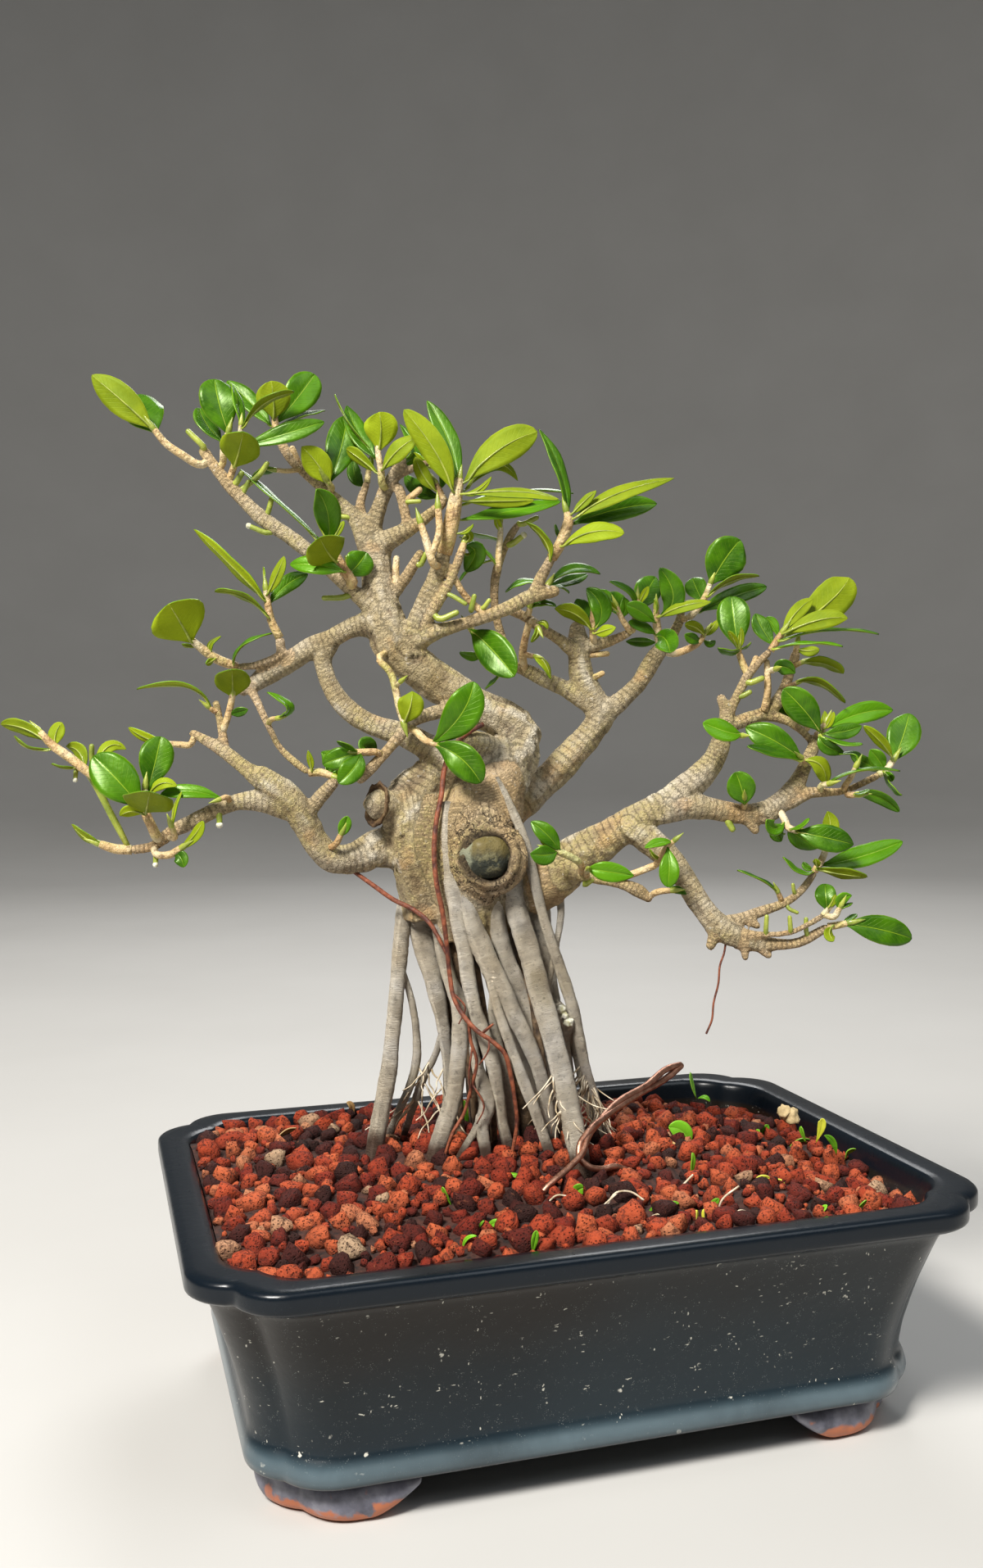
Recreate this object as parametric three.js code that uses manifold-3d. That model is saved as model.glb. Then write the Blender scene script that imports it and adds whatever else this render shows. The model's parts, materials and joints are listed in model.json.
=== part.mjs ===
import * as THREE from "three";
import { mergeGeometries, mergeVertices } from "three/addons/utils/BufferGeometryUtils.js";
import Module from "manifold-3d";

// A Chinese banyan bonsai in its glazed pot, in millimetres with +Z up and the table at z = 0.
// The pot's long side runs along X, and its front faces -Y.
const wasm = await Module();
wasm.setup();
const { Manifold } = wasm;

// Pot: an oblong with notched corners, flaring from its foot bead up to a flat flange
const RIM_HALF_LENGTH = 150;
const RIM_HALF_WIDTH = 110;
const RIM_TOP = 92.5;
const CORNER_RADIUS = 18.5;
const CORNER_REACH = 32;
const CUSP_ANGLE = 14;
const ROUND_CORNER = 28;
const CORNER_STEPS = 3;
const BODY_BOTTOM = 13.8;
const FLOOR_TOP = 22;
const FLANGE_WIDTH = 12.5;
const DRAIN_RADIUS = 11;
const DRAIN_OFFSET = 62;

// Feet: a cloud bracket under each corner
const FOOT_INSET = 26.6;
const FOOT_LENGTH = 52;
const FOOT_SIDE_LENGTH = 40;
const FOOT_THICKNESS = 15;
const FOOT_SINK = 1.2;

// Drain meshes, soil and the gaps that touching pieces keep
const MESH_SIZE = 34;
const MESH_THICKNESS = 1.2;
const MESH_PITCH = 10.4;
const MESH_HOLE = 7.6;
const MESH_SKEW = 0.3;
const GAP = 0.3;
const ROOT_DEPTH = 16;
const ROOT_TAPER = 0.7;

// Soil: its level, a heap round the trunk, the falls to the right and to the back right, and the
// lumps of its surface
const SOIL_LEVEL = 88.5;
const HEAP_HEIGHT = 5.5;
const HEAP_CENTRE = [-8, 12];
const HEAP_REACH = [75, 55];
const RIGHT_FALL = 8.5;
const RIGHT_FALL_SPAN = [55, 135];
const BACK_FALL = 4.5;
const BACK_FALL_SPAN = [45, 95];
const BACK_FALL_ACROSS = [-40, 60];
const SOIL_CELL = 15;
const LUMP_HEIGHT = 2.6;
const LUMP_SHIFT = 2;

// The knot: the half sizes of its bark collar and its scar, and the places of their middles
const COLLAR_HALF_SIZE = [10.8, 6.5, 12.2];
const COLLAR_PLACE = [598, 1048, 19.5];
const SCAR_HALF_SIZE = [7.8, 7.5, 8.8];
const SCAR_PLACE = [597, 1045, 21];

// Limbs: rings for each point of a limb's list, but one for each where the list is short, and how
// far a leaf's foot goes past the middle of its stem
const RINGS_PER_POINT = 0.45;
const FEW_POINTS = 2;
const LEAF_SINK = 0.4;

// Leaves: shares of the length, with the share of the half width that a blade has there
const BROAD_LEAF = [[0.22, 0.5], [0.5, 1], [0.8, 0.78], [1, 0]];
const SMALL_LEAF = [[0.35, 0.85], [0.72, 0.88], [1, 0]];
const BROAD_FROM = 26;
const LEAF_HALF_THICKNESS = 0.65;
const LEAF_FOLD = 0.16;

// The eye that the tree's points are read from: its place by the pot, its turn, and the picture's
// centre and focal length in pixels of a picture 1200 wide and 1914 high
const EYE = new THREE.Vector3(-178.5, -532.6, 264.7);
const YAW = THREE.MathUtils.degToRad(16.6);
const PITCH = THREE.MathUtils.degToRad(1.85);
const ROLL = THREE.MathUtils.degToRad(-0.5);
const FOCAL = 1672;
const CENTRE_ACROSS = 600;
const CENTRE_DOWN = 957;
const TREE_DEPTH = 575;

const AHEAD = new THREE.Vector3(
  Math.sin(YAW) * Math.cos(PITCH),
  Math.cos(YAW) * Math.cos(PITCH),
  -Math.sin(PITCH),
);
const RIGHT = new THREE.Vector3(Math.cos(YAW), -Math.sin(YAW), 0).applyAxisAngle(AHEAD, -ROLL);
const UPWARD = new THREE.Vector3().crossVectors(RIGHT, AHEAD);

// Limbs of the tree. Each point is [pixels across, pixels down, mm towards the eye from the plane
// of the trunk, width in pixels].
const LIMBS = {
  trunk: [[578, 1140, -4, 88], [577, 1090, 0, 112], [577, 1040, 3, 122], [588, 990, 4, 108],
    [606, 953, 2, 80], [626, 922, -1, 64], [636, 900, -3, 52]],
  shoulder: [[520, 1120, 0, 56], [515, 1065, 2, 70], [508, 1015, 4, 84], [508, 978, 3, 76],
    [522, 952, 2, 52]],
  cut_stub: [[502, 986, 5, 50], [480, 986, 10, 44], [463, 983, 15, 38]],
  upper_trunk: [[640, 906, -3, 50], [624, 884, -3, 50], [588, 866, -2, 45], [548, 842, 0, 46],
    [512, 815, 2, 47], [482, 788, 4, 50], [466, 764, 4, 44]],
  front_stump: [[604, 916, 4, 34], [580, 908, 9, 31], [567, 905, 12, 25]],
  leader: [[484, 792, 4, 44], [472, 755, 4, 44], [461, 715, 2, 40], [459, 685, 0, 38],
    [455, 660, -2, 38], [447, 640, -3, 26]],
  leader_left: [[452, 662, -2, 34], [437, 637, -3, 22], [420, 618, -3, 18], [398, 598, -2, 15],
    [372, 576, -2, 14], [354, 558, -1, 14], [344, 543, -1, 12]],
  leader_mid: [[442, 636, -5, 16], [440, 614, -6, 12], [447, 592, -7, 10]],
  leader_right: [[452, 650, -1, 28], [462, 622, 0, 20], [471, 600, 1, 19], [481, 582, 2, 18],
    [488, 568, 3, 16], [490, 556, 3, 14]],
  leader_fork: [[482, 582, 2, 13], [500, 574, 1, 10], [516, 567, 0, 9], [528, 564, 0, 8]],
  leader_knuckle: [[462, 668, 0, 32], [482, 655, 3, 24], [505, 643, 5, 18], [522, 630, 6, 15],
    [540, 614, 7, 12]],
  leader_curl: [[476, 656, 2, 18], [496, 642, 4, 14], [493, 618, 4, 13], [487, 597, 4, 14]],
  side_shoot: [[474, 730, 3, 20], [490, 712, 4, 16], [502, 695, 5, 15], [513, 676, 6, 12]],
  crown_stem: [[500, 784, 6, 26], [510, 756, 7, 24], [521, 730, 8, 22], [533, 704, 9, 21],
    [541, 680, 10, 20]],
  crown_stem_b: [[514, 768, 8, 16], [532, 740, 11, 15], [546, 718, 12, 13], [555, 698, 12, 12],
    [562, 677, 12, 12]],
  crown_bridge: [[554, 704, 11, 9], [564, 722, 10, 8], [578, 738, 8, 9], [594, 750, 7, 9]],
  right_branch: [[492, 790, 5, 34], [528, 773, 7, 22], [560, 763, 7, 17], [590, 753, 7, 17],
    [620, 742, 6, 17], [645, 729, 5, 18], [676, 721, 4, 15]],
  right_branch_shoot: [[650, 727, 5, 16], [662, 702, 6, 15], [672, 684, 7, 14]],
  upright: [[632, 818, -16, 9], [618, 790, -12, 10], [609, 765, -10, 11], [604, 735, -8, 11],
    [606, 700, -6, 12], [614, 674, -5, 10], [622, 656, -5, 10], [631, 642, -4, 9]],
  cross_twig: [[702, 796, -18, 20], [682, 780, -15, 16], [660, 767, -12, 14], [640, 753, -9, 13],
    [620, 744, -4, 12]],
  cross_twig_drop: [[646, 760, -9, 9], [641, 780, -11, 9], [638, 800, -14, 10], [640, 818, -18, 10]],
  centre_limb: [[600, 1008, -10, 46], [640, 974, -14, 42], [672, 947, -17, 38], [700, 918, -20, 36],
    [724, 892, -22, 34], [738, 866, -22, 34]],
  centre_up: [[737, 880, -22, 34], [723, 853, -22, 33], [711, 825, -21, 30], [707, 800, -20, 27],
    [706, 782, -20, 26], [704, 768, -20, 20]],
  centre_low_left: [[722, 862, -22, 24], [697, 845, -21, 22], [668, 832, -20, 20],
    [645, 820, -19, 17], [626, 813, -18, 12]],
  centre_right: [[736, 874, -22, 26], [758, 856, -22, 24], [778, 835, -22, 22], [795, 808, -22, 22],
    [806, 792, -22, 20]],
  centre_right_up: [[802, 800, -22, 18], [820, 776, -22, 14], [830, 757, -22, 12],
    [832, 748, -22, 10]],
  knuckle_right: [[703, 789, -20, 22], [730, 787, -18, 17], [752, 780, -17, 13], [768, 772, -16, 10]],
  right_limb: [[640, 1095, 2, 56], [668, 1074, 5, 64], [696, 1054, 7, 56], [724, 1034, 9, 48],
    [755, 1015, 11, 42], [785, 997, 13, 38], [815, 982, 13, 34]],
  right_up: [[806, 986, 13, 32], [840, 958, 12, 34], [862, 938, 11, 32], [875, 918, 10, 26],
    [882, 897, 10, 22], [886, 880, 9, 18], [884, 864, 8, 13], [880, 853, 8, 12]],
  right_up_diag: [[886, 880, 8, 14], [895, 860, 8, 13], [905, 840, 9, 13], [915, 822, 10, 13],
    [927, 808, 11, 11], [938, 797, 12, 9]],
  right_back: [[882, 892, 9, 16], [905, 881, 6, 18], [930, 872, 4, 18], [948, 857, 3, 18],
    [958, 838, 2, 14], [965, 816, 1, 12], [971, 799, 1, 11]],
  right_back_twig: [[933, 868, 6, 10], [937, 846, 8, 9], [937, 826, 9, 8], [936, 808, 9, 7]],
  right_back_low: [[930, 873, 4, 16], [960, 880, 4, 12], [978, 892, 5, 10], [994, 908, 7, 10]],
  right_low: [[800, 990, 13, 38], [840, 983, 13, 32], [875, 988, 12, 26], [905, 993, 11, 26],
    [935, 991, 11, 28], [955, 978, 10, 26], [972, 957, 10, 20], [981, 938, 9, 17],
    [990, 918, 8, 16], [997, 901, 8, 13]],
  right_low_knob: [[912, 996, 11, 20], [922, 1013, 12, 12]],
  right_tip: [[942, 990, 10, 20], [968, 978, 11, 18], [990, 968, 11, 15], [1010, 967, 12, 12],
    [1030, 965, 13, 10], [1050, 957, 14, 9], [1070, 947, 15, 9]],
  right_down: [[770, 1008, 14, 36], [800, 1032, 16, 32], [822, 1052, 18, 30], [840, 1078, 20, 28],
    [855, 1103, 22, 28], [872, 1126, 24, 30], [895, 1142, 25, 30], [922, 1150, 26, 22],
    [950, 1152, 27, 14], [975, 1150, 28, 12], [992, 1142, 29, 12], [1008, 1133, 30, 10]],
  right_down_fork: [[874, 1130, 24, 20], [905, 1122, 22, 16], [930, 1112, 20, 14],
    [955, 1103, 19, 11], [972, 1092, 18, 10], [985, 1078, 18, 10], [992, 1067, 18, 9]],
  right_down_inner: [[900, 1140, 27, 14], [935, 1141, 30, 8], [965, 1138, 31, 8],
    [985, 1129, 32, 8], [1002, 1119, 33, 8]],
  right_front: [[690, 1062, 16, 24], [730, 1072, 20, 16], [760, 1079, 21, 14], [780, 1087, 22, 18],
    [791, 1095, 22, 13]],
  right_front_twig: [[752, 1074, 22, 10], [780, 1064, 24, 9], [798, 1057, 25, 9]],
  left_low: [[505, 1035, 0, 62], [465, 1036, 4, 50], [435, 1047, 8, 40], [408, 1048, 11, 36],
    [387, 1030, 14, 34], [373, 1004, 17, 34], [357, 981, 20, 36], [335, 962, 22, 34],
    [319, 948, 23, 28]],
  left_low_up: [[325, 956, 23, 26], [300, 938, 23, 20], [280, 922, 22, 18], [258, 908, 21, 15],
    [236, 896, 20, 11]],
  left_low_up_twig: [[274, 916, 21, 14], [271, 892, 20, 11], [267, 872, 19, 10], [264, 859, 19, 10]],
  left_low_far: [[352, 986, 20, 34], [318, 978, 21, 28], [290, 980, 22, 22], [262, 990, 23, 20],
    [235, 1003, 24, 19], [212, 1014, 25, 17], [196, 1024, 26, 14]],
  left_low_far_end: [[204, 1022, 26, 14], [185, 1033, 26, 13], [164, 1037, 26, 12]],
  left_low_stub: [[375, 992, 18, 20], [392, 972, 19, 18], [406, 957, 20, 16]],
  loop_limb: [[566, 950, 3, 44], [537, 925, 3, 36], [508, 905, 3, 33], [480, 893, 3, 28],
    [452, 883, 3, 27], [428, 868, 2, 26], [410, 848, 2, 24], [398, 825, 1, 23], [394, 805, 0, 23],
    [402, 786, 0, 24]],
  left_branch: [[490, 786, 4, 44], [456, 763, 3, 36], [430, 767, 2, 26], [405, 780, 1, 24],
    [380, 790, 0, 26], [355, 806, 0, 26], [330, 820, 0, 27], [308, 836, 1, 20], [297, 843, 1, 14]],
  left_branch_up: [[354, 806, 2, 13], [344, 795, 4, 12], [342, 783, 4, 13]],
  left_branch_left: [[347, 797, 4, 11], [328, 806, 5, 10], [308, 813, 5, 10], [292, 814, 5, 9]],
  hanging_twig: [[306, 840, 2, 12], [318, 864, 4, 10], [328, 886, 6, 9], [341, 912, 8, 9],
    [358, 929, 9, 10], [374, 941, 10, 9]],
  upper_left: [[484, 774, 4, 34], [455, 743, 5, 23], [432, 722, 6, 19], [408, 700, 7, 17],
    [380, 676, 8, 18], [352, 655, 8, 19], [322, 634, 8, 19], [298, 612, 8, 17], [280, 592, 8, 16],
    [266, 575, 8, 14], [249, 551, 8, 13]],
  grey_twig: [[556, 864, 4, 18], [524, 872, 9, 18], [505, 880, 12, 16], [487, 900, 14, 15],
    [468, 922, 16, 13], [451, 940, 17, 14], [440, 951, 17, 13]],
};

// Aerial roots that stand as pillars from the trunk to the soil
const ROOTS = {
  root_far_left: [[508, 1070, 0, 30], [496, 1100, 0, 22], [490, 1140, 0, 20], [486, 1190, 0, 19],
    [480, 1250, 0, 19], [473, 1310, 0, 20], [466, 1355, 0, 21], [460, 1395, 0, 22]],
  root_left_thin: [[492, 1185, -2, 8], [503, 1222, -4, 9], [508, 1260, -6, 10], [508, 1295, -8, 11],
    [499, 1328, -10, 10], [488, 1352, -12, 10], [478, 1376, -14, 10]],
  root_left_back: [[540, 1262, -6, 9], [530, 1292, -9, 9], [517, 1315, -12, 11],
    [508, 1340, -15, 10], [500, 1364, -18, 9]],
  root_left: [[520, 1070, -2, 34], [514, 1118, -2, 30], [521, 1165, -2, 27], [532, 1210, -3, 22],
    [540, 1250, -5, 16], [545, 1292, -7, 13], [547, 1335, -9, 12], [543, 1372, -11, 12]],
  root_left_pale: [[533, 1120, 4, 16], [541, 1160, 5, 18], [550, 1198, 6, 18], [560, 1226, 7, 20],
    [561, 1262, 8, 22], [558, 1300, 8, 21], [554, 1336, 8, 21], [543, 1370, 8, 21],
    [535, 1398, 8, 21]],
  root_front: [[548, 980, 15, 16], [547, 1030, 18, 18], [553, 1075, 17, 24], [559, 1120, 16, 23],
    [566, 1160, 15, 19], [572, 1200, 14, 18], [580, 1235, 13, 18], [592, 1266, 12, 18],
    [603, 1298, 11, 18], [609, 1334, 9, 16], [614, 1372, 6, 14], [620, 1396, 4, 13]],
  root_front_b: [[563, 1078, 16, 22], [576, 1125, 16, 25], [592, 1165, 15, 26], [608, 1200, 14, 26],
    [625, 1236, 12, 24], [642, 1270, 10, 20], [656, 1304, 7, 17], [666, 1340, 4, 15],
    [674, 1378, 0, 14]],
  root_front_c: [[596, 1184, 16, 10], [606, 1225, 17, 12], [617, 1260, 17, 13], [629, 1294, 17, 14],
    [641, 1326, 16, 15], [653, 1358, 14, 14], [666, 1396, 12, 13]],
  root_mid: [[600, 1080, 12, 28], [604, 1118, 11, 26], [613, 1152, 9, 22], [626, 1188, 7, 20],
    [641, 1224, 4, 18], [655, 1260, 1, 18], [666, 1296, -2, 17], [674, 1334, -5, 14],
    [680, 1368, -8, 13]],
  root_right_big: [[622, 1070, 10, 32], [632, 1115, 12, 27], [645, 1160, 14, 28],
    [656, 1200, 16, 28], [667, 1240, 18, 27], [678, 1282, 20, 26], [688, 1324, 22, 25],
    [698, 1366, 24, 26], [707, 1408, 26, 25]],
  root_right_green: [[652, 1076, 3, 34], [656, 1120, 0, 32], [662, 1160, -2, 27],
    [670, 1200, -4, 20], [680, 1240, -6, 15], [690, 1282, -9, 12], [697, 1322, -12, 10],
    [704, 1358, -15, 10]],
  root_right_thin: [[606, 950, 15, 9], [624, 985, 18, 11], [640, 1025, 18, 12], [651, 1070, 17, 13],
    [660, 1110, 14, 13], [672, 1150, 10, 13], [686, 1190, 6, 14], [699, 1228, 3, 15],
    [708, 1268, 0, 14], [716, 1308, -4, 13], [727, 1345, -8, 12], [737, 1380, -11, 12]],
  root_right_spur: [[684, 1090, 5, 10], [685, 1118, 6, 9], [680, 1150, 7, 8], [676, 1170, 6, 8]],
  root_knob: [[672, 1218, -3, 14], [684, 1234, 1, 20], [694, 1250, 1, 19], [691, 1266, -3, 12],
    [694, 1304, -7, 9], [700, 1345, -11, 8]],
  root_back_right: [[692, 1243, -1, 9], [704, 1292, -9, 9], [713, 1330, -13, 10],
    [725, 1364, -16, 9]],
  root_fork: [[574, 1236, 5, 10], [577, 1268, 7, 11], [582, 1298, 9, 14], [590, 1326, 10, 19],
    [594, 1350, 10, 20], [588, 1374, 11, 17], [592, 1404, 12, 15]],
  root_fork_toe: [[590, 1364, 11, 13], [577, 1386, 12, 10], [566, 1404, 13, 9]],
  root_mid_thin: [[604, 1204, 11, 11], [602, 1240, 7, 12], [610, 1284, 3, 12], [619, 1326, 1, 12],
    [624, 1366, -2, 10], [629, 1386, -4, 10]],
  root_mid_back: [[627, 1224, 9, 12], [624, 1250, 3, 14], [639, 1298, 0, 16], [650, 1340, -4, 15],
    [658, 1374, -8, 13]],
  root_rear_left: [[560, 1085, -10, 34], [556, 1150, -14, 26], [562, 1220, -18, 22],
    [574, 1290, -23, 20], [584, 1372, -28, 18]],
  root_rear_right: [[618, 1085, -10, 36], [628, 1150, -14, 28], [640, 1220, -18, 24],
    [650, 1290, -23, 20], [656, 1372, -28, 18]],
};

// Young red roots, which grew together where they cross
const RED_ROOTS = {
  long: [[590, 884, 13, 8], [574, 893, 15, 8], [558, 906, 16, 8], [548, 922, 16, 9],
    [542, 942, 16, 9], [539, 970, 18, 9], [533, 1000, 20, 9], [530, 1040, 21, 9],
    [533, 1078, 21, 9], [540, 1112, 19, 9], [545, 1150, 17, 8], [549, 1190, 15, 8],
    [554, 1218, 16, 8], [566, 1240, 18, 8], [582, 1258, 20, 8], [602, 1272, 21, 8],
    [616, 1286, 21, 8], [623, 1310, 20, 8], [628, 1340, 19, 7], [631, 1370, 18, 7],
    [626, 1404, 17, 6]],
  cross: [[432, 1064, 9, 7], [456, 1081, 9, 8], [480, 1098, 9, 8], [504, 1110, 10, 8],
    [524, 1126, 12, 8], [536, 1146, 14, 7], [547, 1168, 15, 6]],
  drop: [[572, 1246, 18, 6], [575, 1272, 17, 6], [582, 1294, 17, 6], [578, 1318, 16, 6],
    [572, 1340, 15, 6], [566, 1360, 14, 6], [553, 1382, 15, 6], [545, 1404, 15, 5]],
};

// A tie wire: a doubled strand, bent at its upper right end
const TIE_WIRE = {
  upper_strand: [[656, 1462, 54, 8], [669, 1448, 52, 8], [697, 1423, 42, 8], [711, 1407, 36, 8],
    [717, 1390, 31, 8], [730, 1371, 18, 8], [753, 1346, 2, 8], [789, 1325, -17, 8],
    [818, 1303, -33, 8], [830, 1300, -37, 8]],
  lower_strand: [[764, 1428, 27, 8], [750, 1424, 30, 8], [735, 1427, 33, 8], [719, 1424, 36, 8],
    [708, 1414, 36, 8], [707, 1400, 34, 8], [718, 1382, 29, 8], [738, 1364, 14, 8],
    [779, 1336, -11, 8], [820, 1311, -33, 8], [831, 1301, -37, 8]],
};

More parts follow.
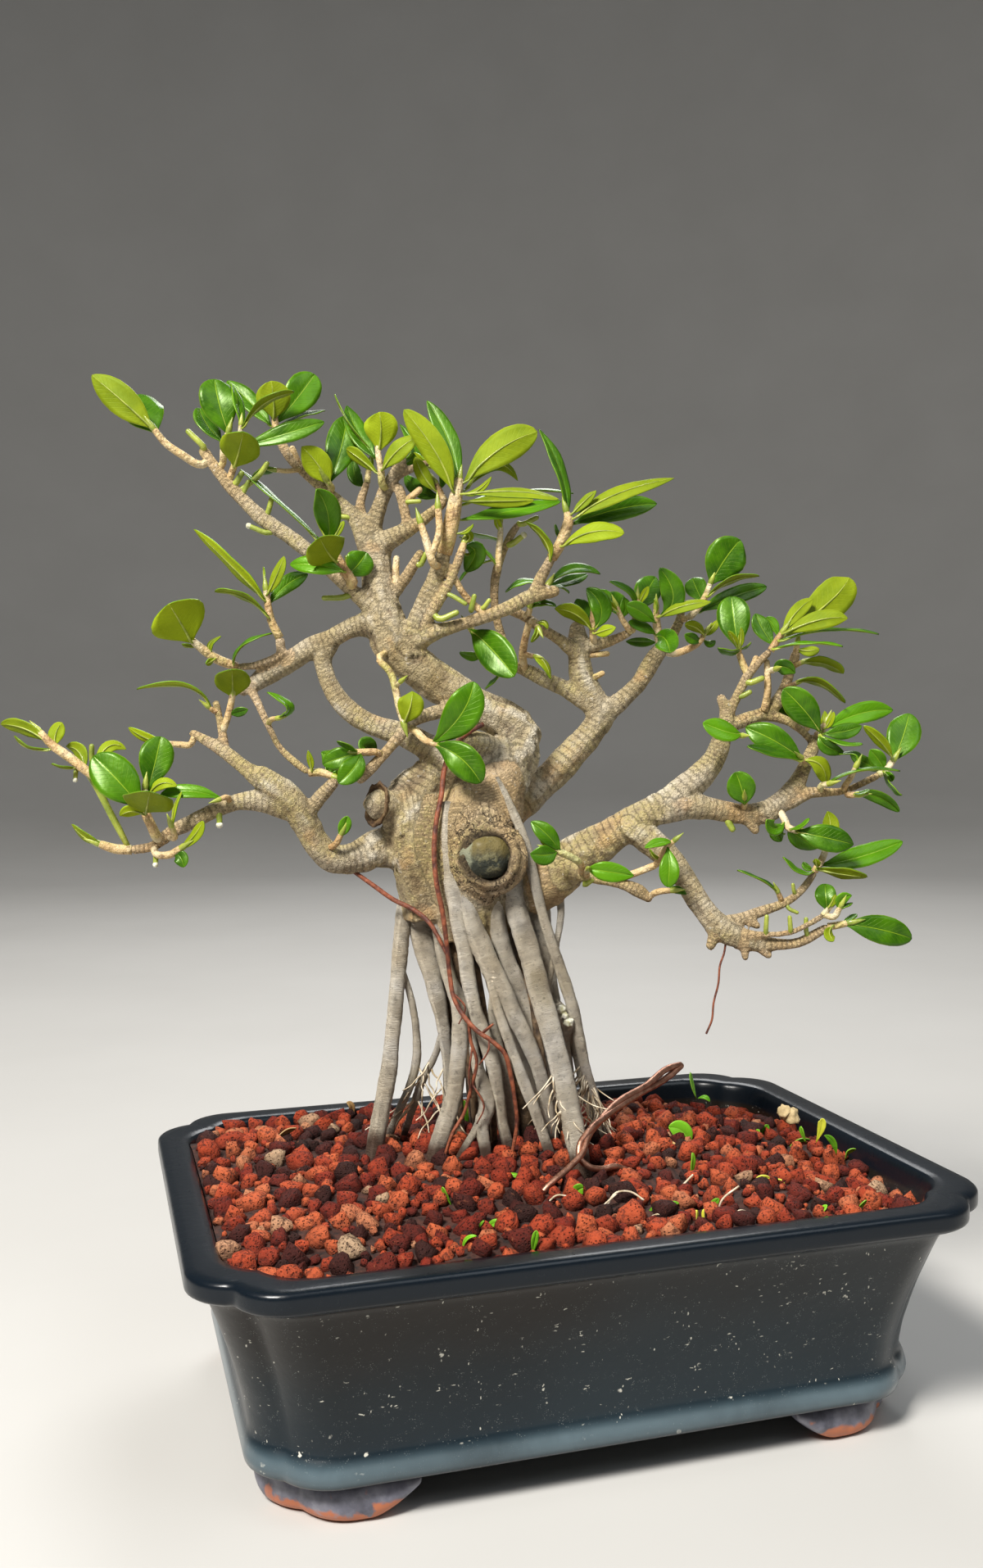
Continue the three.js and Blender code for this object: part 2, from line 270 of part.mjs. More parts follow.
// Leafy shoots. A leaf is its foot, middle and tip, its width in pixels, and its turn in degrees:
// 0 shows the upper face to the eye and 180 the underside.
const SPRAYS = {
  spray_upper_left: {
    stems: [
      [[247, 567, 9, 10], [222, 555, 12, 10], [200, 539, 14, 9], [189, 525, 15, 8]],
    ],
    leaves: [
      [[187, 524, 15], [150, 490, 17], [112, 458, 16], 38, 178],
      [[192, 530, 12], [176, 506, 6], [164, 482, -4], 52, 20],
    ],
  },
  spray_upper_left_b: {
    stems: [
      [[270, 569, 8, 9], [273, 548, 10, 9], [278, 530, 11, 8]],
      [[279, 588, 9, 9], [287, 565, 12, 8], [292, 540, 14, 7], [294, 520, 14, 6]],
    ],
    leaves: [
      [[280, 532, 11], [268, 495, 12], [262, 463, 8], 46, 8],
      [[272, 540, 8], [254, 520, 4], [243, 498, 0], 28, 35],
      [[286, 570, 14], [292, 550, 20], [297, 527, 28], 50, 180],
      [[294, 524, 13], [292, 500, 11], [283, 468, 8], 22, 60],
      [[296, 522, 15], [322, 492, 20], [359, 478, 22], 20, -120],
      [[294, 546, 14], [350, 529, 15], [396, 515, 12], 26, -25],
    ],
  },
  spray_leader_left: {
    stems: [
      [[342, 540, 0, 9], [338, 527, 1, 9], [335, 510, 2, 8], [333, 500, 2, 7]],
    ],
    leaves: [
      [[334, 512, 3], [334, 490, 6], [331, 465, 8], 42, 180],
      [[338, 516, 0], [366, 482, -5], [384, 457, -10], 42, 0],
      [[340, 520, -3], [372, 507, -8], [397, 501, -13], 22, -78],
      [[331, 520, 0], [306, 492, -5], [277, 465, -10], 26, 25],
    ],
  },
  spray_leader_mid_left: {
    stems: [
      [[404, 594, 4, 9], [400, 588, 6, 8]],
    ],
    leaves: [
      [[402, 592, 6], [388, 567, 9], [368, 545, 12], 34, 180],
      [[402, 590, 4], [416, 548, 0], [424, 508, -6], 40, 0],
    ],
  },
  spray_left_shoot: {
    stems: [
      [[430, 711, 10, 14], [418, 692, 12, 13], [408, 675, 14, 11], [402, 662, 15, 8]],
    ],
    leaves: [
      [[410, 686, 16], [400, 674, 22], [390, 656, 30], 54, 180],
      [[420, 698, 16], [388, 690, 18], [354, 689, 14], 26, 25],
      [[424, 702, 12], [438, 688, 11.5], [447, 674, 10.5], 36, 0],
      [[396, 664, 13], [340, 613, 11], [293, 573, 7], 20, 75],
      [[401, 662, 16], [400, 626, 22], [386, 597, 30], 34, 10],
    ],
  },
  spray_leader_mid: {
    stems: [
      [[447, 589, -7, 8], [450, 575, -8, 7]],
    ],
    leaves: [
      [[446, 594, -9], [434, 582, -14], [431, 562, -18], 18, 0],
    ],
  },
  spray_leader_centre: {
    stems: [
      [[467, 592, 6, 10], [465, 572, 8, 9], [462, 556, 9, 8], [461, 545, 9, 7]],
    ],
    leaves: [
      [[462, 552, 9], [465, 525, 12], [463, 503, 14], 42, 180],
      [[459, 560, 6], [438, 530, 0], [423, 495, -8], 26, 20],
      [[460, 556, 4], [426, 515, 0], [409, 481, -4], 18, 85],
      [[462, 578, 7], [440, 560, 6], [423, 548, 4], 18, 150],
      [[467, 574, 10], [486, 550, 13], [512, 532, 13], 26, 150],
      [[470, 568, 4], [506, 556, -12], [488, 518, -21], 20, 35],
    ],
  },
  spray_leader_fork: {
    stems: [
      [[530, 563, 0, 8], [536, 562, -2, 7], [540, 570, -5, 7]],
    ],
    leaves: [],
  },
  spray_knuckle: {
    stems: [
      [[543, 612, 6, 9], [538, 602, 4, 8], [533, 592, 2, 7]],
    ],
    leaves: [
      [[533, 600, 4], [518, 582, 6], [507, 558, 4.5], 18, 170],
      [[539, 606, 2], [514, 600, -4], [496, 580, -12], 20, 20],
    ],
  },
  spray_crown: {
    stems: [
      [[542, 676, 11, 19], [548, 652, 12, 20], [553, 628, 13, 19], [557, 604, 14, 16],
        [560, 588, 14, 12]],
    ],
    leaves: [
      [[553, 600, 17], [532, 552, 20], [493, 500, 20], 34, 172],
      [[560, 590, 11], [547, 538, 6], [521, 489, 1], 27, 20],
      [[566, 590, 14], [608, 550, 15], [656, 527, 13], 42, 165],
      [[568, 604, 17], [630, 601, 20], [682, 610, 22], 20, 125],
      [[564, 634, 10], [618, 625, 8], [685, 612, 2], 24, -45],
      [[563, 616, 6], [630, 600, -2], [700, 602, -8], 20, -84],
    ],
  },
  spray_crown_low: {
    stems: [
      [[562, 674, 12, 10], [566, 664, 11, 8]],
    ],
    leaves: [
      [[566, 668, 10], [580, 674, 6], [568, 698, 1], 28, 0],
    ],
  },
  spray_upright: {
    stems: [
      [[608, 694, 0, 8], [609, 672, 1, 8], [611, 648, 2, 7], [611, 638, 2, 6]],
    ],
    leaves: [
      [[607, 690, 1], [588, 670, 3], [561, 655, 4], 20, 80],
      [[610, 660, 0], [590, 654, -6], [568, 651, -11], 20, -78],
      [[606, 682, -1], [578, 692, -6], [560, 711, -12], 20, 80],
    ],
  },
  spray_right_crown: {
    stems: [
      [[674, 681, 9, 14], [684, 664, 10, 14], [691, 647, 11, 14], [694, 634, 11, 12],
        [692, 626, 11, 8]],
    ],
    leaves: [
      [[693, 632, 11], [684, 576, 8], [658, 524, 4], 24, 55],
      [[686, 668, 13], [722, 650, 18], [762, 651, 20], 27, 150],
      [[700, 634, 12], [752, 604, 12], [823, 584, 8], 24, 140],
      [[698, 640, 9], [752, 622, 4], [802, 615, -2], 30, -15],
      [[672, 684, 11], [666, 660, 13], [642, 637, 14], 18, 120],
    ],
  },
  spray_behind: {
    stems: [
      [[662, 727, -4, 9], [668, 716, -6, 8]],
    ],
    leaves: [
      [[666, 718, -6], [642, 710, -8], [617, 723, -10], 20, 70],
      [[670, 714, -8], [700, 694, -12], [733, 701, -16], 20, -55],
      [[668, 716, -10], [692, 710, -18], [717, 701, -26], 18, -40],
    ],
  },
  spray_cross: {
    stems: [
      [[645, 749, -5, 8], [647, 742, -3, 7]],
    ],
    leaves: [],
  },
  spray_centre: {
    stems: [
      [[622, 815, -14, 10], [604, 804, -8, 9], [588, 786, -4, 9], [575, 768, -2, 8]],
    ],
    leaves: [
      [[574, 769, -1], [600, 792, 6], [628, 826, 12], 44, 8],
      [[616, 812, -13], [606, 828, -12], [592, 841, -13], 18, 80],
    ],
  },
  spray_knuckle_right: {
    stems: [
      [[724, 777, -14, 9], [724, 760, -12, 9], [724, 746, -11, 7]],
    ],
    leaves: [
      [[722, 768, -11], [702, 749, -8], [677, 743, -6], 22, 150],
      [[723, 764, -15], [713, 748, -22], [704, 731, -28], 24, 0],
      [[726, 768, -9], [734, 742, -6], [716, 718, -8], 27, 10],
      [[726, 760, -16], [738, 738, -24], [729, 721, -32], 24, 0],
    ],
  },
  spray_knuckle_tip: {
    stems: [
      [[768, 769, -14, 8], [759, 755, -13, 7], [753, 741, -12, 6]],
      [[772, 766, -18, 8], [777, 748, -18, 7], [778, 732, -18, 6]],
    ],
    leaves: [
      [[760, 756, -15], [754, 738, -26], [736, 728, -38], 26, 0],
      [[778, 744, -20], [790, 722, -28], [800, 704, -36], 34, 0],
    ],
  },
  spray_right_centre: {
    stems: [
      [[806, 789, -22, 12], [803, 772, -20, 11], [801, 754, -18, 9], [801, 744, -17, 7]],
    ],
    leaves: [
      [[806, 752, -16], [822, 728, -12], [805, 693, -10], 30, 0],
      [[805, 754, -15], [832, 741, -10], [868, 735, -8], 18, 140],
      [[801, 776, -17], [812, 780, -8], [818, 797, 2], 30, 0],
      [[800, 760, -16], [784, 748, -13], [765, 738, -12], 22, 5],
    ],
  },
  spray_right_centre_up: {
    stems: [
      [[838, 755, -20, 9], [852, 742, -19, 9], [862, 726, -18, 8], [867, 713, -17, 7]],
    ],
    leaves: [
      [[867, 714, -17], [884, 684, -15], [904, 659, -16], 50, 5],
      [[858, 736, -21], [850, 718, -27], [845, 706, -32], 27, 0],
      [[864, 728, -15], [892, 709, -12], [927, 703, -12], 18, -115],
      [[852, 748, -21], [890, 730, -26], [936, 716, -32], 23, -18],
    ],
  },
  spray_right_centre_low: {
    stems: [
      [[816, 797, -22, 9], [838, 793, -21, 9], [854, 783, -20, 8], [860, 774, -20, 6]],
    ],
    leaves: [],
  },
  spray_right_glossy: {
    stems: [
      [[903, 797, 8, 7], [902, 792, 8, 6]],
    ],
    leaves: [
      [[902, 794, 8], [896, 757, 6], [893, 728, 2], 41, 0],
    ],
  },
  spray_right_top: {
    stems: [
      [[940, 794, 12, 9], [948, 783, 13, 9], [954, 774, 14, 8]],
    ],
    leaves: [
      [[944, 788, 12], [931, 768, 10], [922, 749, 8], 23, 20],
      [[954, 774, 12], [972, 748, 9], [992, 731, 6], 19, 160],
      [[956, 774, 16], [1000, 757, 21], [1035, 755, 22], 25, 163],
      [[955, 778, 8], [1012, 735, 2], [1036, 705, -2], 46, 180],
      [[951, 782, 16], [1010, 769, 14], [1073, 774, 10], 22, -82],
      [[944, 792, 16], [985, 785, 20], [1029, 789, 22], 20, -82],
    ],
  },
  spray_right_back: {
    stems: [
      [[971, 797, 1, 9], [973, 788, 1, 7]],
    ],
    leaves: [],
  },
  leaf_right_back_a: {
    stems: [
      [[970, 812, 2, 7], [978, 809, 3, 6]],
    ],
    leaves: [
      [[976, 810, 3], [1005, 809, 5], [1030, 822, 5], 24, -125],
    ],
  },
  leaf_right_back_b: {
    stems: [
      [[964, 838, 5, 7], [972, 834, 6, 6]],
    ],
    leaves: [
      [[970, 835, 6], [998, 833, 9], [1032, 858, 9], 22, -115],
    ],
  },
  spray_right_mid: {
    stems: [
      [[999, 898, 9, 11], [1003, 892, 10, 10], [1007, 884, 10, 7]],
    ],
    leaves: [
      [[1001, 893, 14], [981, 866, 16], [956, 841, 15], 38, 2],
      [[1006, 890, 8], [1050, 871, 5], [1090, 867, 0], 27, -12],
      [[1005, 896, 13], [1030, 893, 14], [1052, 886, 12], 21, -15],
      [[1000, 898, 14], [1009, 911, 16], [1031, 919, 14], 18, 10],
    ],
  },
  spray_right_mid_left: {
    stems: [
      [[983, 930, 14, 8], [979, 926, 16, 7]],
    ],
    leaves: [
      [[980, 927, 16], [945, 904, 18], [910, 888, 14], 35, 10],
      [[980, 928, 17], [945, 919, 22], [912, 911, 24], 20, 60],
      [[982, 928, 16], [1002, 935, 16], [1008, 958, 13], 24, 150],
    ],
  },
  spray_far_right: {
    stems: [
      [[1072, 945, 15, 9], [1082, 940, 15, 9], [1089, 930, 15, 8]],
    ],
    leaves: [
      [[1090, 930, 14], [1102, 900, 10], [1110, 871, 5], 41, 0],
      [[1080, 940, 13], [1072, 927, 12], [1062, 915, 11], 20, 0],
    ],
  },
  leaf_limb_round: {
    stems: [
      [[909, 981, 16, 8], [909, 976, 18, 7]],
    ],
    leaves: [
      [[909, 982, 18], [906, 965, 20], [898, 942, 20], 35, 0],
    ],
  },
  spray_right_under: {
    stems: [
      [[958, 1001, 16, 9], [962, 1010, 18, 9], [974, 1014, 20, 8]],
    ],
    leaves: [
      [[958, 1004, 18], [945, 1011, 22], [936, 1000, 26], 20, 30],
      [[960, 1008, 18], [949, 1015, 17], [954, 1027, 14], 20, 0],
      [[962, 1010, 18], [976, 1022, 15], [1000, 1034, 10], 26, 8],
      [[972, 1015, 22], [1010, 1023, 26], [1042, 1031, 24], 34, -10],
    ],
  },
  spray_low_right_up: {
    stems: [
      [[993, 1063, 18, 9], [1000, 1055, 19, 9], [1007, 1040, 16, 8], [1010, 1026, 12, 7]],
    ],
    leaves: [
      [[1001, 1056, 17], [1050, 1046, 14], [1102, 1027, 8], 29, -20],
      [[996, 1060, 20], [1025, 1066, 24], [1059, 1070, 26], 22, -125],
      [[1009, 1030, 12], [1014, 1010, 10], [1010, 990, 9], 21, 165],
    ],
  },
  spray_low_right_in: {
    stems: [
      [[1004, 1117, 33, 8], [1009, 1112, 33, 8], [1014, 1106, 33, 7]],
      [[1006, 1117, 33, 7], [1018, 1119, 34, 8], [1025, 1108, 35, 7]],
    ],
    leaves: [
      [[1010, 1112, 33], [1008, 1095, 33], [1007, 1079, 29], 26, 0],
    ],
  },
  spray_low_right_tip: {
    stems: [
      [[1011, 1131, 31, 10], [1024, 1129, 32, 9], [1034, 1127, 33, 8]],
    ],
    leaves: [
      [[1030, 1128, 33], [1072, 1134, 35], [1113, 1146, 32], 36, -8],
    ],
  },
  spray_front: {
    stems: [
      [[704, 1050, 33, 9], [688, 1042, 35, 9], [676, 1038, 36, 8]],
    ],
    leaves: [
      [[684, 1040, 36], [668, 1019, 38], [648, 1003, 36], 23, 10],
      [[680, 1040, 37], [665, 1044, 40], [647, 1042, 41], 25, 0],
    ],
  },
  spray_front_right: {
    stems: [
      [[800, 1056, 26, 8], [808, 1044, 30, 8], [814, 1034, 33, 7], [822, 1027, 34, 6]],
    ],
    leaves: [
      [[815, 1034, 34], [817, 1060, 38], [815, 1083, 38], 25, 0],
    ],
  },
  spray_fork_pair: {
    stems: [
      [[508, 893, 16, 10], [520, 904, 20, 9], [534, 909, 22, 8]],
    ],
    leaves: [
      [[528, 907, 22], [563, 872, 28], [578, 832, 27], 46, 0],
      [[530, 909, 22], [562, 925, 28], [587, 956, 28], 40, 4],
    ],
  },
  shoot_green: {
    stems: [
      [[463, 806, 16, 8], [476, 820, 16, 9], [483, 842, 17, 9], [487, 862, 18, 9], [492, 880, 19, 8]],
      [[483, 838, 17, 7], [488, 833, 19, 6]],
    ],
    leaves: [
      [[492, 884, 19], [501, 862, 22], [503, 844, 20], 33, 180],
    ],
  },
  spray_grey_left: {
    stems: [
      [[462, 919, 18, 9], [448, 918, 20, 9], [436, 918, 21, 8]],
    ],
    leaves: [
      [[440, 918, 20], [446, 911, 16], [454, 922, 11], 26, 0],
      [[440, 920, 22], [432, 937, 26], [413, 956, 28], 29, 4],
      [[438, 919, 21], [416, 925, 23], [394, 933, 22], 27, 8],
    ],
  },
  spray_hanging: {
    stems: [
      [[377, 944, 10, 10], [392, 943, 11, 10], [404, 947, 12, 9]],
    ],
    leaves: [
      [[396, 944, 10], [404, 930, 6], [392, 918, 2], 22, 0],
    ],
  },
  spray_left_fan: {
    stems: [
      [[289, 814, 6, 11], [264, 804, 8, 12], [248, 793, 10, 11], [236, 783, 12, 9]],
    ],
    leaves: [
      [[234, 784, 13], [219, 758, 20], [206, 737, 26], 72, 180],
      [[284, 812, 7], [296, 788, 11], [332, 773, 12], 18, -80],
    ],
  },
  spray_left_up: {
    stems: [
      [[340, 779, 4, 11], [331, 757, 5, 10], [327, 738, 5, 9], [325, 722, 5, 8]],
    ],
    leaves: [
      [[325, 734, 6], [290, 697, 9], [237, 646, 8], 24, 125],
      [[329, 754, 7], [298, 729, 10], [262, 722, 10], 20, 112],
      [[328, 738, 2], [350, 714, -2], [376, 701, -7], 22, -18],
    ],
  },
  spray_gold: {
    stems: [
      [[275, 894, 20, 9], [280, 868, 21, 9], [284, 848, 22, 8]],
    ],
    leaves: [
      [[284, 852, 22], [284, 834, 26], [283, 817, 34], 44, 180],
    ],
  },
  leaf_long_arc: {
    stems: [
      [[262, 868, 20, 7], [256, 864, 21, 6]],
    ],
    leaves: [
      [[258, 865, 21], [228, 838, 25], [167, 841, 26], 20, 105],
    ],
  },
  spray_left_point: {
    stems: [
      [[232, 909, 20, 8], [220, 909, 20, 8], [208, 908, 20, 7]],
    ],
    leaves: [],
  },
  spray_left_big: {
    stems: [
      [[190, 1019, 30, 13], [184, 1006, 32, 12], [178, 993, 33, 12], [176, 976, 33, 10],
        [177, 964, 33, 8]],
      [[176, 984, 33, 10], [142, 962, 31, 12], [110, 944, 30, 12], [84, 924, 29, 12],
        [62, 908, 28, 11], [50, 895, 27, 9]],
    ],
    leaves: [
      [[180, 966, 33], [190, 928, 31], [196, 899, 28], 42, 0],
      [[172, 986, 36], [145, 954, 38], [114, 923, 35], 52, 4],
      [[178, 992, 37], [180, 982, 42], [183, 966, 50], 62, 180],
      [[176, 994, 36], [160, 990, 39], [146, 996, 40], 17, 150],
      [[58, 906, 28], [30, 889, 27], [1, 884, 25], 20, 150],
      [[68, 912, 28], [68, 897, 27], [76, 882, 26], 20, 160],
      [[104, 938, 28], [97, 918, 25], [81, 911, 22], 20, 150],
      [[116, 940, 26], [132, 912, 22], [154, 915, 19], 17, 150],
    ],
  },
  spray_left_low_point: {
    stems: [
      [[161, 1037, 26, 12], [140, 1036, 27, 12], [124, 1031, 28, 10]],
    ],
    leaves: [
      [[128, 1032, 28], [106, 1023, 29], [88, 1006, 29], 17, 120],
    ],
  },
  spray_left_low_right: {
    stems: [
      [[190, 1042, 29, 9], [208, 1043, 31, 10], [220, 1036, 33, 9]],
    ],
    leaves: [
      [[212, 1042, 32], [220, 1046, 34], [224, 1059, 35], 18, 10],
    ],
  },
  leaf_front_low: {
    stems: [
      [[716, 1068, 22, 8], [717, 1063, 30, 8], [718, 1061, 36, 7]],
    ],
    leaves: [
      [[716, 1060, 36], [742, 1064, 38], [774, 1069, 37], 25, 0],
    ],
  },
};

// Leaves and green shoots on the bare limbs
const LEAVES_ON_WOOD = {
  leader_low: {
    stems: [
      [[364, 573, 3, 7], [350, 575, 4, 6], [338, 574, 5, 6]],
    ],
    leaves: [],
  },
  crown_green: {
    stems: [
      [[529, 688, 17, 10], [521, 662, 18, 10], [514, 640, 18, 8]],
      [[526, 680, 17, 8], [536, 650, 18, 9], [535, 622, 18, 8]],
    ],
    leaves: [],
  },
  left_cut: {
    stems: [
      [[411, 1029, 19, 8], [416, 1019, 20, 7]],
    ],
    leaves: [],
  },
  low_arc: {
    stems: [
      [[953, 1097, 20, 7], [950, 1090, 21, 6]],
    ],
    leaves: [],
  },
  tip_curl: {
    stems: [
      [[1031, 960, 17, 8], [1038, 950, 18, 8], [1044, 938, 19, 7]],
    ],
    leaves: [],
  },
  right_back_c: {
    stems: [
      [[943, 818, 10, 8], [946, 817, 12, 7]],
    ],
    leaves: [
      [[944, 818, 12], [956, 814, 14], [971, 822, 14], 20, 12],
    ],
  },
  right_mid_back: {
    stems: [
      [[986, 888, 4, 7], [978, 882, 2, 6]],
    ],
    leaves: [
      [[980, 884, 2], [963, 873, -2], [936, 865, -5], 18, 20],
    ],
  },
  hanging_curl: {
    stems: [
      [[332, 878, 9, 7], [337, 877, 10, 6]],
    ],
    leaves: [
      [[335, 878, 10], [353, 864, 14], [326, 845, 16], 20, 62],
    ],
  },
  left_inner: {
    stems: [
      [[276, 973, 28, 7], [270, 975, 29, 6]],
    ],
    leaves: [
      [[272, 975, 29], [232, 966, 31], [196, 970, 30], 20, 30],
    ],
  },
  tip_arc: {
    stems: [
      [[1003, 959, 16, 8], [1010, 957, 18, 7]],
    ],
    leaves: [
      [[1008, 958, 18], [1047, 941, 22], [1099, 941, 22], 20, -80],
    ],
  },
  tip_low: {
    stems: [
      [[1036, 970, 16, 9], [1044, 970, 18, 8]],
    ],
    leaves: [
      [[1042, 970, 18], [1070, 972, 18], [1098, 991, 16], 17, 20],
    ],
  },
  elbow: {
    stems: [
      [[886, 895, 12, 8], [896, 898, 19, 7], [904, 898, 23, 7]],
    ],
    leaves: [
      [[905, 896, 24], [886, 893, 28], [858, 882, 28], 29, 30],
    ],
  },
};

// The point that a pixel and a distance towards the eye stand for
function spot(across, down, toward) {
  return AHEAD.clone()
    .addScaledVector(RIGHT, (across - CENTRE_ACROSS) / FOCAL)
    .addScaledVector(UPWARD, (CENTRE_DOWN - down) / FOCAL)
    .multiplyScalar(TREE_DEPTH - toward)
    .add(EYE);
}

// A width in pixels, in millimetres
function span(pixels, toward) {
  return (pixels * (TREE_DEPTH - toward)) / FOCAL;
}

// Solids: a closed surface with its shared corners merged and its collapsed faces dropped
function solidOf(geometry) {
  const bare = new THREE.BufferGeometry();
  bare.setAttribute("position", geometry.getAttribute("position"));
  bare.setIndex(geometry.index);
  const merged = mergeVertices(bare, 1e-4);
  const kept = [];
  for (let i = 0; i < merged.index.count; i += 3) {
    const [a, b, c] = [0, 1, 2].map((k) => merged.index.getX(i + k));
    if (a !== b && b !== c && c !== a) kept.push(a, b, c);
  }
  return new Manifold(
    new wasm.Mesh({
      numProp: 3,
      vertProperties: new Float32Array(merged.attributes.position.array),
      triVerts: new Uint32Array(kept),
    }),
  );
}

function geometryOf(solid) {
  const mesh = solid.getMesh();
  const geometry = new THREE.BufferGeometry();
  geometry.setAttribute("position", new THREE.BufferAttribute(mesh.vertProperties, 3));
  geometry.setIndex(new THREE.BufferAttribute(mesh.triVerts, 1));
  geometry.computeVertexNormals();
  return geometry;
}

// A copy of a solid, turned over along X where x is -1 and along Y where y is -1
function turnedOver(solid, x, y) {
  const geometry = geometryOf(solid).scale(x, y, 1);
  if (x * y < 0) geometry.index.array.reverse();
  return solidOf(geometry);
}

function joined(solids) {
  return solids.reduce((whole, solid) => whole.add(solid));
}

// The largest body of a solid, without the scraps that a cut leaves
function largest(solid) {
  const bodies = solid.decompose();
  bodies.sort((a, b) => b.volume() - a.volume());
  return bodies[0];
}

function moveCorners(geometry, rule) {
  const place = geometry.attributes.position;
  const corner = new THREE.Vector3();
  for (let i = 0; i < place.count; i++) {
    corner.fromBufferAttribute(place, i);
    rule(corner, i);
    place.setXYZ(i, corner.x, corner.y, corner.z);
  }
  return geometry;
}

// A round limb through a list of centres, with a radius at each. It has fewer rings than centres.
// grow makes it fatter and longer, to cut a clear space for it in its neighbours.
function limbAlong(centres, radii, grow = 0) {
  const curve = new THREE.CatmullRomCurve3(centres);
  const last = centres.length - 1;
  const steps = stretchesOf(centres);
  const sides = THREE.MathUtils.clamp(Math.round(2.6 + 0.4 * Math.max(...radii)), 3, 9);
  const growth = grow / Math.cos(Math.PI / sides);
  const tangent = curve.getTangent(0);
  const side = new THREE.Vector3(0, 0, 1).cross(tangent);
  if (side.length() < 0.1) side.set(1, 0, 0).cross(tangent);
  side.normalize();
  const frames = Array.from({ length: steps + 1 }, (_, i) => {
    const share = i / steps;
    const next = curve.getTangent(share);
    side.applyQuaternion(new THREE.Quaternion().setFromUnitVectors(tangent, next));
    tangent.copy(next);
    const before = Math.min(Math.floor(share * last), last - 1);
    const radius = THREE.MathUtils.lerp(radii[before], radii[before + 1], share * last - before);
    const beyond = i === 0 ? -grow : i === steps ? grow : 0;
    return {
      centre: curve.getPoint(share).addScaledVector(next, beyond),
      side: side.clone().multiplyScalar(radius + growth),
      other: next.clone().cross(side).multiplyScalar(radius + growth),
    };
  });
  const tube = moveCorners(new THREE.CylinderGeometry(1, 1, 1, sides, steps), (corner) => {
    const frame = frames[Math.round((0.5 - corner.y) * steps)];
    const { x, z } = corner;
    corner.copy(frame.centre).addScaledVector(frame.side, x).addScaledVector(frame.other, z);
  });
  return solidOf(tube);
}

function centresOf(points) {
  return points.map(([across, down, toward]) => spot(across, down, toward));
}

function radiiOf(points) {
  return points.map(([, , toward, width]) => span(width, toward) / 2);
}

function limb(points, grow) {
  return limbAlong(centresOf(points), radiiOf(points), grow);
}

// A root goes on down into the soil in the direction that it enters it
function rootLimb(points, grow) {
  const centres = centresOf(points);
  const radii = radiiOf(points);
  const end = centres[centres.length - 1];
  const way = end.clone().sub(centres[centres.length - 2]).normalize();
  way.z = Math.min(way.z, -0.8);
  centres.push(end.clone().addScaledVector(way, ROOT_DEPTH));
  radii.push(ROOT_TAPER * radii[radii.length - 1]);
  return limbAlong(centres, radii, grow);
}

// A blade: an upper and a lower sheet that meet at the margin, folded a little at the midrib.
// Its first point is on the stem that it grows from.
function leaf([foot, middle, tip, width, turn], stemPoint) {
  const [start, centre, end] = [foot, middle, tip].map((point) => spot(...point));
  const control = centre.clone().multiplyScalar(2);
  control.addScaledVector(start, -0.5).addScaledVector(end, -0.5);
  const curve = new THREE.QuadraticBezierCurve3(start, control, end);
  const shape = width >= BROAD_FROM ? BROAD_LEAF : SMALL_LEAF;
  const halfWidth = span(width, middle[2]) / 2;
  const rows = shape.map(([share, breadth]) => {
    const along = curve.getTangent(share);
    const up = EYE.clone().sub(centre);
    up.addScaledVector(along, -up.dot(along)).normalize();
    up.applyAxisAngle(along, THREE.MathUtils.degToRad(turn));
    const thickness = share === 1 ? 0 : LEAF_HALF_THICKNESS;
    return {
      point: curve.getPoint(share),
      across: up.clone().cross(along).multiplyScalar(halfWidth * breadth),
      up: up.clone().multiplyScalar(thickness),
      fold: up.clone().multiplyScalar(halfWidth * breadth * LEAF_FOLD),
    };
  });
  const none = new THREE.Vector3();
  const sunk = stemPoint.clone().sub(rows[0].point).setLength(LEAF_SINK).add(stemPoint);
  rows.unshift({ point: sunk, across: none, up: rows[0].up.clone().multiplyScalar(0.5), fold: none });
  const sheets = [1, -1].map((face) => {
    const sheet = new THREE.PlaneGeometry(2, 1, 2, rows.length - 1);
    moveCorners(sheet, (corner) => {
      const row = rows[Math.round((0.5 - corner.y) * (rows.length - 1))];
      const { x } = corner;
      corner.copy(row.point).addScaledVector(row.across, x).addScaledVector(row.fold, Math.abs(x));
      if (x === 0) corner.addScaledVector(row.up, face);
    });
    if (face < 0) sheet.index.array.reverse();
    return sheet;
  });
  return solidOf(mergeGeometries(sheets));
}

// How many stretches a limb has between its rings, for the centres that it runs through
function stretchesOf(centres) {
  const last = centres.length - 1;
  return last > FEW_POINTS ? Math.ceil(RINGS_PER_POINT * last) : last;
}

// The point nearest to a place on the centre lines of some limbs
function nearestOn(lines, place) {
  let best;
  for (const centres of lines) {
    const rings = new THREE.CatmullRomCurve3(centres).getPoints(stretchesOf(centres));
    for (let i = 1; i < rings.length; i++) {
      const stretch = new THREE.Line3(rings[i - 1], rings[i]);
      const point = stretch.closestPointToPoint(place, true, new THREE.Vector3());
      if (!best || point.distanceTo(place) < best.distanceTo(place)) best = point;
    }
  }
  return best;
}

// The centre lines of a shoot's stems, each starting inside the limb or the stem that carries it
function stemLines(stems) {
  const wood = Object.values(LIMBS).map(centresOf);
  const lines = [];
  for (const points of stems) {
    const centres = centresOf(points);
    const start = nearestOn([...wood, ...lines], centres[0]);
    const apart = start.distanceTo(centres[0]) > radiiOf(points)[0];
    lines.push(apart ? [start, ...centres] : [start, ...centres.slice(1)]);
  }
  return lines;
}

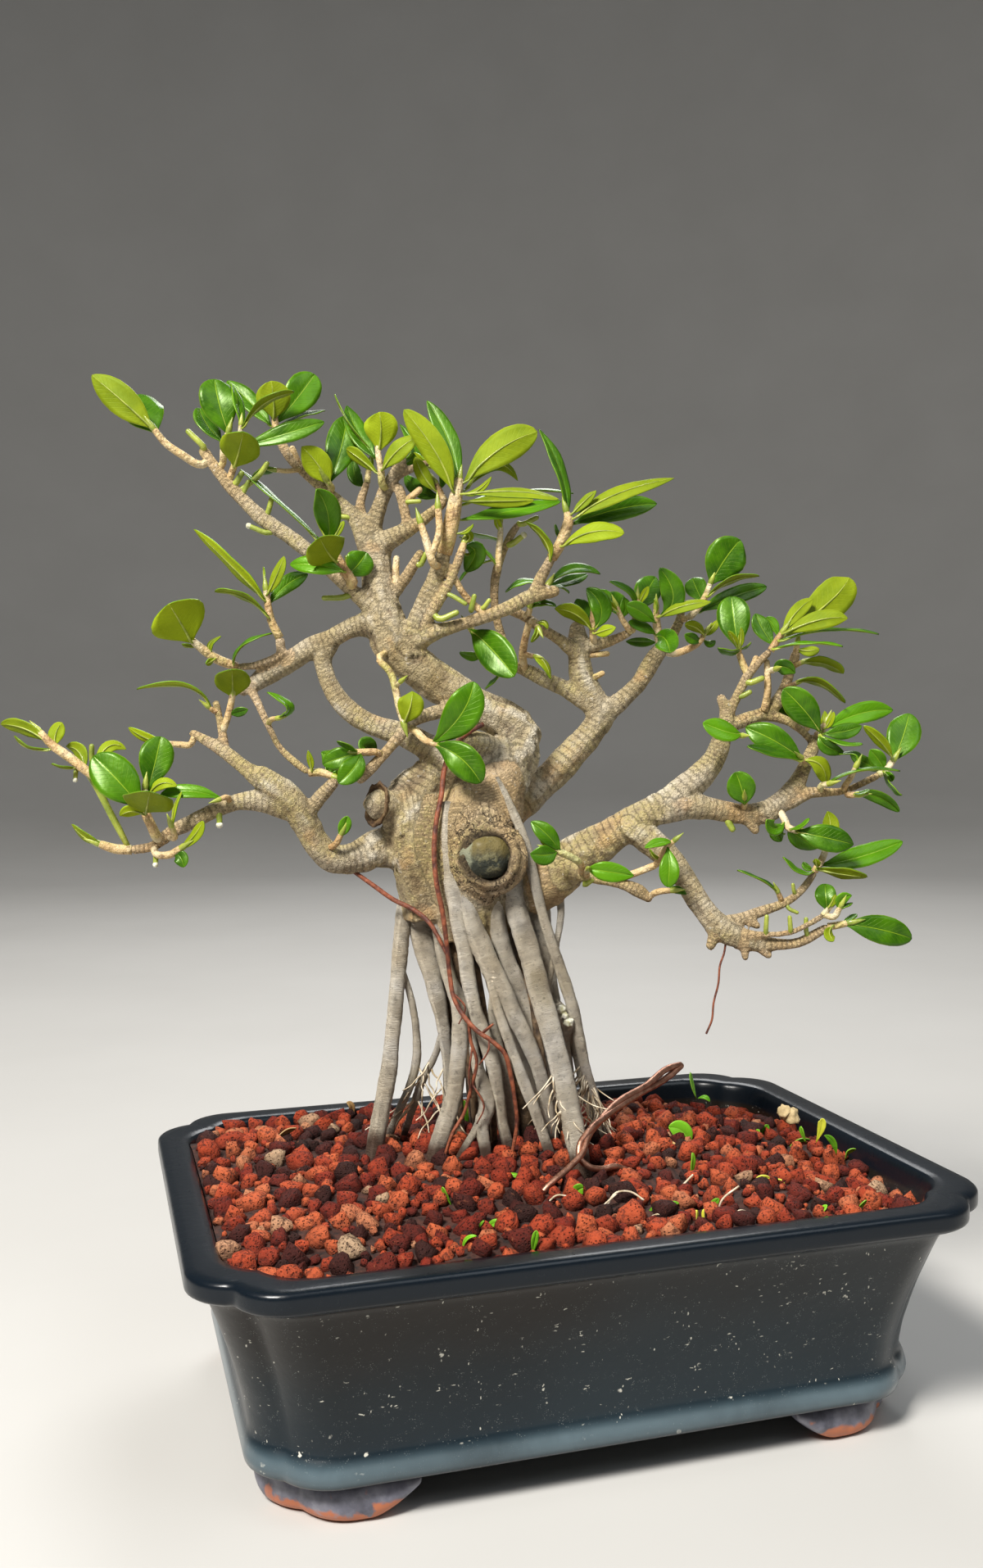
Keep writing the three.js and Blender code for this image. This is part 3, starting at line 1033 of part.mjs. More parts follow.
function shoot({ stems, leaves }) {
  const lines = stemLines(stems);
  const tubes = lines.map((centres, i) => {
    const radii = radiiOf(stems[i]);
    if (radii.length < centres.length) radii.unshift(radii[0]);
    return limbAlong(centres, radii);
  });
  const blades = leaves.map((blade) => leaf(blade, nearestOn(lines, spot(...blade[0]))));
  return joined([...tubes, ...blades]);
}

// The knot on the trunk's face: a bark collar round the domed scar of an old limb
function knot() {
  const collar = new THREE.SphereGeometry(1, 8, 5).scale(...COLLAR_HALF_SIZE);
  const scar = new THREE.SphereGeometry(1, 7, 5).scale(...SCAR_HALF_SIZE);
  const facing = new THREE.Matrix4().makeRotationZ(-YAW);
  collar.applyMatrix4(facing).translate(...spot(...COLLAR_PLACE));
  scar.applyMatrix4(facing).translate(...spot(...SCAR_PLACE));
  return solidOf(collar).add(solidOf(scar));
}

// The pot's outline at an inset from the rim, counter-clockwise from the middle of the right side.
// bluntness 0 gives the notched corner and 1 a plain round one.
function outline(inset, bluntness) {
  const halfLength = RIM_HALF_LENGTH - inset;
  const halfWidth = RIM_HALF_WIDTH - inset;
  const quarter = [];
  const lobe = (fromRight, fromBack, start, stop, first) => {
    for (let i = 0; i <= CORNER_STEPS; i++) {
      const share = i / CORNER_STEPS;
      const angle = THREE.MathUtils.degToRad(THREE.MathUtils.lerp(start, stop, share));
      const plain = THREE.MathUtils.degToRad(45 * (share + first));
      const x = halfLength - fromRight + CORNER_RADIUS * Math.cos(angle);
      const y = halfWidth - fromBack + CORNER_RADIUS * Math.sin(angle);
      const plainX = halfLength - ROUND_CORNER + ROUND_CORNER * Math.cos(plain);
      const plainY = halfWidth - ROUND_CORNER + ROUND_CORNER * Math.sin(plain);
      const lerp = THREE.MathUtils.lerp;
      quarter.push([lerp(x, plainX, bluntness), lerp(y, plainY, bluntness)]);
    }
  };
  lobe(CORNER_RADIUS, CORNER_REACH, 0, 90 - CUSP_ANGLE, 0);
  quarter.pop();
  lobe(CORNER_REACH, CORNER_RADIUS, CUSP_ANGLE, 90, 1);
  const mirrored = [...quarter].reverse();
  return [
    ...quarter,
    ...mirrored.map(([x, y]) => [-x, y]),
    ...quarter.map(([x, y]) => [-x, -y]),
    ...mirrored.map(([x, y]) => [x, -y]),
  ];
}

// A closed loft over the outline. A profile's row is [inset, height, bluntness]; the first and the
// last row close on the axis.
function loft(profile) {
  const rings = profile.map(([inset, , bluntness]) => outline(inset, bluntness));
  const columns = rings[0].length;
  const rows = profile.length + 2;
  const flat = Array.from({ length: rows }, (_, row) => new THREE.Vector2(1, row));
  const lathe = moveCorners(new THREE.LatheGeometry(flat, columns), (corner, i) => {
    const row = i % rows;
    const column = Math.floor(i / rows) % columns;
    const ring = THREE.MathUtils.clamp(row - 1, 0, profile.length - 1);
    const onAxis = row === 0 || row === rows - 1;
    const [x, y] = onAxis ? [0, 0] : rings[ring][column];
    corner.set(x, y, profile[ring][1]);
  });
  return solidOf(lathe);
}

const OUTSIDE = [
  [25, BODY_BOTTOM, 0.7],
  [21, 16.5, 0.5],
  [20.8, 21, 0.5],
  [22, 25, 0.5],
  [20.6, 37, 0.45],
  [16.6, 54, 0.3],
  [10.6, 72, 0.15],
  [6.6, 82, 0.1],
  [1.6, 84, 0],
  [0, 85.6, 0],
  [0, 91, 0],
  [1.4, RIM_TOP, 0],
];
const INSIDE = [
  [FLANGE_WIDTH - 1, RIM_TOP - 0.2, 0.35],
  [FLANGE_WIDTH + 0.6, RIM_TOP - 2, 0.4],
  [15, 82, 0.45],
  [24, 50, 0.55],
  [33, FLOOR_TOP, 0.8],
];

function footArm(length) {
  const top = BODY_BOTTOM + FOOT_SINK;
  const side = new THREE.Shape();
  side.moveTo(0, top);
  side.lineTo(0, top - 2.6);
  side.bezierCurveTo(7, top - 3.2, 9, 8, 12, 4.5);
  side.quadraticCurveTo(15, 0, 19, 0);
  side.lineTo(length, 0);
  side.lineTo(length, top);
  const arm = new THREE.ExtrudeGeometry(side, {
    depth: FOOT_THICKNESS,
    bevelEnabled: false,
    curveSegments: 3,
  });
  return arm.rotateX(Math.PI / 2);
}

function foot() {
  const front = footArm(FOOT_LENGTH);
  const cornerX = RIM_HALF_LENGTH - FOOT_INSET;
  const cornerY = RIM_HALF_WIDTH - FOOT_INSET;
  front.translate(cornerX - FOOT_LENGTH, -cornerY + FOOT_THICKNESS, 0);
  const side = footArm(FOOT_SIDE_LENGTH);
  side.rotateZ(-Math.PI / 2).translate(cornerX - FOOT_THICKNESS, -cornerY + FOOT_SIDE_LENGTH, 0);
  const footprint = loft([
    [FOOT_INSET + 1.4, -1, 0.3],
    [FOOT_INSET + 1.4, 0, 0.3],
    [FOOT_INSET - 1.4, 5, 0.3],
    [FOOT_INSET - 0.6, 10, 0.3],
    [FOOT_INSET + 0.6, BODY_BOTTOM + FOOT_SINK + 1, 0.3],
  ]);
  return solidOf(front).add(solidOf(side)).intersect(footprint);
}

function pot() {
  const corner = foot();
  const feet = [1, -1].flatMap((x) => [1, -1].map((y) => turnedOver(corner, x, y)));
  const drains = [-1, 1].map((side) => {
    const hole = new THREE.CylinderGeometry(DRAIN_RADIUS, DRAIN_RADIUS, 2 * FLOOR_TOP, 16);
    return solidOf(hole.rotateX(Math.PI / 2).translate(side * DRAIN_OFFSET, 0, FLOOR_TOP));
  });
  return joined([loft([...OUTSIDE, ...INSIDE]), ...feet]).subtract(joined(drains));
}

// A moulded plastic grid over a drainage hole, its square openings in slightly turned rows
function drainMesh(side) {
  const half = MESH_SIZE / 2;
  const plate = new THREE.Shape();
  plate.moveTo(-half, -half).lineTo(half, -half).lineTo(half, half).lineTo(-half, half);
  const halfHole = MESH_HOLE / 2;
  for (let row = -1; row <= 1; row++) {
    for (let column = -1; column <= 1; column++) {
      const x = column * MESH_PITCH + row * MESH_SKEW;
      const y = row * MESH_PITCH - column * MESH_SKEW;
      const hole = new THREE.Path();
      hole.moveTo(x - halfHole, y - halfHole).lineTo(x - halfHole, y + halfHole);
      hole.lineTo(x + halfHole, y + halfHole).lineTo(x + halfHole, y - halfHole);
      plate.holes.push(hole);
    }
  }
  const mesh = new THREE.ExtrudeGeometry(plate, { depth: MESH_THICKNESS, bevelEnabled: false });
  return solidOf(mesh.translate(side * DRAIN_OFFSET, 0, FLOOR_TOP + GAP));
}

// The soil's height: heaped round the trunk, and lower at the right and at the back right
function soilHeight(x, y) {
  const { smoothstep } = THREE.MathUtils;
  const along = (x - HEAP_CENTRE[0]) / HEAP_REACH[0];
  const across = (y - HEAP_CENTRE[1]) / HEAP_REACH[1];
  const heap = HEAP_HEIGHT * Math.exp(-(along ** 2) - across ** 2);
  const right = RIGHT_FALL * smoothstep(x, ...RIGHT_FALL_SPAN);
  const back = BACK_FALL * smoothstep(y, ...BACK_FALL_SPAN) * smoothstep(x, ...BACK_FALL_ACROSS);
  return SOIL_LEVEL + heap - right - back;
}

// A seeded draw between -1 and 1 for each lump of the soil's surface
function draw(column, row) {
  const wave = Math.sin(column * 127.1 + row * 311.7 + 7) * 43758.5453;
  return 2 * (wave - Math.floor(wave)) - 1;
}

function soil() {
  const columns = Math.round((2 * RIM_HALF_LENGTH) / SOIL_CELL);
  const rows = Math.round((2 * RIM_HALF_WIDTH) / SOIL_CELL);
  const block = new THREE.BoxGeometry(
    2 * RIM_HALF_LENGTH,
    2 * RIM_HALF_WIDTH,
    RIM_TOP,
    columns,
    rows,
    1,
  );
  moveCorners(block.translate(0, 0, RIM_TOP / 2), (corner) => {
    if (corner.z < 1) return;
    const { x, y } = corner;
    const column = Math.round(x / SOIL_CELL);
    const row = Math.round(y / SOIL_CELL);
    corner.z = soilHeight(x, y) + LUMP_HEIGHT * draw(column, row);
    corner.x += LUMP_SHIFT * draw(row, column + 50);
    corner.y += LUMP_SHIFT * draw(column + 90, row);
  });
  const hollow = INSIDE.map(([inset, height, bluntness]) => [inset + GAP, height, bluntness]);
  hollow[hollow.length - 1][1] += GAP;
  hollow.unshift([FLANGE_WIDTH + GAP, 2 * RIM_TOP, hollow[0][2]]);
  const recess = MESH_SIZE + 2 * GAP;
  const recesses = [-1, 1].map((side) => {
    const room = new THREE.BoxGeometry(recess, recess, 2 * (MESH_THICKNESS + 2 * GAP));
    return solidOf(room.translate(side * DRAIN_OFFSET, 0, FLOOR_TOP));
  });
  return solidOf(block).intersect(loft(hollow.reverse())).subtract(joined(recesses));
}

// Every piece, cut clear of those that pass through it
const limbs = (grow) => Object.values(LIMBS).map((points) => limb(points, grow));
const roots = (grow) => Object.values(ROOTS).map((points) => rootLimb(points, grow));
const redRoots = (grow) => [
  rootLimb(RED_ROOTS.long, grow),
  limb(RED_ROOTS.cross, grow),
  rootLimb(RED_ROOTS.drop, grow),
];
const wires = (grow) => Object.values(TIE_WIRE).map((points) => limb(points, grow));

const wood = joined([...limbs(0), ...roots(0), knot()]);
const woodRoom = joined([...limbs(GAP), ...roots(GAP), knot()]);
const redRoom = joined(redRoots(GAP));
const wireRoom = joined(wires(GAP));
const woodLeaves = joined(Object.values(LEAVES_ON_WOOD).map(shoot));

const solids = new Map();
solids.set("pot", [pot(), "glaze"]);
solids.set("drain_mesh_left", [drainMesh(-1), "mesh"]);
solids.set("drain_mesh_right", [drainMesh(1), "mesh"]);
solids.set("soil", [soil().subtract(woodRoom).subtract(redRoom).subtract(wireRoom), "gravel"]);
solids.set("trunk", [wood.add(woodLeaves).subtract(redRoom), "bark"]);
solids.set("red_roots", [joined(redRoots(0)), "red_root"]);
solids.set("tie_wire", [joined(wires(0)), "copper"]);
for (const [name, parts] of Object.entries(SPRAYS)) {
  solids.set(name, [shoot(parts).subtract(woodRoom), "leaf"]);
}

const FINISHES = {
  glaze: { color: 0x232b35, roughness: 0.25, metalness: 0 },
  mesh: { color: 0x1d1f1e, roughness: 0.7, metalness: 0 },
  gravel: { color: 0x98402a, roughness: 0.95, metalness: 0 },
  bark: { color: 0xa89a80, roughness: 0.85, metalness: 0 },
  red_root: { color: 0x7b3222, roughness: 0.7, metalness: 0 },
  copper: { color: 0x8d5c45, roughness: 0.45, metalness: 1 },
  leaf: { color: 0x4f7d28, roughness: 0.4, metalness: 0 },
};

const bonsai = new THREE.Group();
const box = new THREE.Box3();
for (const [name, [solid, finish]] of solids) {
  const material = new THREE.MeshStandardMaterial(FINISHES[finish]);
  const mesh = new THREE.Mesh(geometryOf(largest(solid)), material);
  mesh.name = name;
  bonsai.add(mesh);
  box.expandByObject(mesh);
}

// The origin is under the middle of the whole tree and pot
const middle = box.getCenter(new THREE.Vector3());
bonsai.position.set(-middle.x, -middle.y, -box.min.z);

export default bonsai;
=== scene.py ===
# %% [markdown]
# # A Chinese banyan bonsai
# A small fig tree, trained for years, stands in red lava gravel in a dark glazed pot. The packed
# model already holds every piece at its real size. This notebook dresses it: it grows round limbs,
# veined leaves, single stones and a glaze on that frame, and lights it for a portrait.

# %% Load the frame
import json
import math
import random
from types import SimpleNamespace

import bmesh
import bpy
import numpy as np
from mathutils import Matrix, Vector, noise
from mathutils.bvhtree import BVHTree
from mathutils.kdtree import KDTree

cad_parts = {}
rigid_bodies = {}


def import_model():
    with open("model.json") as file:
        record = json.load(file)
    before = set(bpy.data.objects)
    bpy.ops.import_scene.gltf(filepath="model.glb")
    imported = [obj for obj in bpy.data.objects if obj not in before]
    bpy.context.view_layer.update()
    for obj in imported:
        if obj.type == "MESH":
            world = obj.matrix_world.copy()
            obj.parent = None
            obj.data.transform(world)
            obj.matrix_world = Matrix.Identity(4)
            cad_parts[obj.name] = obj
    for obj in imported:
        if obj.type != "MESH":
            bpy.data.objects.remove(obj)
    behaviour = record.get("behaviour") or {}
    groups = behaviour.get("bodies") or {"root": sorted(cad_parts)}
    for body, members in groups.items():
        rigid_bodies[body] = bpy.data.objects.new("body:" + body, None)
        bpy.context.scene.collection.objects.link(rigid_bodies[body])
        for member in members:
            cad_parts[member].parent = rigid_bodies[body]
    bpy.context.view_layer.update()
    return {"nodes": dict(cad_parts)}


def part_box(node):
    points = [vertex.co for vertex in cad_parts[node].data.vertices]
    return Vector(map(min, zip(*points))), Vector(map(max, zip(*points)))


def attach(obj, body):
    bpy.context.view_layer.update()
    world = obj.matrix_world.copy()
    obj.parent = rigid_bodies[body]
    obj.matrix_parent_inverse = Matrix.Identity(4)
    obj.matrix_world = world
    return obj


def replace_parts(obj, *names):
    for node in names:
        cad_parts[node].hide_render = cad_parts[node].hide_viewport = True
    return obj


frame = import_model()
MM = 0.001
TURN = 2 * math.pi
print("nodes in the frame:", len(frame["nodes"]))

# %% [markdown]
# ## Where the eye stands
# The limbs and leaves are listed by where they show in a picture 1200 wide and 1914 high, with
# how far each point stands towards the eye. One small model of the eye turns such a point into a
# place in space, so the same numbers serve the tree, its leaves and the camera at the end.

# %% The eye and its picture
WIDE, HIGH = 1200, 1914
CENTRE_ACROSS, CENTRE_DOWN = WIDE / 2, HIGH / 2
FOCAL = 1672
TREE_DEPTH = 575 * MM
YAW, PITCH, ROLL = (math.radians(angle) for angle in (16.6, 1.85, -0.5))

pot_low, pot_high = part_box("pot")
POT_MIDDLE = Vector(((pot_low.x + pot_high.x) / 2, (pot_low.y + pot_high.y) / 2, 0))
EYE = POT_MIDDLE + Vector((-178.5, -532.6, 264.7)) * MM
LEVEL_AHEAD = Vector((math.sin(YAW), math.cos(YAW), 0))
AHEAD = LEVEL_AHEAD * math.cos(PITCH) - Vector((0, 0, math.sin(PITCH)))
RIGHT = Matrix.Rotation(-ROLL, 3, AHEAD) @ Vector((math.cos(YAW), -math.sin(YAW), 0))
UPWARD = RIGHT.cross(AHEAD)
print("the eye is", round((EYE - POT_MIDDLE).length, 3), "m from the pot's middle")

# %% From the picture into space
def spot(across, down, toward):
    """The place that a pixel and a distance in mm towards the eye stand for"""
    side = RIGHT * ((across - CENTRE_ACROSS) / FOCAL)
    rise = UPWARD * ((CENTRE_DOWN - down) / FOCAL)
    return EYE + (AHEAD + side + rise) * (TREE_DEPTH - toward * MM)


def span(pixels, toward):
    """A width in pixels, in metres"""
    return pixels * (TREE_DEPTH - toward * MM) / FOCAL


print("100 pixels at the trunk are", round(span(100, 0) / MM, 1), "mm")

# %% [markdown]
# ## The tree's lists
# A limb is a list of points, four numbers each: pixels across, pixels down, mm towards the eye, and
# width in pixels. The same lists shaped the plain solids, so the fine pieces lie on them.

# %% Limbs
LIMBS = {
  "trunk": [578,1140,-4,88, 577,1090,0,112, 577,1040,3,122, 588,990,4,108, 606,953,2,80, 626,922,-1,64,
    636,900,-3,52],
  "shoulder": [520,1120,0,56, 515,1065,2,70, 508,1015,4,84, 508,978,3,76, 522,952,2,52],
  "cut_stub": [502,986,5,50, 480,986,10,44, 463,983,15,38],
  "upper_trunk": [640,906,-3,50, 624,884,-3,50, 588,866,-2,45, 548,842,0,46, 512,815,2,47, 482,788,4,50,
    466,764,4,44],
  "front_stump": [604,916,4,34, 580,908,9,31, 567,905,12,25],
  "leader": [484,792,4,44, 472,755,4,44, 461,715,2,40, 459,685,0,38, 455,660,-2,38, 447,640,-3,26],
  "leader_left": [452,662,-2,34, 437,637,-3,22, 420,618,-3,18, 398,598,-2,15, 372,576,-2,14,
    354,558,-1,14, 344,543,-1,12],
  "leader_left_stub": [366,570,-1,9, 357,548,0,8],
  "leader_mid": [442,636,-5,16, 440,614,-6,12, 447,592,-7,10],
  "leader_right": [452,650,-1,28, 462,622,0,20, 471,600,1,19, 481,582,2,18, 488,568,3,16, 490,556,3,14],
  "leader_fork": [482,582,2,13, 500,574,1,10, 516,567,0,9, 528,564,0,8],
  "leader_knuckle": [462,668,0,32, 482,655,3,24, 505,643,5,18, 522,630,6,15, 540,614,7,12],
  "leader_curl": [476,656,2,18, 496,642,4,14, 493,618,4,13, 487,597,4,14],
  "leader_curl_stub": [494,614,4,10, 512,598,4,8],
  "side_shoot": [474,730,3,20, 490,712,4,16, 502,695,5,15, 513,676,6,12],
  "side_shoot_b": [484,716,4,10, 483,696,4,9, 484,682,4,8],
  "crown_stem": [500,784,6,26, 510,756,7,24, 521,730,8,22, 533,704,9,21, 541,680,10,20],
  "crown_stem_b": [514,768,8,16, 532,740,11,15, 546,718,12,13, 555,698,12,12, 562,677,12,12],
  "crown_bridge": [554,704,11,9, 564,722,10,8, 578,738,8,9, 594,750,7,9],
  "right_branch": [492,790,5,34, 528,773,7,22, 560,763,7,17, 590,753,7,17, 620,742,6,17, 645,729,5,18,
    676,721,4,15],
  "right_branch_shoot": [650,727,5,16, 662,702,6,15, 672,684,7,14],
  "upright": [632,818,-16,9, 618,790,-12,10, 609,765,-10,11, 604,735,-8,11, 606,700,-6,12,
    614,674,-5,10, 622,656,-5,10, 631,642,-4,9],
  "cross_twig": [702,796,-18,20, 682,780,-15,16, 660,767,-12,14, 640,753,-9,13, 620,744,-4,12],
  "cross_twig_drop": [646,760,-9,9, 641,780,-11,9, 638,800,-14,10, 640,818,-18,10],
  "centre_limb": [600,1008,-10,46, 640,974,-14,42, 672,947,-17,38, 700,918,-20,36, 724,892,-22,34,
    738,866,-22,34],
  "centre_up": [737,880,-22,34, 723,853,-22,33, 711,825,-21,30, 707,800,-20,27, 706,782,-20,26,
    704,768,-20,20],
  "centre_low_left": [722,862,-22,24, 697,845,-21,22, 668,832,-20,20, 645,820,-19,17, 626,813,-18,12],
  "centre_right": [736,874,-22,26, 758,856,-22,24, 778,835,-22,22, 795,808,-22,22, 806,792,-22,20],
  "centre_right_up": [802,800,-22,18, 820,776,-22,14, 830,757,-22,12, 832,748,-22,10],
  "knuckle_right": [703,789,-20,22, 730,787,-18,17, 752,780,-17,13, 768,772,-16,10],
  "knuckle_stub": [708,800,-20,9, 741,798,-18,7],
  "centre_stub": [716,832,-20,9, 735,822,-18,7],
  "right_limb": [640,1095,2,56, 668,1074,5,64, 696,1054,7,56, 724,1034,9,48, 755,1015,11,42,
    785,997,13,38, 815,982,13,34],
  "right_up": [806,986,13,32, 840,958,12,34, 862,938,11,32, 875,918,10,26, 882,897,10,22, 886,880,9,18,
    884,864,8,13, 880,853,8,12],
  "right_up_diag": [886,880,8,14, 895,860,8,13, 905,840,9,13, 915,822,10,13, 927,808,11,11, 938,797,12,9],
  "right_up_twig": [914,826,10,9, 907,811,9,9, 903,800,8,8],
  "right_up_stub": [918,818,10,9, 923,804,11,8],
  "right_back": [882,892,9,16, 905,881,6,18, 930,872,4,18, 948,857,3,18, 958,838,2,14, 965,816,1,12,
    971,799,1,11],
  "right_back_twig": [933,868,6,10, 937,846,8,9, 937,826,9,8, 936,808,9,7],
  "right_back_low": [930,873,4,16, 960,880,4,12, 978,892,5,10, 994,908,7,10],
  "right_low": [800,990,13,38, 840,983,13,32, 875,988,12,26, 905,993,11,26, 935,991,11,28,
    955,978,10,26, 972,957,10,20, 981,938,9,17, 990,918,8,16, 997,901,8,13],
  "right_low_knob": [912,996,11,20, 922,1013,12,12],
  "right_tip": [942,990,10,20, 968,978,11,18, 990,968,11,15, 1010,967,12,12, 1030,965,13,10,
    1050,957,14,9, 1070,947,15,9],
  "right_down": [770,1008,14,36, 800,1032,16,32, 822,1052,18,30, 840,1078,20,28, 855,1103,22,28,
    872,1126,24,30, 895,1142,25,30, 922,1150,26,22, 950,1152,27,14, 975,1150,28,12, 992,1142,29,12,
    1008,1133,30,10],
  "right_down_fork": [874,1130,24,20, 905,1122,22,16, 930,1112,20,14, 955,1103,19,11, 972,1092,18,10,
    985,1078,18,10, 992,1067,18,9],
  "right_down_inner": [900,1140,27,14, 935,1141,30,8, 965,1138,31,8, 985,1129,32,8, 1002,1119,33,8],
  "right_down_knob_a": [874,1136,24,16, 868,1154,25,13],
  "right_down_knob_b": [908,1148,26,14, 910,1169,27,9],
  "right_down_knob_c": [922,1150,26,16, 938,1166,27,10],
  "right_down_spur": [905,1122,22,12, 924,1130,23,10],
  "right_front": [690,1062,16,24, 730,1072,20,16, 760,1079,21,14, 780,1087,22,18, 791,1095,22,13],
  "right_front_twig": [752,1074,22,10, 780,1064,24,9, 798,1057,25,9],
  "left_low": [505,1035,0,62, 465,1036,4,50, 435,1047,8,40, 408,1048,11,36, 387,1030,14,34,
    373,1004,17,34, 357,981,20,36, 335,962,22,34, 319,948,23,28],
  "left_low_up": [325,956,23,26, 300,938,23,20, 280,922,22,18, 258,908,21,15, 236,896,20,11],
  "left_low_up_twig": [274,916,21,14, 271,892,20,11, 267,872,19,10, 264,859,19,10],
  "left_low_far": [352,986,20,34, 318,978,21,28, 290,980,22,22, 262,990,23,20, 235,1003,24,19,
    212,1014,25,17, 196,1024,26,14],
  "left_low_far_end": [204,1022,26,14, 185,1033,26,13, 164,1037,26,12],
  "left_low_stub": [375,992,18,20, 392,972,19,18, 406,957,20,16],
  "loop_limb": [566,950,3,44, 537,925,3,36, 508,905,3,33, 480,893,3,28, 452,883,3,27, 428,868,2,26,
    410,848,2,24, 398,825,1,23, 394,805,0,23, 402,786,0,24],
  "left_branch": [490,786,4,44, 456,763,3,36, 430,767,2,26, 405,780,1,24, 380,790,0,26, 355,806,0,26,
    330,820,0,27, 308,836,1,20, 297,843,1,14],
  "left_branch_up": [354,806,2,13, 344,795,4,12, 342,783,4,13],
  "left_branch_left": [347,797,4,11, 328,806,5,10, 308,813,5,10, 292,814,5,9],
  "hanging_twig": [306,840,2,12, 318,864,4,10, 328,886,6,9, 341,912,8,9, 358,929,9,10, 374,941,10,9],
  "upper_left": [484,774,4,34, 455,743,5,23, 432,722,6,19, 408,700,7,17, 380,676,8,18, 352,655,8,19,
    322,634,8,19, 298,612,8,17, 280,592,8,16, 266,575,8,14, 249,551,8,13],
  "grey_twig": [556,864,4,18, 524,872,9,18, 505,880,12,16, 487,900,14,15, 468,922,16,13, 451,940,17,14,
    440,951,17,13],
}
print(len(LIMBS), "limbs")

# %% Pillar roots, and the old roots behind them
ROOTS = {
  "root_far_left": [508,1070,0,30, 496,1100,0,22, 490,1140,0,20, 486,1190,0,19, 480,1250,0,19,
    473,1310,0,20, 466,1355,0,21, 460,1395,0,22],
  "root_left_thin": [492,1185,-2,8, 503,1222,-4,9, 508,1260,-6,10, 508,1295,-8,11, 499,1328,-10,10,
    488,1352,-12,10, 478,1376,-14,10],
  "root_left_back": [540,1262,-6,9, 530,1292,-9,9, 517,1315,-12,11, 508,1340,-15,10, 500,1364,-18,9],
  "root_left": [520,1070,-2,34, 514,1118,-2,30, 521,1165,-2,27, 532,1210,-3,22, 540,1250,-5,16,
    545,1292,-7,13, 547,1335,-9,12, 543,1372,-11,12],
  "root_left_pale": [533,1120,4,16, 541,1160,5,18, 550,1198,6,18, 560,1226,7,20, 561,1262,8,22,
    558,1300,8,21, 554,1336,8,21, 543,1370,8,21, 535,1398,8,21],
  "root_front": [548,980,15,16, 547,1030,18,18, 553,1075,17,24, 559,1120,16,23, 566,1160,15,19,
    572,1200,14,18, 580,1235,13,18, 592,1266,12,18, 603,1298,11,18, 609,1334,9,16, 614,1372,6,14,
    620,1396,4,13],
  "root_front_b": [563,1078,16,22, 576,1125,16,25, 592,1165,15,26, 608,1200,14,26, 625,1236,12,24,
    642,1270,10,20, 656,1304,7,17, 666,1340,4,15, 674,1378,0,14],
  "root_front_c": [596,1184,16,10, 606,1225,17,12, 617,1260,17,13, 629,1294,17,14, 641,1326,16,15,
    653,1358,14,14, 666,1396,12,13],
  "root_mid": [600,1080,12,28, 604,1118,11,26, 613,1152,9,22, 626,1188,7,20, 641,1224,4,18,
    655,1260,1,18, 666,1296,-2,17, 674,1334,-5,14, 680,1368,-8,13],
  "root_right_big": [622,1070,10,32, 632,1115,12,27, 645,1160,14,28, 656,1200,16,28, 667,1240,18,27,
    678,1282,20,26, 688,1324,22,25, 698,1366,24,26, 707,1408,26,25],
  "root_right_green": [652,1076,3,34, 656,1120,0,32, 662,1160,-2,27, 670,1200,-4,20, 680,1240,-6,15,
    690,1282,-9,12, 697,1322,-12,10, 704,1358,-15,10],
  "root_right_thin": [606,950,15,9, 624,985,18,11, 640,1025,18,12, 651,1070,17,13, 660,1110,14,13,
    672,1150,10,13, 686,1190,6,14, 699,1228,3,15, 708,1268,0,14, 716,1308,-4,13, 727,1345,-8,12,
    737,1380,-11,12],
  "root_right_spur": [684,1090,5,10, 685,1118,6,9, 680,1150,7,8, 676,1170,6,8],
  "root_knob": [672,1218,-3,14, 684,1234,1,20, 694,1250,1,19, 691,1266,-3,12, 694,1304,-7,9,
    700,1345,-11,8],
  "root_back_right": [692,1243,-1,9, 704,1292,-9,9, 713,1330,-13,10, 725,1364,-16,9],
  "root_fork": [574,1236,5,10, 577,1268,7,11, 582,1298,9,14, 590,1326,10,19, 594,1350,10,20,
    588,1374,11,17, 592,1404,12,15],
  "root_fork_toe": [590,1364,11,13, 577,1386,12,10, 566,1404,13,9],
  "root_mid_thin": [604,1204,11,11, 602,1240,7,12, 610,1284,3,12, 619,1326,1,12, 624,1366,-2,10,
    629,1386,-4,10],
  "root_mid_back": [627,1224,9,12, 624,1250,3,14, 639,1298,0,16, 650,1340,-4,15, 658,1374,-8,13],
  "root_rear_left": [560,1085,-10,34, 556,1150,-14,26, 562,1220,-18,22, 574,1290,-23,20, 584,1372,-28,18],
  "root_rear_right": [618,1085,-10,36, 628,1150,-14,28, 640,1220,-18,24, 650,1290,-23,20,
    656,1372,-28,18],
}
INNER_ROOTS = (
    ((556,1090,2,26), (562,1170,-2,26), (572,1240,-6,24), (580,1310,-10,22), (590,1390,-12,20)),
    ((596,1100,2,30), (606,1190,-3,30), (622,1260,-8,28), (634,1330,-12,26), (644,1392,-14,22)),
    ((632,1110,0,26), (646,1200,-6,24), (660,1280,-12,22), (676,1340,-14,18), (688,1386,-16,16)),
    ((530,1090,-6,18), (534,1180,-10,16), (548,1260,-12,15), (556,1320,-14,14), (562,1384,-16,12)),
    ((576,1150,8,11), (588,1220,6,10), (596,1290,3,10), (600,1350,1,9), (603,1396,0,8)),
    ((640,1160,8,10), (652,1240,5,10), (664,1310,3,9), (676,1390,0,8)),
)
print(len(ROOTS), "pillar roots and", len(INNER_ROOTS), "behind them")

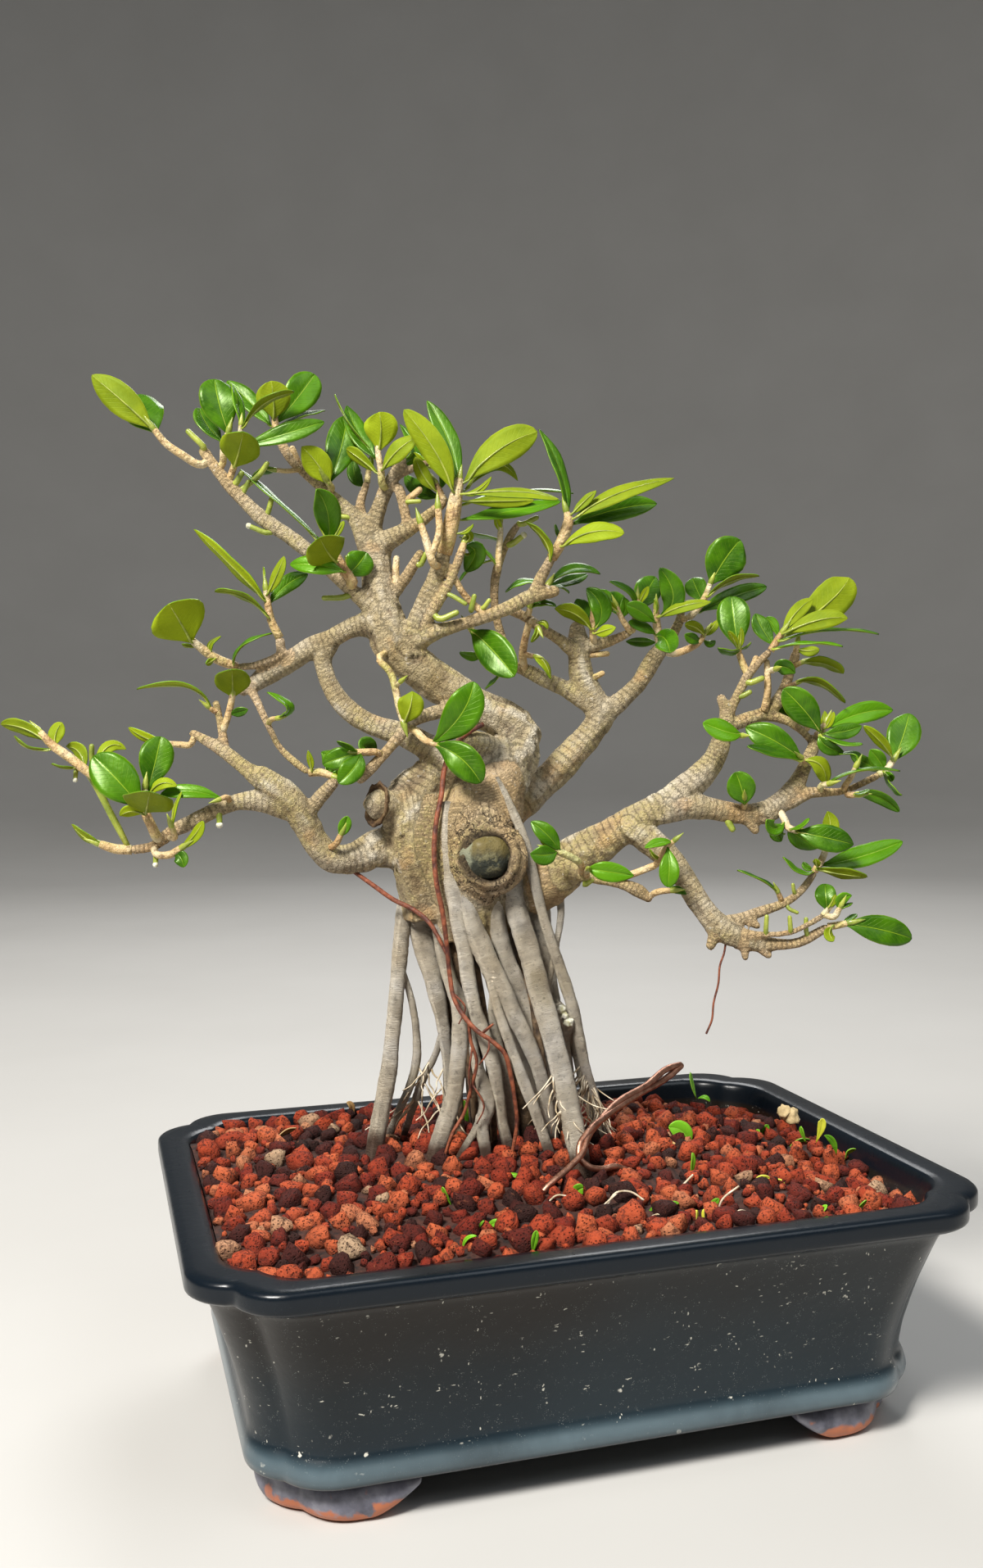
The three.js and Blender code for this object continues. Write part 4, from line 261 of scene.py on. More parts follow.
# %% Young red roots and the tie wire
RED_ROOTS = {
  "long": [590,884,13,8, 574,893,15,8, 558,906,16,8, 548,922,16,9, 542,942,16,9, 539,970,18,9,
    533,1000,20,9, 530,1040,21,9, 533,1078,21,9, 540,1112,19,9, 545,1150,17,8, 549,1190,15,8,
    554,1218,16,8, 566,1240,18,8, 582,1258,20,8, 602,1272,21,8, 616,1286,21,8, 623,1310,20,8,
    628,1340,19,7, 631,1370,18,7, 626,1404,17,6],
  "cross": [432,1064,9,7, 456,1081,9,8, 480,1098,9,8, 504,1110,10,8, 524,1126,12,8, 536,1146,14,7,
    547,1168,15,6],
  "drop": [572,1246,18,6, 575,1272,17,6, 582,1294,17,6, 578,1318,16,6, 572,1340,15,6, 566,1360,14,6,
    553,1382,15,6, 545,1404,15,5],
}
TIE_WIRE = {
  "upper_strand": [656,1462,54,8, 669,1448,52,8, 697,1423,42,8, 711,1407,36,8, 717,1390,31,8,
    730,1371,18,8, 753,1346,2,8, 789,1325,-17,8, 818,1303,-33,8, 830,1300,-37,8],
  "lower_strand": [764,1428,27,8, 750,1424,30,8, 735,1427,33,8, 719,1424,36,8, 708,1414,36,8,
    707,1400,34,8, 718,1382,29,8, 738,1364,14,8, 779,1336,-11,8, 820,1311,-33,8, 831,1301,-37,8],
}
print(len(RED_ROOTS), "red roots,", len(TIE_WIRE), "strands of wire")

# %% [markdown]
# A leafy shoot has stems, and leaves. A leaf is one row: its foot, its middle and its tip, with
# three numbers each, its width in pixels, and its turn. At a turn of 0 degrees its upper face looks
# at the eye, and at 180 its underside does.

# %% Leafy shoots
SPRAYS = {
  "spray_upper_left": ([[247,567,9,10, 222,555,12,10, 200,539,14,9, 189,525,15,8]],
    [[187,524,15,150,490,17,112,458,16,38,178],[192,530,12,176,506,6,164,482,-4,52,20]]),
  "spray_upper_left_b": ([[270,569,8,9, 273,548,10,9, 278,530,11,8],[279,588,9,9, 287,565,12,8,
    292,540,14,7, 294,520,14,6]],[[280,532,11,268,495,12,262,463,8,46,8],
    [272,540,8,254,520,4,243,498,0,28,35],[286,570,14,292,550,20,297,527,28,50,180],
    [294,524,13,292,500,11,283,468,8,22,60],[296,522,15,322,492,20,359,478,22,20,-120],
    [294,546,14,350,529,15,396,515,12,26,-25]]),
  "spray_leader_left": ([[342,540,0,9, 338,527,1,9, 335,510,2,8, 333,500,2,7]],
    [[334,512,3,334,490,6,331,465,8,42,180],[338,516,0,366,482,-5,384,457,-10,42,0],
    [340,520,-3,372,507,-8,397,501,-13,22,-78],[331,520,0,306,492,-5,277,465,-10,26,25]]),
  "spray_leader_mid_left": ([[404,594,4,9, 400,588,6,8]],[[402,592,6,388,567,9,368,545,12,34,180],
    [402,590,4,416,548,0,424,508,-6,40,0]]),
  "spray_left_shoot": ([[430,711,10,14, 418,692,12,13, 408,675,14,11, 402,662,15,8]],
    [[410,686,16,400,674,22,390,656,30,54,180],[420,698,16,388,690,18,354,689,14,26,25],
    [424,702,12,438,688,11.5,447,674,10.5,36,0],[396,664,13,340,613,11,293,573,7,20,75],
    [401,662,16,400,626,22,386,597,30,34,10],[399,662,14,391,638,14,384,620,13,9,150],
    [404,664,13,412,650,13,420,636,13,9,150]]),
  "spray_leader_mid": ([[447,589,-7,8, 450,575,-8,7]],[[446,594,-9,434,582,-14,431,562,-18,18,0],
    [450,580,-8,452,568,-9,453,556,-10,8,170]]),
  "spray_leader_centre": ([[467,592,6,10, 465,572,8,9, 462,556,9,8, 461,545,9,7]],
    [[462,552,9,465,525,12,463,503,14,42,180],[459,560,6,438,530,0,423,495,-8,26,20],
    [460,556,4,426,515,0,409,481,-4,18,85],[462,578,7,440,560,6,423,548,4,18,150],
    [467,574,10,486,550,13,512,532,13,26,150],[470,568,4,506,556,-12,488,518,-21,20,35]]),
  "spray_leader_fork": ([[530,563,0,8, 536,562,-2,7, 540,570,-5,7]],
    [[539,572,-6,520,566,-8,506,552,-12,14,120],[541,574,-8,550,584,-12,560,600,-16,16,30]]),
  "spray_knuckle": ([[543,612,6,9, 538,602,4,8, 533,592,2,7]],[[533,600,4,518,582,6,507,558,4.5,18,170],
    [536,598,2,541,584,2,540,566,0,12,30],[539,606,2,514,600,-4,496,580,-12,20,20]]),
  "spray_crown": ([[542,676,11,19, 548,652,12,20, 553,628,13,19, 557,604,14,16, 560,588,14,12]],
    [[553,600,17,532,552,20,493,500,20,34,172],[560,590,11,547,538,6,521,489,1,27,20],
    [566,590,14,608,550,15,656,527,13,42,165],[566,600,12,604,568,8,632,587,4,15,150],
    [568,604,17,630,601,20,682,610,22,20,125],[566,612,10,612,612,8,652,611,6,16,170],
    [564,634,10,618,625,8,685,612,2,24,-45],[562,602,14,582,600,16,600,582,18,9,150],
    [560,652,13,570,648,14,578,640,15,9,120],[563,616,6,630,600,-2,700,602,-8,20,-84]]),
  "spray_crown_low": ([[562,674,12,10, 566,664,11,8]],[[566,668,10,580,674,6,568,698,1,28,0],
    [567,664,11,574,655,12,566,648,12,10,150]]),
  "spray_upright": ([[608,694,0,8, 609,672,1,8, 611,648,2,7, 611,638,2,6]],
    [[607,690,1,588,670,3,561,655,4,20,80],[610,660,0,590,654,-6,568,651,-11,20,-78],
    [606,682,-1,578,692,-6,560,711,-12,20,80],[611,650,2,608,640,3,605,630,4,10,150]]),
  "spray_right_crown": ([[674,681,9,14, 684,664,10,14, 691,647,11,14, 694,634,11,12, 692,626,11,8]],
    [[693,632,11,684,576,8,658,524,4,24,55],[686,668,13,722,650,18,762,651,20,27,150],
    [700,634,12,752,604,12,823,584,8,24,140],[698,640,9,752,622,4,802,615,-2,30,-15],
    [698,628,12,713,613,13,728,599,14,13,150],[672,684,11,666,660,13,642,637,14,18,120],
    [684,660,9,680,650,8,678,640,7,8,60]]),
  "spray_behind": ([[662,727,-4,9, 668,716,-6,8]],[[666,718,-6,642,710,-8,617,723,-10,20,70],
    [670,714,-8,700,694,-12,733,701,-16,20,-55],[668,716,-10,692,710,-18,717,701,-26,18,-40],
    [668,720,-5,682,716,-4,695,724,-4,14,-80]]),
  "spray_cross": ([[645,749,-5,8, 647,742,-3,7]],[[646,744,-3,660,736,-1,679,740,0,16,-60],
    [646,743,-3,640,736,-2,630,743,-1,12,40],[647,744,-3,652,732,-3,652,719,-3,9,150]]),
  "spray_centre": ([[622,815,-14,10, 604,804,-8,9, 588,786,-4,9, 575,768,-2,8]],
    [[574,769,-1,600,792,6,628,826,12,44,8],[592,794,-6,578,801,-5,561,796,-5,14,-40],
    [616,812,-13,606,828,-12,592,841,-13,18,80]]),
  "spray_knuckle_right": ([[724,777,-14,9, 724,760,-12,9, 724,746,-11,7]],
    [[722,768,-11,702,749,-8,677,743,-6,22,150],[723,764,-15,713,748,-22,704,731,-28,24,0],
    [726,768,-9,734,742,-6,716,718,-8,27,10],[726,760,-16,738,738,-24,729,721,-32,24,0],
    [726,774,-9,738,770,-6,752,766,-4,16,150]]),
  "spray_knuckle_tip": ([[768,769,-14,8, 759,755,-13,7, 753,741,-12,6],[772,766,-18,8, 777,748,-18,7,
    778,732,-18,6]],[[758,754,-13,763,742,-13,761,729,-13,14,20],
    [754,746,-11,748,741,-10,741,734,-9,10,140],[760,756,-15,754,738,-26,736,728,-38,26,0],
    [777,742,-18,768,722,-13,744,710,-9,16,60],[779,740,-18,785,728,-17,792,716,-16,10,150],
    [778,744,-20,790,722,-28,800,704,-36,34,0]]),
  "spray_right_centre": ([[806,789,-22,12, 803,772,-20,11, 801,754,-18,9, 801,744,-17,7]],
    [[806,752,-16,822,728,-12,805,693,-10,30,0],[805,754,-15,832,741,-10,868,735,-8,18,140],
    [801,776,-17,812,780,-8,818,797,2,30,0],[800,752,-17,801,742,-16,799,731,-15,9,100],
    [800,760,-16,784,748,-13,765,738,-12,22,5],[800,774,-18,786,766,-16,767,759,-15,16,35],
    [802,784,-24,784,784,-30,764,783,-36,12,0]]),
  "spray_right_centre_up": ([[838,755,-20,9, 852,742,-19,9, 862,726,-18,8, 867,713,-17,7]],
    [[867,714,-17,884,684,-15,904,659,-16,50,5],[858,736,-21,850,718,-27,845,706,-32,27,0],
    [864,728,-15,892,709,-12,927,703,-12,18,-115],[852,748,-21,890,730,-26,936,716,-32,23,-18]]),
  "spray_right_centre_low": ([[816,797,-22,9, 838,793,-21,9, 854,783,-20,8, 860,774,-20,6]],
    [[856,782,-20,846,780,-17,836,774,-15,14,10],[858,780,-21,866,786,-22,873,782,-24,9,20],
    [860,776,-19,850,766,-15,836,762,-13,15,150],[860,776,-20,869,768,-20,877,756,-20,12,140]]),
  "spray_right_glossy": ([[903,797,8,7, 902,792,8,6]],[[902,794,8,896,757,6,893,728,2,41,0],
    [903,794,9,892,796,12,876,791,15,16,-60],[903,793,8,911,790,8,917,784,8,10,80],
    [901,792,10,896,780,13,889,770,15,9,150],[903,792,10,905,780,12,905,766,13,8,150]]),
  "spray_right_top": ([[940,794,12,9, 948,783,13,9, 954,774,14,8]],
    [[944,788,12,931,768,10,922,749,8,23,20],[950,778,9,944,763,4,935,754,0,14,20],
    [954,774,12,972,748,9,992,731,6,19,160],[956,774,16,1000,757,21,1035,755,22,25,163],
    [955,778,8,1012,735,2,1036,705,-2,46,180],[951,782,16,1010,769,14,1073,774,10,22,-82],
    [944,792,16,985,785,20,1029,789,22,20,-82]]),
  "spray_right_back": ([[971,797,1,9, 973,788,1,7]],[[972,792,1,986,795,3,1000,792,4,14,150]]),
  "leaf_right_back_a": ([[970,812,2,7, 978,809,3,6]],[[976,810,3,1005,809,5,1030,822,5,24,-125]]),
  "leaf_right_back_b": ([[964,838,5,7, 972,834,6,6]],[[970,835,6,998,833,9,1032,858,9,22,-115]]),
  "spray_right_mid": ([[999,898,9,11, 1003,892,10,10, 1007,884,10,7]],
    [[1001,893,14,981,866,16,956,841,15,38,2],[1005,890,10,1006,880,8,1007,868,6,11,140],
    [1007,890,12,1013,881,14,1018,869,15,11,140],[1006,890,8,1050,871,5,1090,867,0,27,-12],
    [1005,896,13,1030,893,14,1052,886,12,21,-15],[1003,898,15,1030,908,19,1053,908,21,14,-70],
    [1000,898,14,1009,911,16,1031,919,14,18,10]]),
  "spray_right_mid_left": ([[983,930,14,8, 979,926,16,7]],[[980,927,16,945,904,18,910,888,14,35,10],
    [980,928,17,945,919,22,912,911,24,20,60],[982,928,16,1002,935,16,1008,958,13,24,150]]),
  "spray_far_right": ([[1072,945,15,9, 1082,940,15,9, 1089,930,15,8]],
    [[1090,930,14,1102,900,10,1110,871,5,41,0],[1090,926,17,1075,905,21,1054,886,23,16,150],
    [1080,940,13,1072,927,12,1062,915,11,20,0],[1078,942,9,1057,932,2,1038,920,-4,16,10],
    [1080,941,16,1086,948,18,1089,954,19,11,10],[1078,942,17,1088,960,21,1101,971,24,14,70]]),
  "leaf_limb_round": ([[909,981,16,8, 909,976,18,7]],[[909,982,18,906,965,20,898,942,20,35,0]]),
  "spray_right_under": ([[958,1001,16,9, 962,1010,18,9, 974,1014,20,8]],
    [[958,1004,18,945,1011,22,936,1000,26,20,30],[960,1008,18,949,1015,17,954,1027,14,20,0],
    [962,1010,18,976,1022,15,1000,1034,10,26,8],[972,1015,22,1010,1023,26,1042,1031,24,34,-10],
    [964,1012,21,977,1009,24,988,999,26,10,-60]]),
  "spray_low_right_up": ([[993,1063,18,9, 1000,1055,19,9, 1007,1040,16,8, 1010,1026,12,7]],
    [[1001,1056,17,1050,1046,14,1102,1027,8,29,-20],[996,1060,20,1025,1066,24,1059,1070,26,22,-125],
    [1009,1030,12,1014,1010,10,1010,990,9,21,165],[992,1064,20,976,1064,22,956,1046,24,16,70],
    [994,1062,16,985,1059,13,981,1052,11,9,10],[998,1058,22,997,1054,24,996,1048,25,10,150]]),
  "spray_low_right_in": ([[1004,1117,33,8, 1009,1112,33,8, 1014,1106,33,7],[1006,1117,33,7,
    1018,1119,34,8, 1025,1108,35,7]],[[1010,1112,33,1008,1095,33,1007,1079,29,26,0],
    [1012,1108,34,1017,1100,35,1020,1092,35,10,140],[1024,1110,35,1027,1098,36,1040,1093,36,15,20],
    [1024,1110,35,1032,1106,35,1041,1102,34,9,-60]]),
  "spray_low_right_tip": ([[1011,1131,31,10, 1024,1129,32,9, 1034,1127,33,8]],
    [[1030,1128,33,1072,1134,35,1113,1146,32,36,-8],[1028,1127,33,1038,1121,33,1046,1116,32,10,-50],
    [1016,1131,34,1012,1140,38,1018,1149,41,14,150]]),
  "spray_front": ([[704,1050,33,9, 688,1042,35,9, 676,1038,36,8]],
    [[684,1040,36,668,1019,38,648,1003,36,23,10],[680,1040,37,665,1044,40,647,1042,41,25,0],
    [682,1040,35,670,1032,36,659,1024,37,10,150]]),
  "spray_front_right": ([[800,1056,26,8, 808,1044,30,8, 814,1034,33,7, 822,1027,34,6]],
    [[815,1034,34,817,1060,38,815,1083,38,25,0],[820,1028,34,806,1028,37,787,1035,38,14,40],
    [806,1048,28,799,1046,30,793,1036,31,9,120]]),
  "spray_fork_pair": ([[508,893,16,10, 520,904,20,9, 534,909,22,8]],
    [[528,907,22,563,872,28,578,832,27,46,0],[530,909,22,562,925,28,587,956,28,40,4]]),
  "shoot_green": ([[463,806,16,8, 476,820,16,9, 483,842,17,9, 487,862,18,9, 492,880,19,8],[483,838,17,7,
    488,833,19,6]],[[492,884,19,501,862,22,503,844,20,33,180]]),
  "spray_grey_left": ([[462,919,18,9, 448,918,20,9, 436,918,21,8]],
    [[440,918,20,446,911,16,454,922,11,26,0],[440,920,22,432,937,26,413,956,28,29,4],
    [436,918,22,424,911,25,411,905,26,10,-50],[438,919,21,416,925,23,394,933,22,27,8]]),
  "spray_hanging": ([[377,944,10,10, 392,943,11,10, 404,947,12,9]],
    [[396,944,10,404,930,6,392,918,2,22,0],[381,941,12,379,930,13,376,916,14,9,150],
    [402,946,12,411,940,12,414,948,11,12,10]]),
  "spray_left_fan": ([[289,814,6,11, 264,804,8,12, 248,793,10,11, 236,783,12,9]],
    [[234,784,13,219,758,20,206,737,26,72,180],[260,802,9,256,788,10,270,777,10,12,120],
    [284,812,7,296,788,11,332,773,12,18,-80],[262,804,10,256,808,13,251,810,15,9,150],
    [242,788,10,231,789,11,222,786,12,9,120]]),
  "spray_left_up": ([[340,779,4,11, 331,757,5,10, 327,738,5,9, 325,722,5,8]],
    [[325,734,6,290,697,9,237,646,8,24,125],[329,754,7,298,729,10,262,722,10,20,112],
    [326,727,6,338,703,8,347,679,8,16,150],[328,738,2,350,714,-2,376,701,-7,22,-18],
    [325,724,4,323,708,3,322,692,2,9,100]]),
  "spray_gold": ([[275,894,20,9, 280,868,21,9, 284,848,22,8]],
    [[284,852,22,284,834,26,283,817,34,44,180],[281,872,21,292,869,23,303,866,24,12,10]]),
  "leaf_long_arc": ([[262,868,20,7, 256,864,21,6]],[[258,865,21,228,838,25,167,841,26,20,105]]),
  "spray_left_point": ([[232,909,20,8, 220,909,20,8, 208,908,20,7]],
    [[212,909,20,182,902,22,157,888,22,13,150]]),
  "spray_left_big": ([[190,1019,30,13, 184,1006,32,12, 178,993,33,12, 176,976,33,10, 177,964,33,8],
    [176,984,33,10, 142,962,31,12, 110,944,30,12, 84,924,29,12, 62,908,28,11, 50,895,27,9]],
    [[180,966,33,190,928,31,196,899,28,42,0],[172,986,36,145,954,38,114,923,35,52,4],
    [178,992,37,180,982,42,183,966,50,62,180],[180,974,32,196,957,34,216,960,34,16,150],
    [176,994,36,160,990,39,146,996,40,17,150],[58,906,28,30,889,27,1,884,25,20,150],
    [62,914,29,34,912,30,18,898,31,16,100],[68,912,28,68,897,27,76,882,26,20,160],
    [92,936,30,78,937,32,63,932,34,13,100],[104,938,28,97,918,25,81,911,22,20,150],
    [116,940,26,132,912,22,154,915,19,17,150]]),
  "spray_left_low_point": ([[161,1037,26,12, 140,1036,27,12, 124,1031,28,10]],
    [[128,1032,28,106,1023,29,88,1006,29,17,120]]),
  "spray_left_low_right": ([[190,1042,29,9, 208,1043,31,10, 220,1036,33,9]],
    [[218,1038,33,237,1021,35,248,1002,36,16,145],[212,1042,32,220,1046,34,224,1059,35,18,10]]),
  "leaf_front_low": ([[716,1068,22,8, 717,1063,30,8, 718,1061,36,7]],
    [[716,1060,36,742,1064,38,774,1069,37,25,0]]),
}
print(len(SPRAYS), "shoots have a solid of their own")

# %% Shoots that grow right on the bare limbs
ON_WOOD = {
  "leader_low": ([[364,573,3,7, 350,575,4,6, 338,574,5,6]],[[340,574,5,324,574,5,307,583,5,16,-55]]),
  "cross_low": ([[652,758,-4,8, 656,765,-2,7]],[[655,763,-2,656,772,0,648,784,2,11,130],
    [655,762,-2,664,760,-1,668,768,0,11,130]]),
  "crown_green": ([[529,688,17,10, 521,662,18,10, 514,640,18,8],[526,680,17,8, 536,650,18,9,
    535,622,18,8]],[]),
  "centre_yellow": ([[646,800,-12,7, 652,801,-10,6]],[[650,801,-10,663,808,-7,672,829,-5,18,120]]),
  "front_stub": ([[795,1093,23,8, 806,1088,27,8, 818,1087,28,7]],
    [[812,1088,28,826,1086,28,838,1092,29,10,10]]),
  "left_pendant": ([[214,1022,31,7, 210,1010,33,7]],[[211,1013,33,213,988,34,222,967,33,9,120]]),
  "left_cut": ([[411,1029,19,8, 416,1019,20,7]],[[414,1022,20,420,1010,21,424,996,22,16,10]]),
  "low_arc": ([[953,1097,20,7, 950,1090,21,6]],[[951,1092,21,935,1077,22,900,1062,22,14,80]]),
  "tip_curl": ([[1031,960,17,8, 1038,950,18,8, 1044,938,19,7]],
    [[1042,942,19,1047,922,18,1024,921,16,16,70]]),
  "right_back_c": ([[943,818,10,8, 946,817,12,7]],[[944,818,12,956,814,14,971,822,14,20,12]]),
  "right_mid_back": ([[986,888,4,7, 978,882,2,6]],[[980,884,2,963,873,-2,936,865,-5,18,20]]),
  "hanging_curl": ([[332,878,9,7, 337,877,10,6]],[[335,878,10,353,864,14,326,845,16,20,62]]),
  "left_inner": ([[276,973,28,7, 270,975,29,6]],[[272,975,29,232,966,31,196,970,30,20,30]]),
  "tip_arc": ([[1003,959,16,8, 1010,957,18,7]],[[1008,958,18,1047,941,22,1099,941,22,20,-80]]),
  "tip_low": ([[1036,970,16,9, 1044,970,18,8]],[[1042,970,18,1070,972,18,1098,991,16,17,20],
    [1042,969,19,1052,968,21,1062,964,22,9,-60]]),
  "elbow": ([[886,895,12,8, 896,898,19,7, 904,898,23,7]],[[905,896,24,886,893,28,858,882,28,29,30]]),
}
print(len(ON_WOOD), "shoots sit on the wood's own solid")

# %% [markdown]
# ## Paths and tubes
# A limb is a soft path with a width that changes along it. A curve object is the natural tool:
# one curve can hold many splines, and each point of a spline has its own radius. The path is made
# denser first, so that the tube bends as wood does, and its end is rounded off.

# %% Smooth paths with a radius
PATH_STEPS = 4
TIP_ANGLES = (0.5, 0.95, 1.3)


def rows_of(points):
    """Rows of x, y, z and radius for a list of points of the picture"""
    points = np.reshape(points, (-1, 4))
    return np.array([(*spot(*point[:3]), span(point[3], point[2]) / 2) for point in points])


def flowing(rows, steps=PATH_STEPS):
    """More rows, on a smooth path that passes through the given ones"""
    rows = np.asarray(rows, float)
    gaps = np.linalg.norm(np.diff(rows[:, :3], axis=0), axis=1) + 1e-9
    slopes = np.gradient(rows, np.concatenate([[0], np.cumsum(gaps)]), axis=0)
    run = []
    for i, gap in enumerate(gaps):
        for share in np.arange(steps) / steps:
            cube, square = share**3, share**2
            run.append(
                (2 * cube - 3 * square + 1) * rows[i]
                + (cube - 2 * square + share) * gap * slopes[i]
                + (3 * square - 2 * cube) * rows[i + 1]
                + (cube - square) * gap * slopes[i + 1]
            )
    run.append(rows[-1])
    return np.array(run)


def rounded(run):
    """The run with a rounded tip"""
    way = run[-1, :3] - run[-2, :3]
    way = way / (np.linalg.norm(way) + 1e-9)
    radius = run[-1, 3]
    tip = [(*(run[-1, :3] + way * radius * math.sin(a)), radius * math.cos(a)) for a in TIP_ANGLES]
    return np.vstack([run, tip])


leader_rows = rows_of(LIMBS["leader"])
print("the leader's", len(leader_rows), "points become", len(flowing(leader_rows)))

# %% Objects and finished meshes
def linked(name, data):
    """A new object in the scene"""
    piece = bpy.data.objects.new(name, data)
    bpy.context.scene.collection.objects.link(piece)
    return piece


def settled(holder):
    """The mesh of an object once its modifiers or its curve have done their work"""
    graph = bpy.context.evaluated_depsgraph_get()
    mesh = bpy.data.meshes.new_from_object(holder.evaluated_get(graph))
    old = holder.data
    bpy.data.objects.remove(holder)
    bpy.data.batch_remove([old])
    return mesh


def meshed(bm, name):
    """Ends a bmesh as a smooth mesh"""
    mesh = bpy.data.meshes.new(name)
    bm.to_mesh(mesh)
    bm.free()
    mesh.polygons.foreach_set("use_smooth", np.ones(len(mesh.polygons), bool))
    return mesh


# %% [markdown]
# A curve's tube comes out open at the seam of its end caps, so its double points are merged, and
# its faces are turned outwards once that is done.

# %% Tubes from paths
LEAST_RADIUS = 0.04 * MM
DOUBLES = 0.001 * MM


def tubes(runs, sides=12):
    """One mesh with a closed round tube along each run"""
    curve = bpy.data.curves.new("tubes", "CURVE")
    curve.dimensions = "3D"
    curve.bevel_depth = 1
    curve.bevel_resolution = (sides - 4) // 2
    curve.use_fill_caps = True
    for run in runs:
        spline = curve.splines.new("POLY")
        spline.points.add(len(run) - 1)
        places = np.column_stack([run[:, :3], np.ones(len(run))])
        spline.points.foreach_set("co", places.ravel())
        spline.points.foreach_set("radius", np.maximum(run[:, 3], LEAST_RADIUS))
    mesh = settled(linked("tubes", curve))
    bm = bmesh.new()
    bm.from_mesh(mesh)
    bmesh.ops.remove_doubles(bm, verts=bm.verts, dist=DOUBLES)
    bmesh.ops.recalc_face_normals(bm, faces=bm.faces)
    bpy.data.meshes.remove(mesh)
    return meshed(bm, "tubes")


print("no tube is thinner than", 2 * LEAST_RADIUS / MM, "mm")

# %% [markdown]
# ## Materials as sums
# A pattern is arithmetic on masks, so it reads best as arithmetic. A small class wraps a socket,
# and Python's own operators on it add Math nodes. Every other node comes from one method.

# %% A socket with operators
class Wire:
    """The output of a node, which + - and * turn into Math nodes"""

    def __init__(self, finish, socket):
        self.finish = finish
        self.socket = socket

    def math(self, operation, *others):
        values = dict(enumerate((self, *others)))
        return self.finish.node("Math", {"operation": operation}, values)

    def __add__(self, other):
        return self.math("ADD", other)

    def __sub__(self, other):
        return self.math("SUBTRACT", other)

    def __mul__(self, other):
        return self.math("MULTIPLY", other)

    def __rsub__(self, other):
        return self.finish.node("Math", {"operation": "SUBTRACT"}, {0: other, 1: self})

    __radd__ = __add__
    __rmul__ = __mul__

    def between(self, low, high, to_low=0, to_high=1):
        """The value, stretched smoothly from low..high to to_low..to_high"""
        values = {0: self, 1: low, 2: high, 3: to_low, 4: to_high}
        return self.finish.node("MapRange", {"interpolation_type": "SMOOTHSTEP"}, values)


print("operators of a socket: + - and *")

# %% [markdown]
# A finish starts from the shader that every new material has. What is the same all over a surface
# is set on the shader's own sockets. What changes is built from patterns: noise for growth and
# weather, cells for grains and pores, and ramps that turn a number into a colour.

# %% A material that makes nodes
class Finish:
    """A material, with one method that adds a node of any kind"""

    def __init__(self, name, **constants):
        self.material = bpy.data.materials.new(name)
        self.material.use_nodes = True
        self.nodes = self.material.node_tree.nodes
        self.links = self.material.node_tree.links
        self.shader = self.nodes["Principled BSDF"]
        for socket, value in constants.items():
            self.shader.inputs[socket.replace("_", " ")].default_value = value

    def feed(self, socket, value):
        if isinstance(value, Wire):
            self.links.new(value.socket, socket)
        else:
            socket.default_value = value

    def node(self, kind, settings=None, values=None, out=0):
        """A node: its settings come first, then the values or links of its sockets"""
        made = self.nodes.new("ShaderNode" + kind)
        settings = dict(settings or {})
        stops = settings.pop("stops", None)
        for name, value in settings.items():
            setattr(made, name, value)
        if stops:
            ramp = made.color_ramp.elements
            while len(ramp) < len(stops):
                ramp.new(1)
            for element, (place, colour) in zip(ramp, stops):
                element.position = place
                element.color = (*colour, 1)
        for name, value in (values or {}).items():
            self.feed(made.inputs[name], value)
        return Wire(self, made.outputs[out])

    def place(self):
        return self.node("TexCoord", out="Object")

    def attribute(self, name, out="Fac"):
        return self.node("Attribute", {"attribute_name": name}, out=out)

    def split(self, vector):
        parts = self.node("SeparateXYZ", None, {0: vector})
        return [Wire(self, socket) for socket in parts.socket.node.outputs]

    def stretch(self, vector, scale):
        return self.node("VectorMath", {"operation": "MULTIPLY"}, {0: vector, 1: scale})

    def bent(self, place, scale, detail, far):
        """Coordinates that wander a little, so that a pattern on them isn't regular"""
        drift = self.stretch(self.noise(place, scale, detail, out=1), (far,) * 3)
        return self.node("VectorMath", {"operation": "ADD"}, {0: place, 1: drift})

    def noise(self, place, scale, detail=4, rough=0.55, bend=0, out=0):
        values = {"Vector": place, "Scale": scale, "Detail": detail}
        values.update({"Roughness": rough, "Distortion": bend})
        return self.node("TexNoise", None, values, out)

    def cells(self, place, scale, feature="F1", out="Distance", spread=1):
        values = {"Vector": place, "Scale": scale, "Randomness": spread}
        return self.node("TexVoronoi", {"feature": feature}, values, out)

    def blend(self, mask, under, over, how="MIX"):
        """A colour: over laid on under where the mask is 1"""
        settings = {"data_type": "RGBA", "blend_type": how, "clamp_factor": True}
        under, over = [c if isinstance(c, Wire) else (*c, 1) for c in (under, over)]
        return self.node("Mix", settings, {0: mask, 6: under, 7: over}, 2)

    def ramp(self, mask, stops):
        return self.node("ValToRGB", {"stops": stops}, {0: mask})

    def finish(self, colour, rough, relief=None, depth=0.001):
        """Colour, roughness and, where relief is given, a bump of that depth in metres"""
        self.feed(self.shader.inputs["Base Color"], colour)
        self.feed(self.shader.inputs["Roughness"], rough)
        if relief is not None:
            values = {"Height": relief, "Distance": depth, "Strength": 1}
            bump = self.node("Bump", None, values)
            self.feed(self.shader.inputs["Normal"], bump)
        print(self.material.name, "has", len(self.nodes), "nodes")
        return self.material

# %% [markdown]
# Most small things need no more than two tones and a grain. One function serves them all.

# %% A plain finish
def plain_finish(name, dark, light, scale, rough, depth, **constants):
    """Two tones, mixed by a noise that also gives the relief"""
    f = Finish(name, **constants)
    grit = f.noise(f.place(), scale, 4, 0.6)
    base = f.blend(grit.between(0.3, 0.7), dark, light)
    return f.finish(base, rough + grit * 0.12, grit, depth)
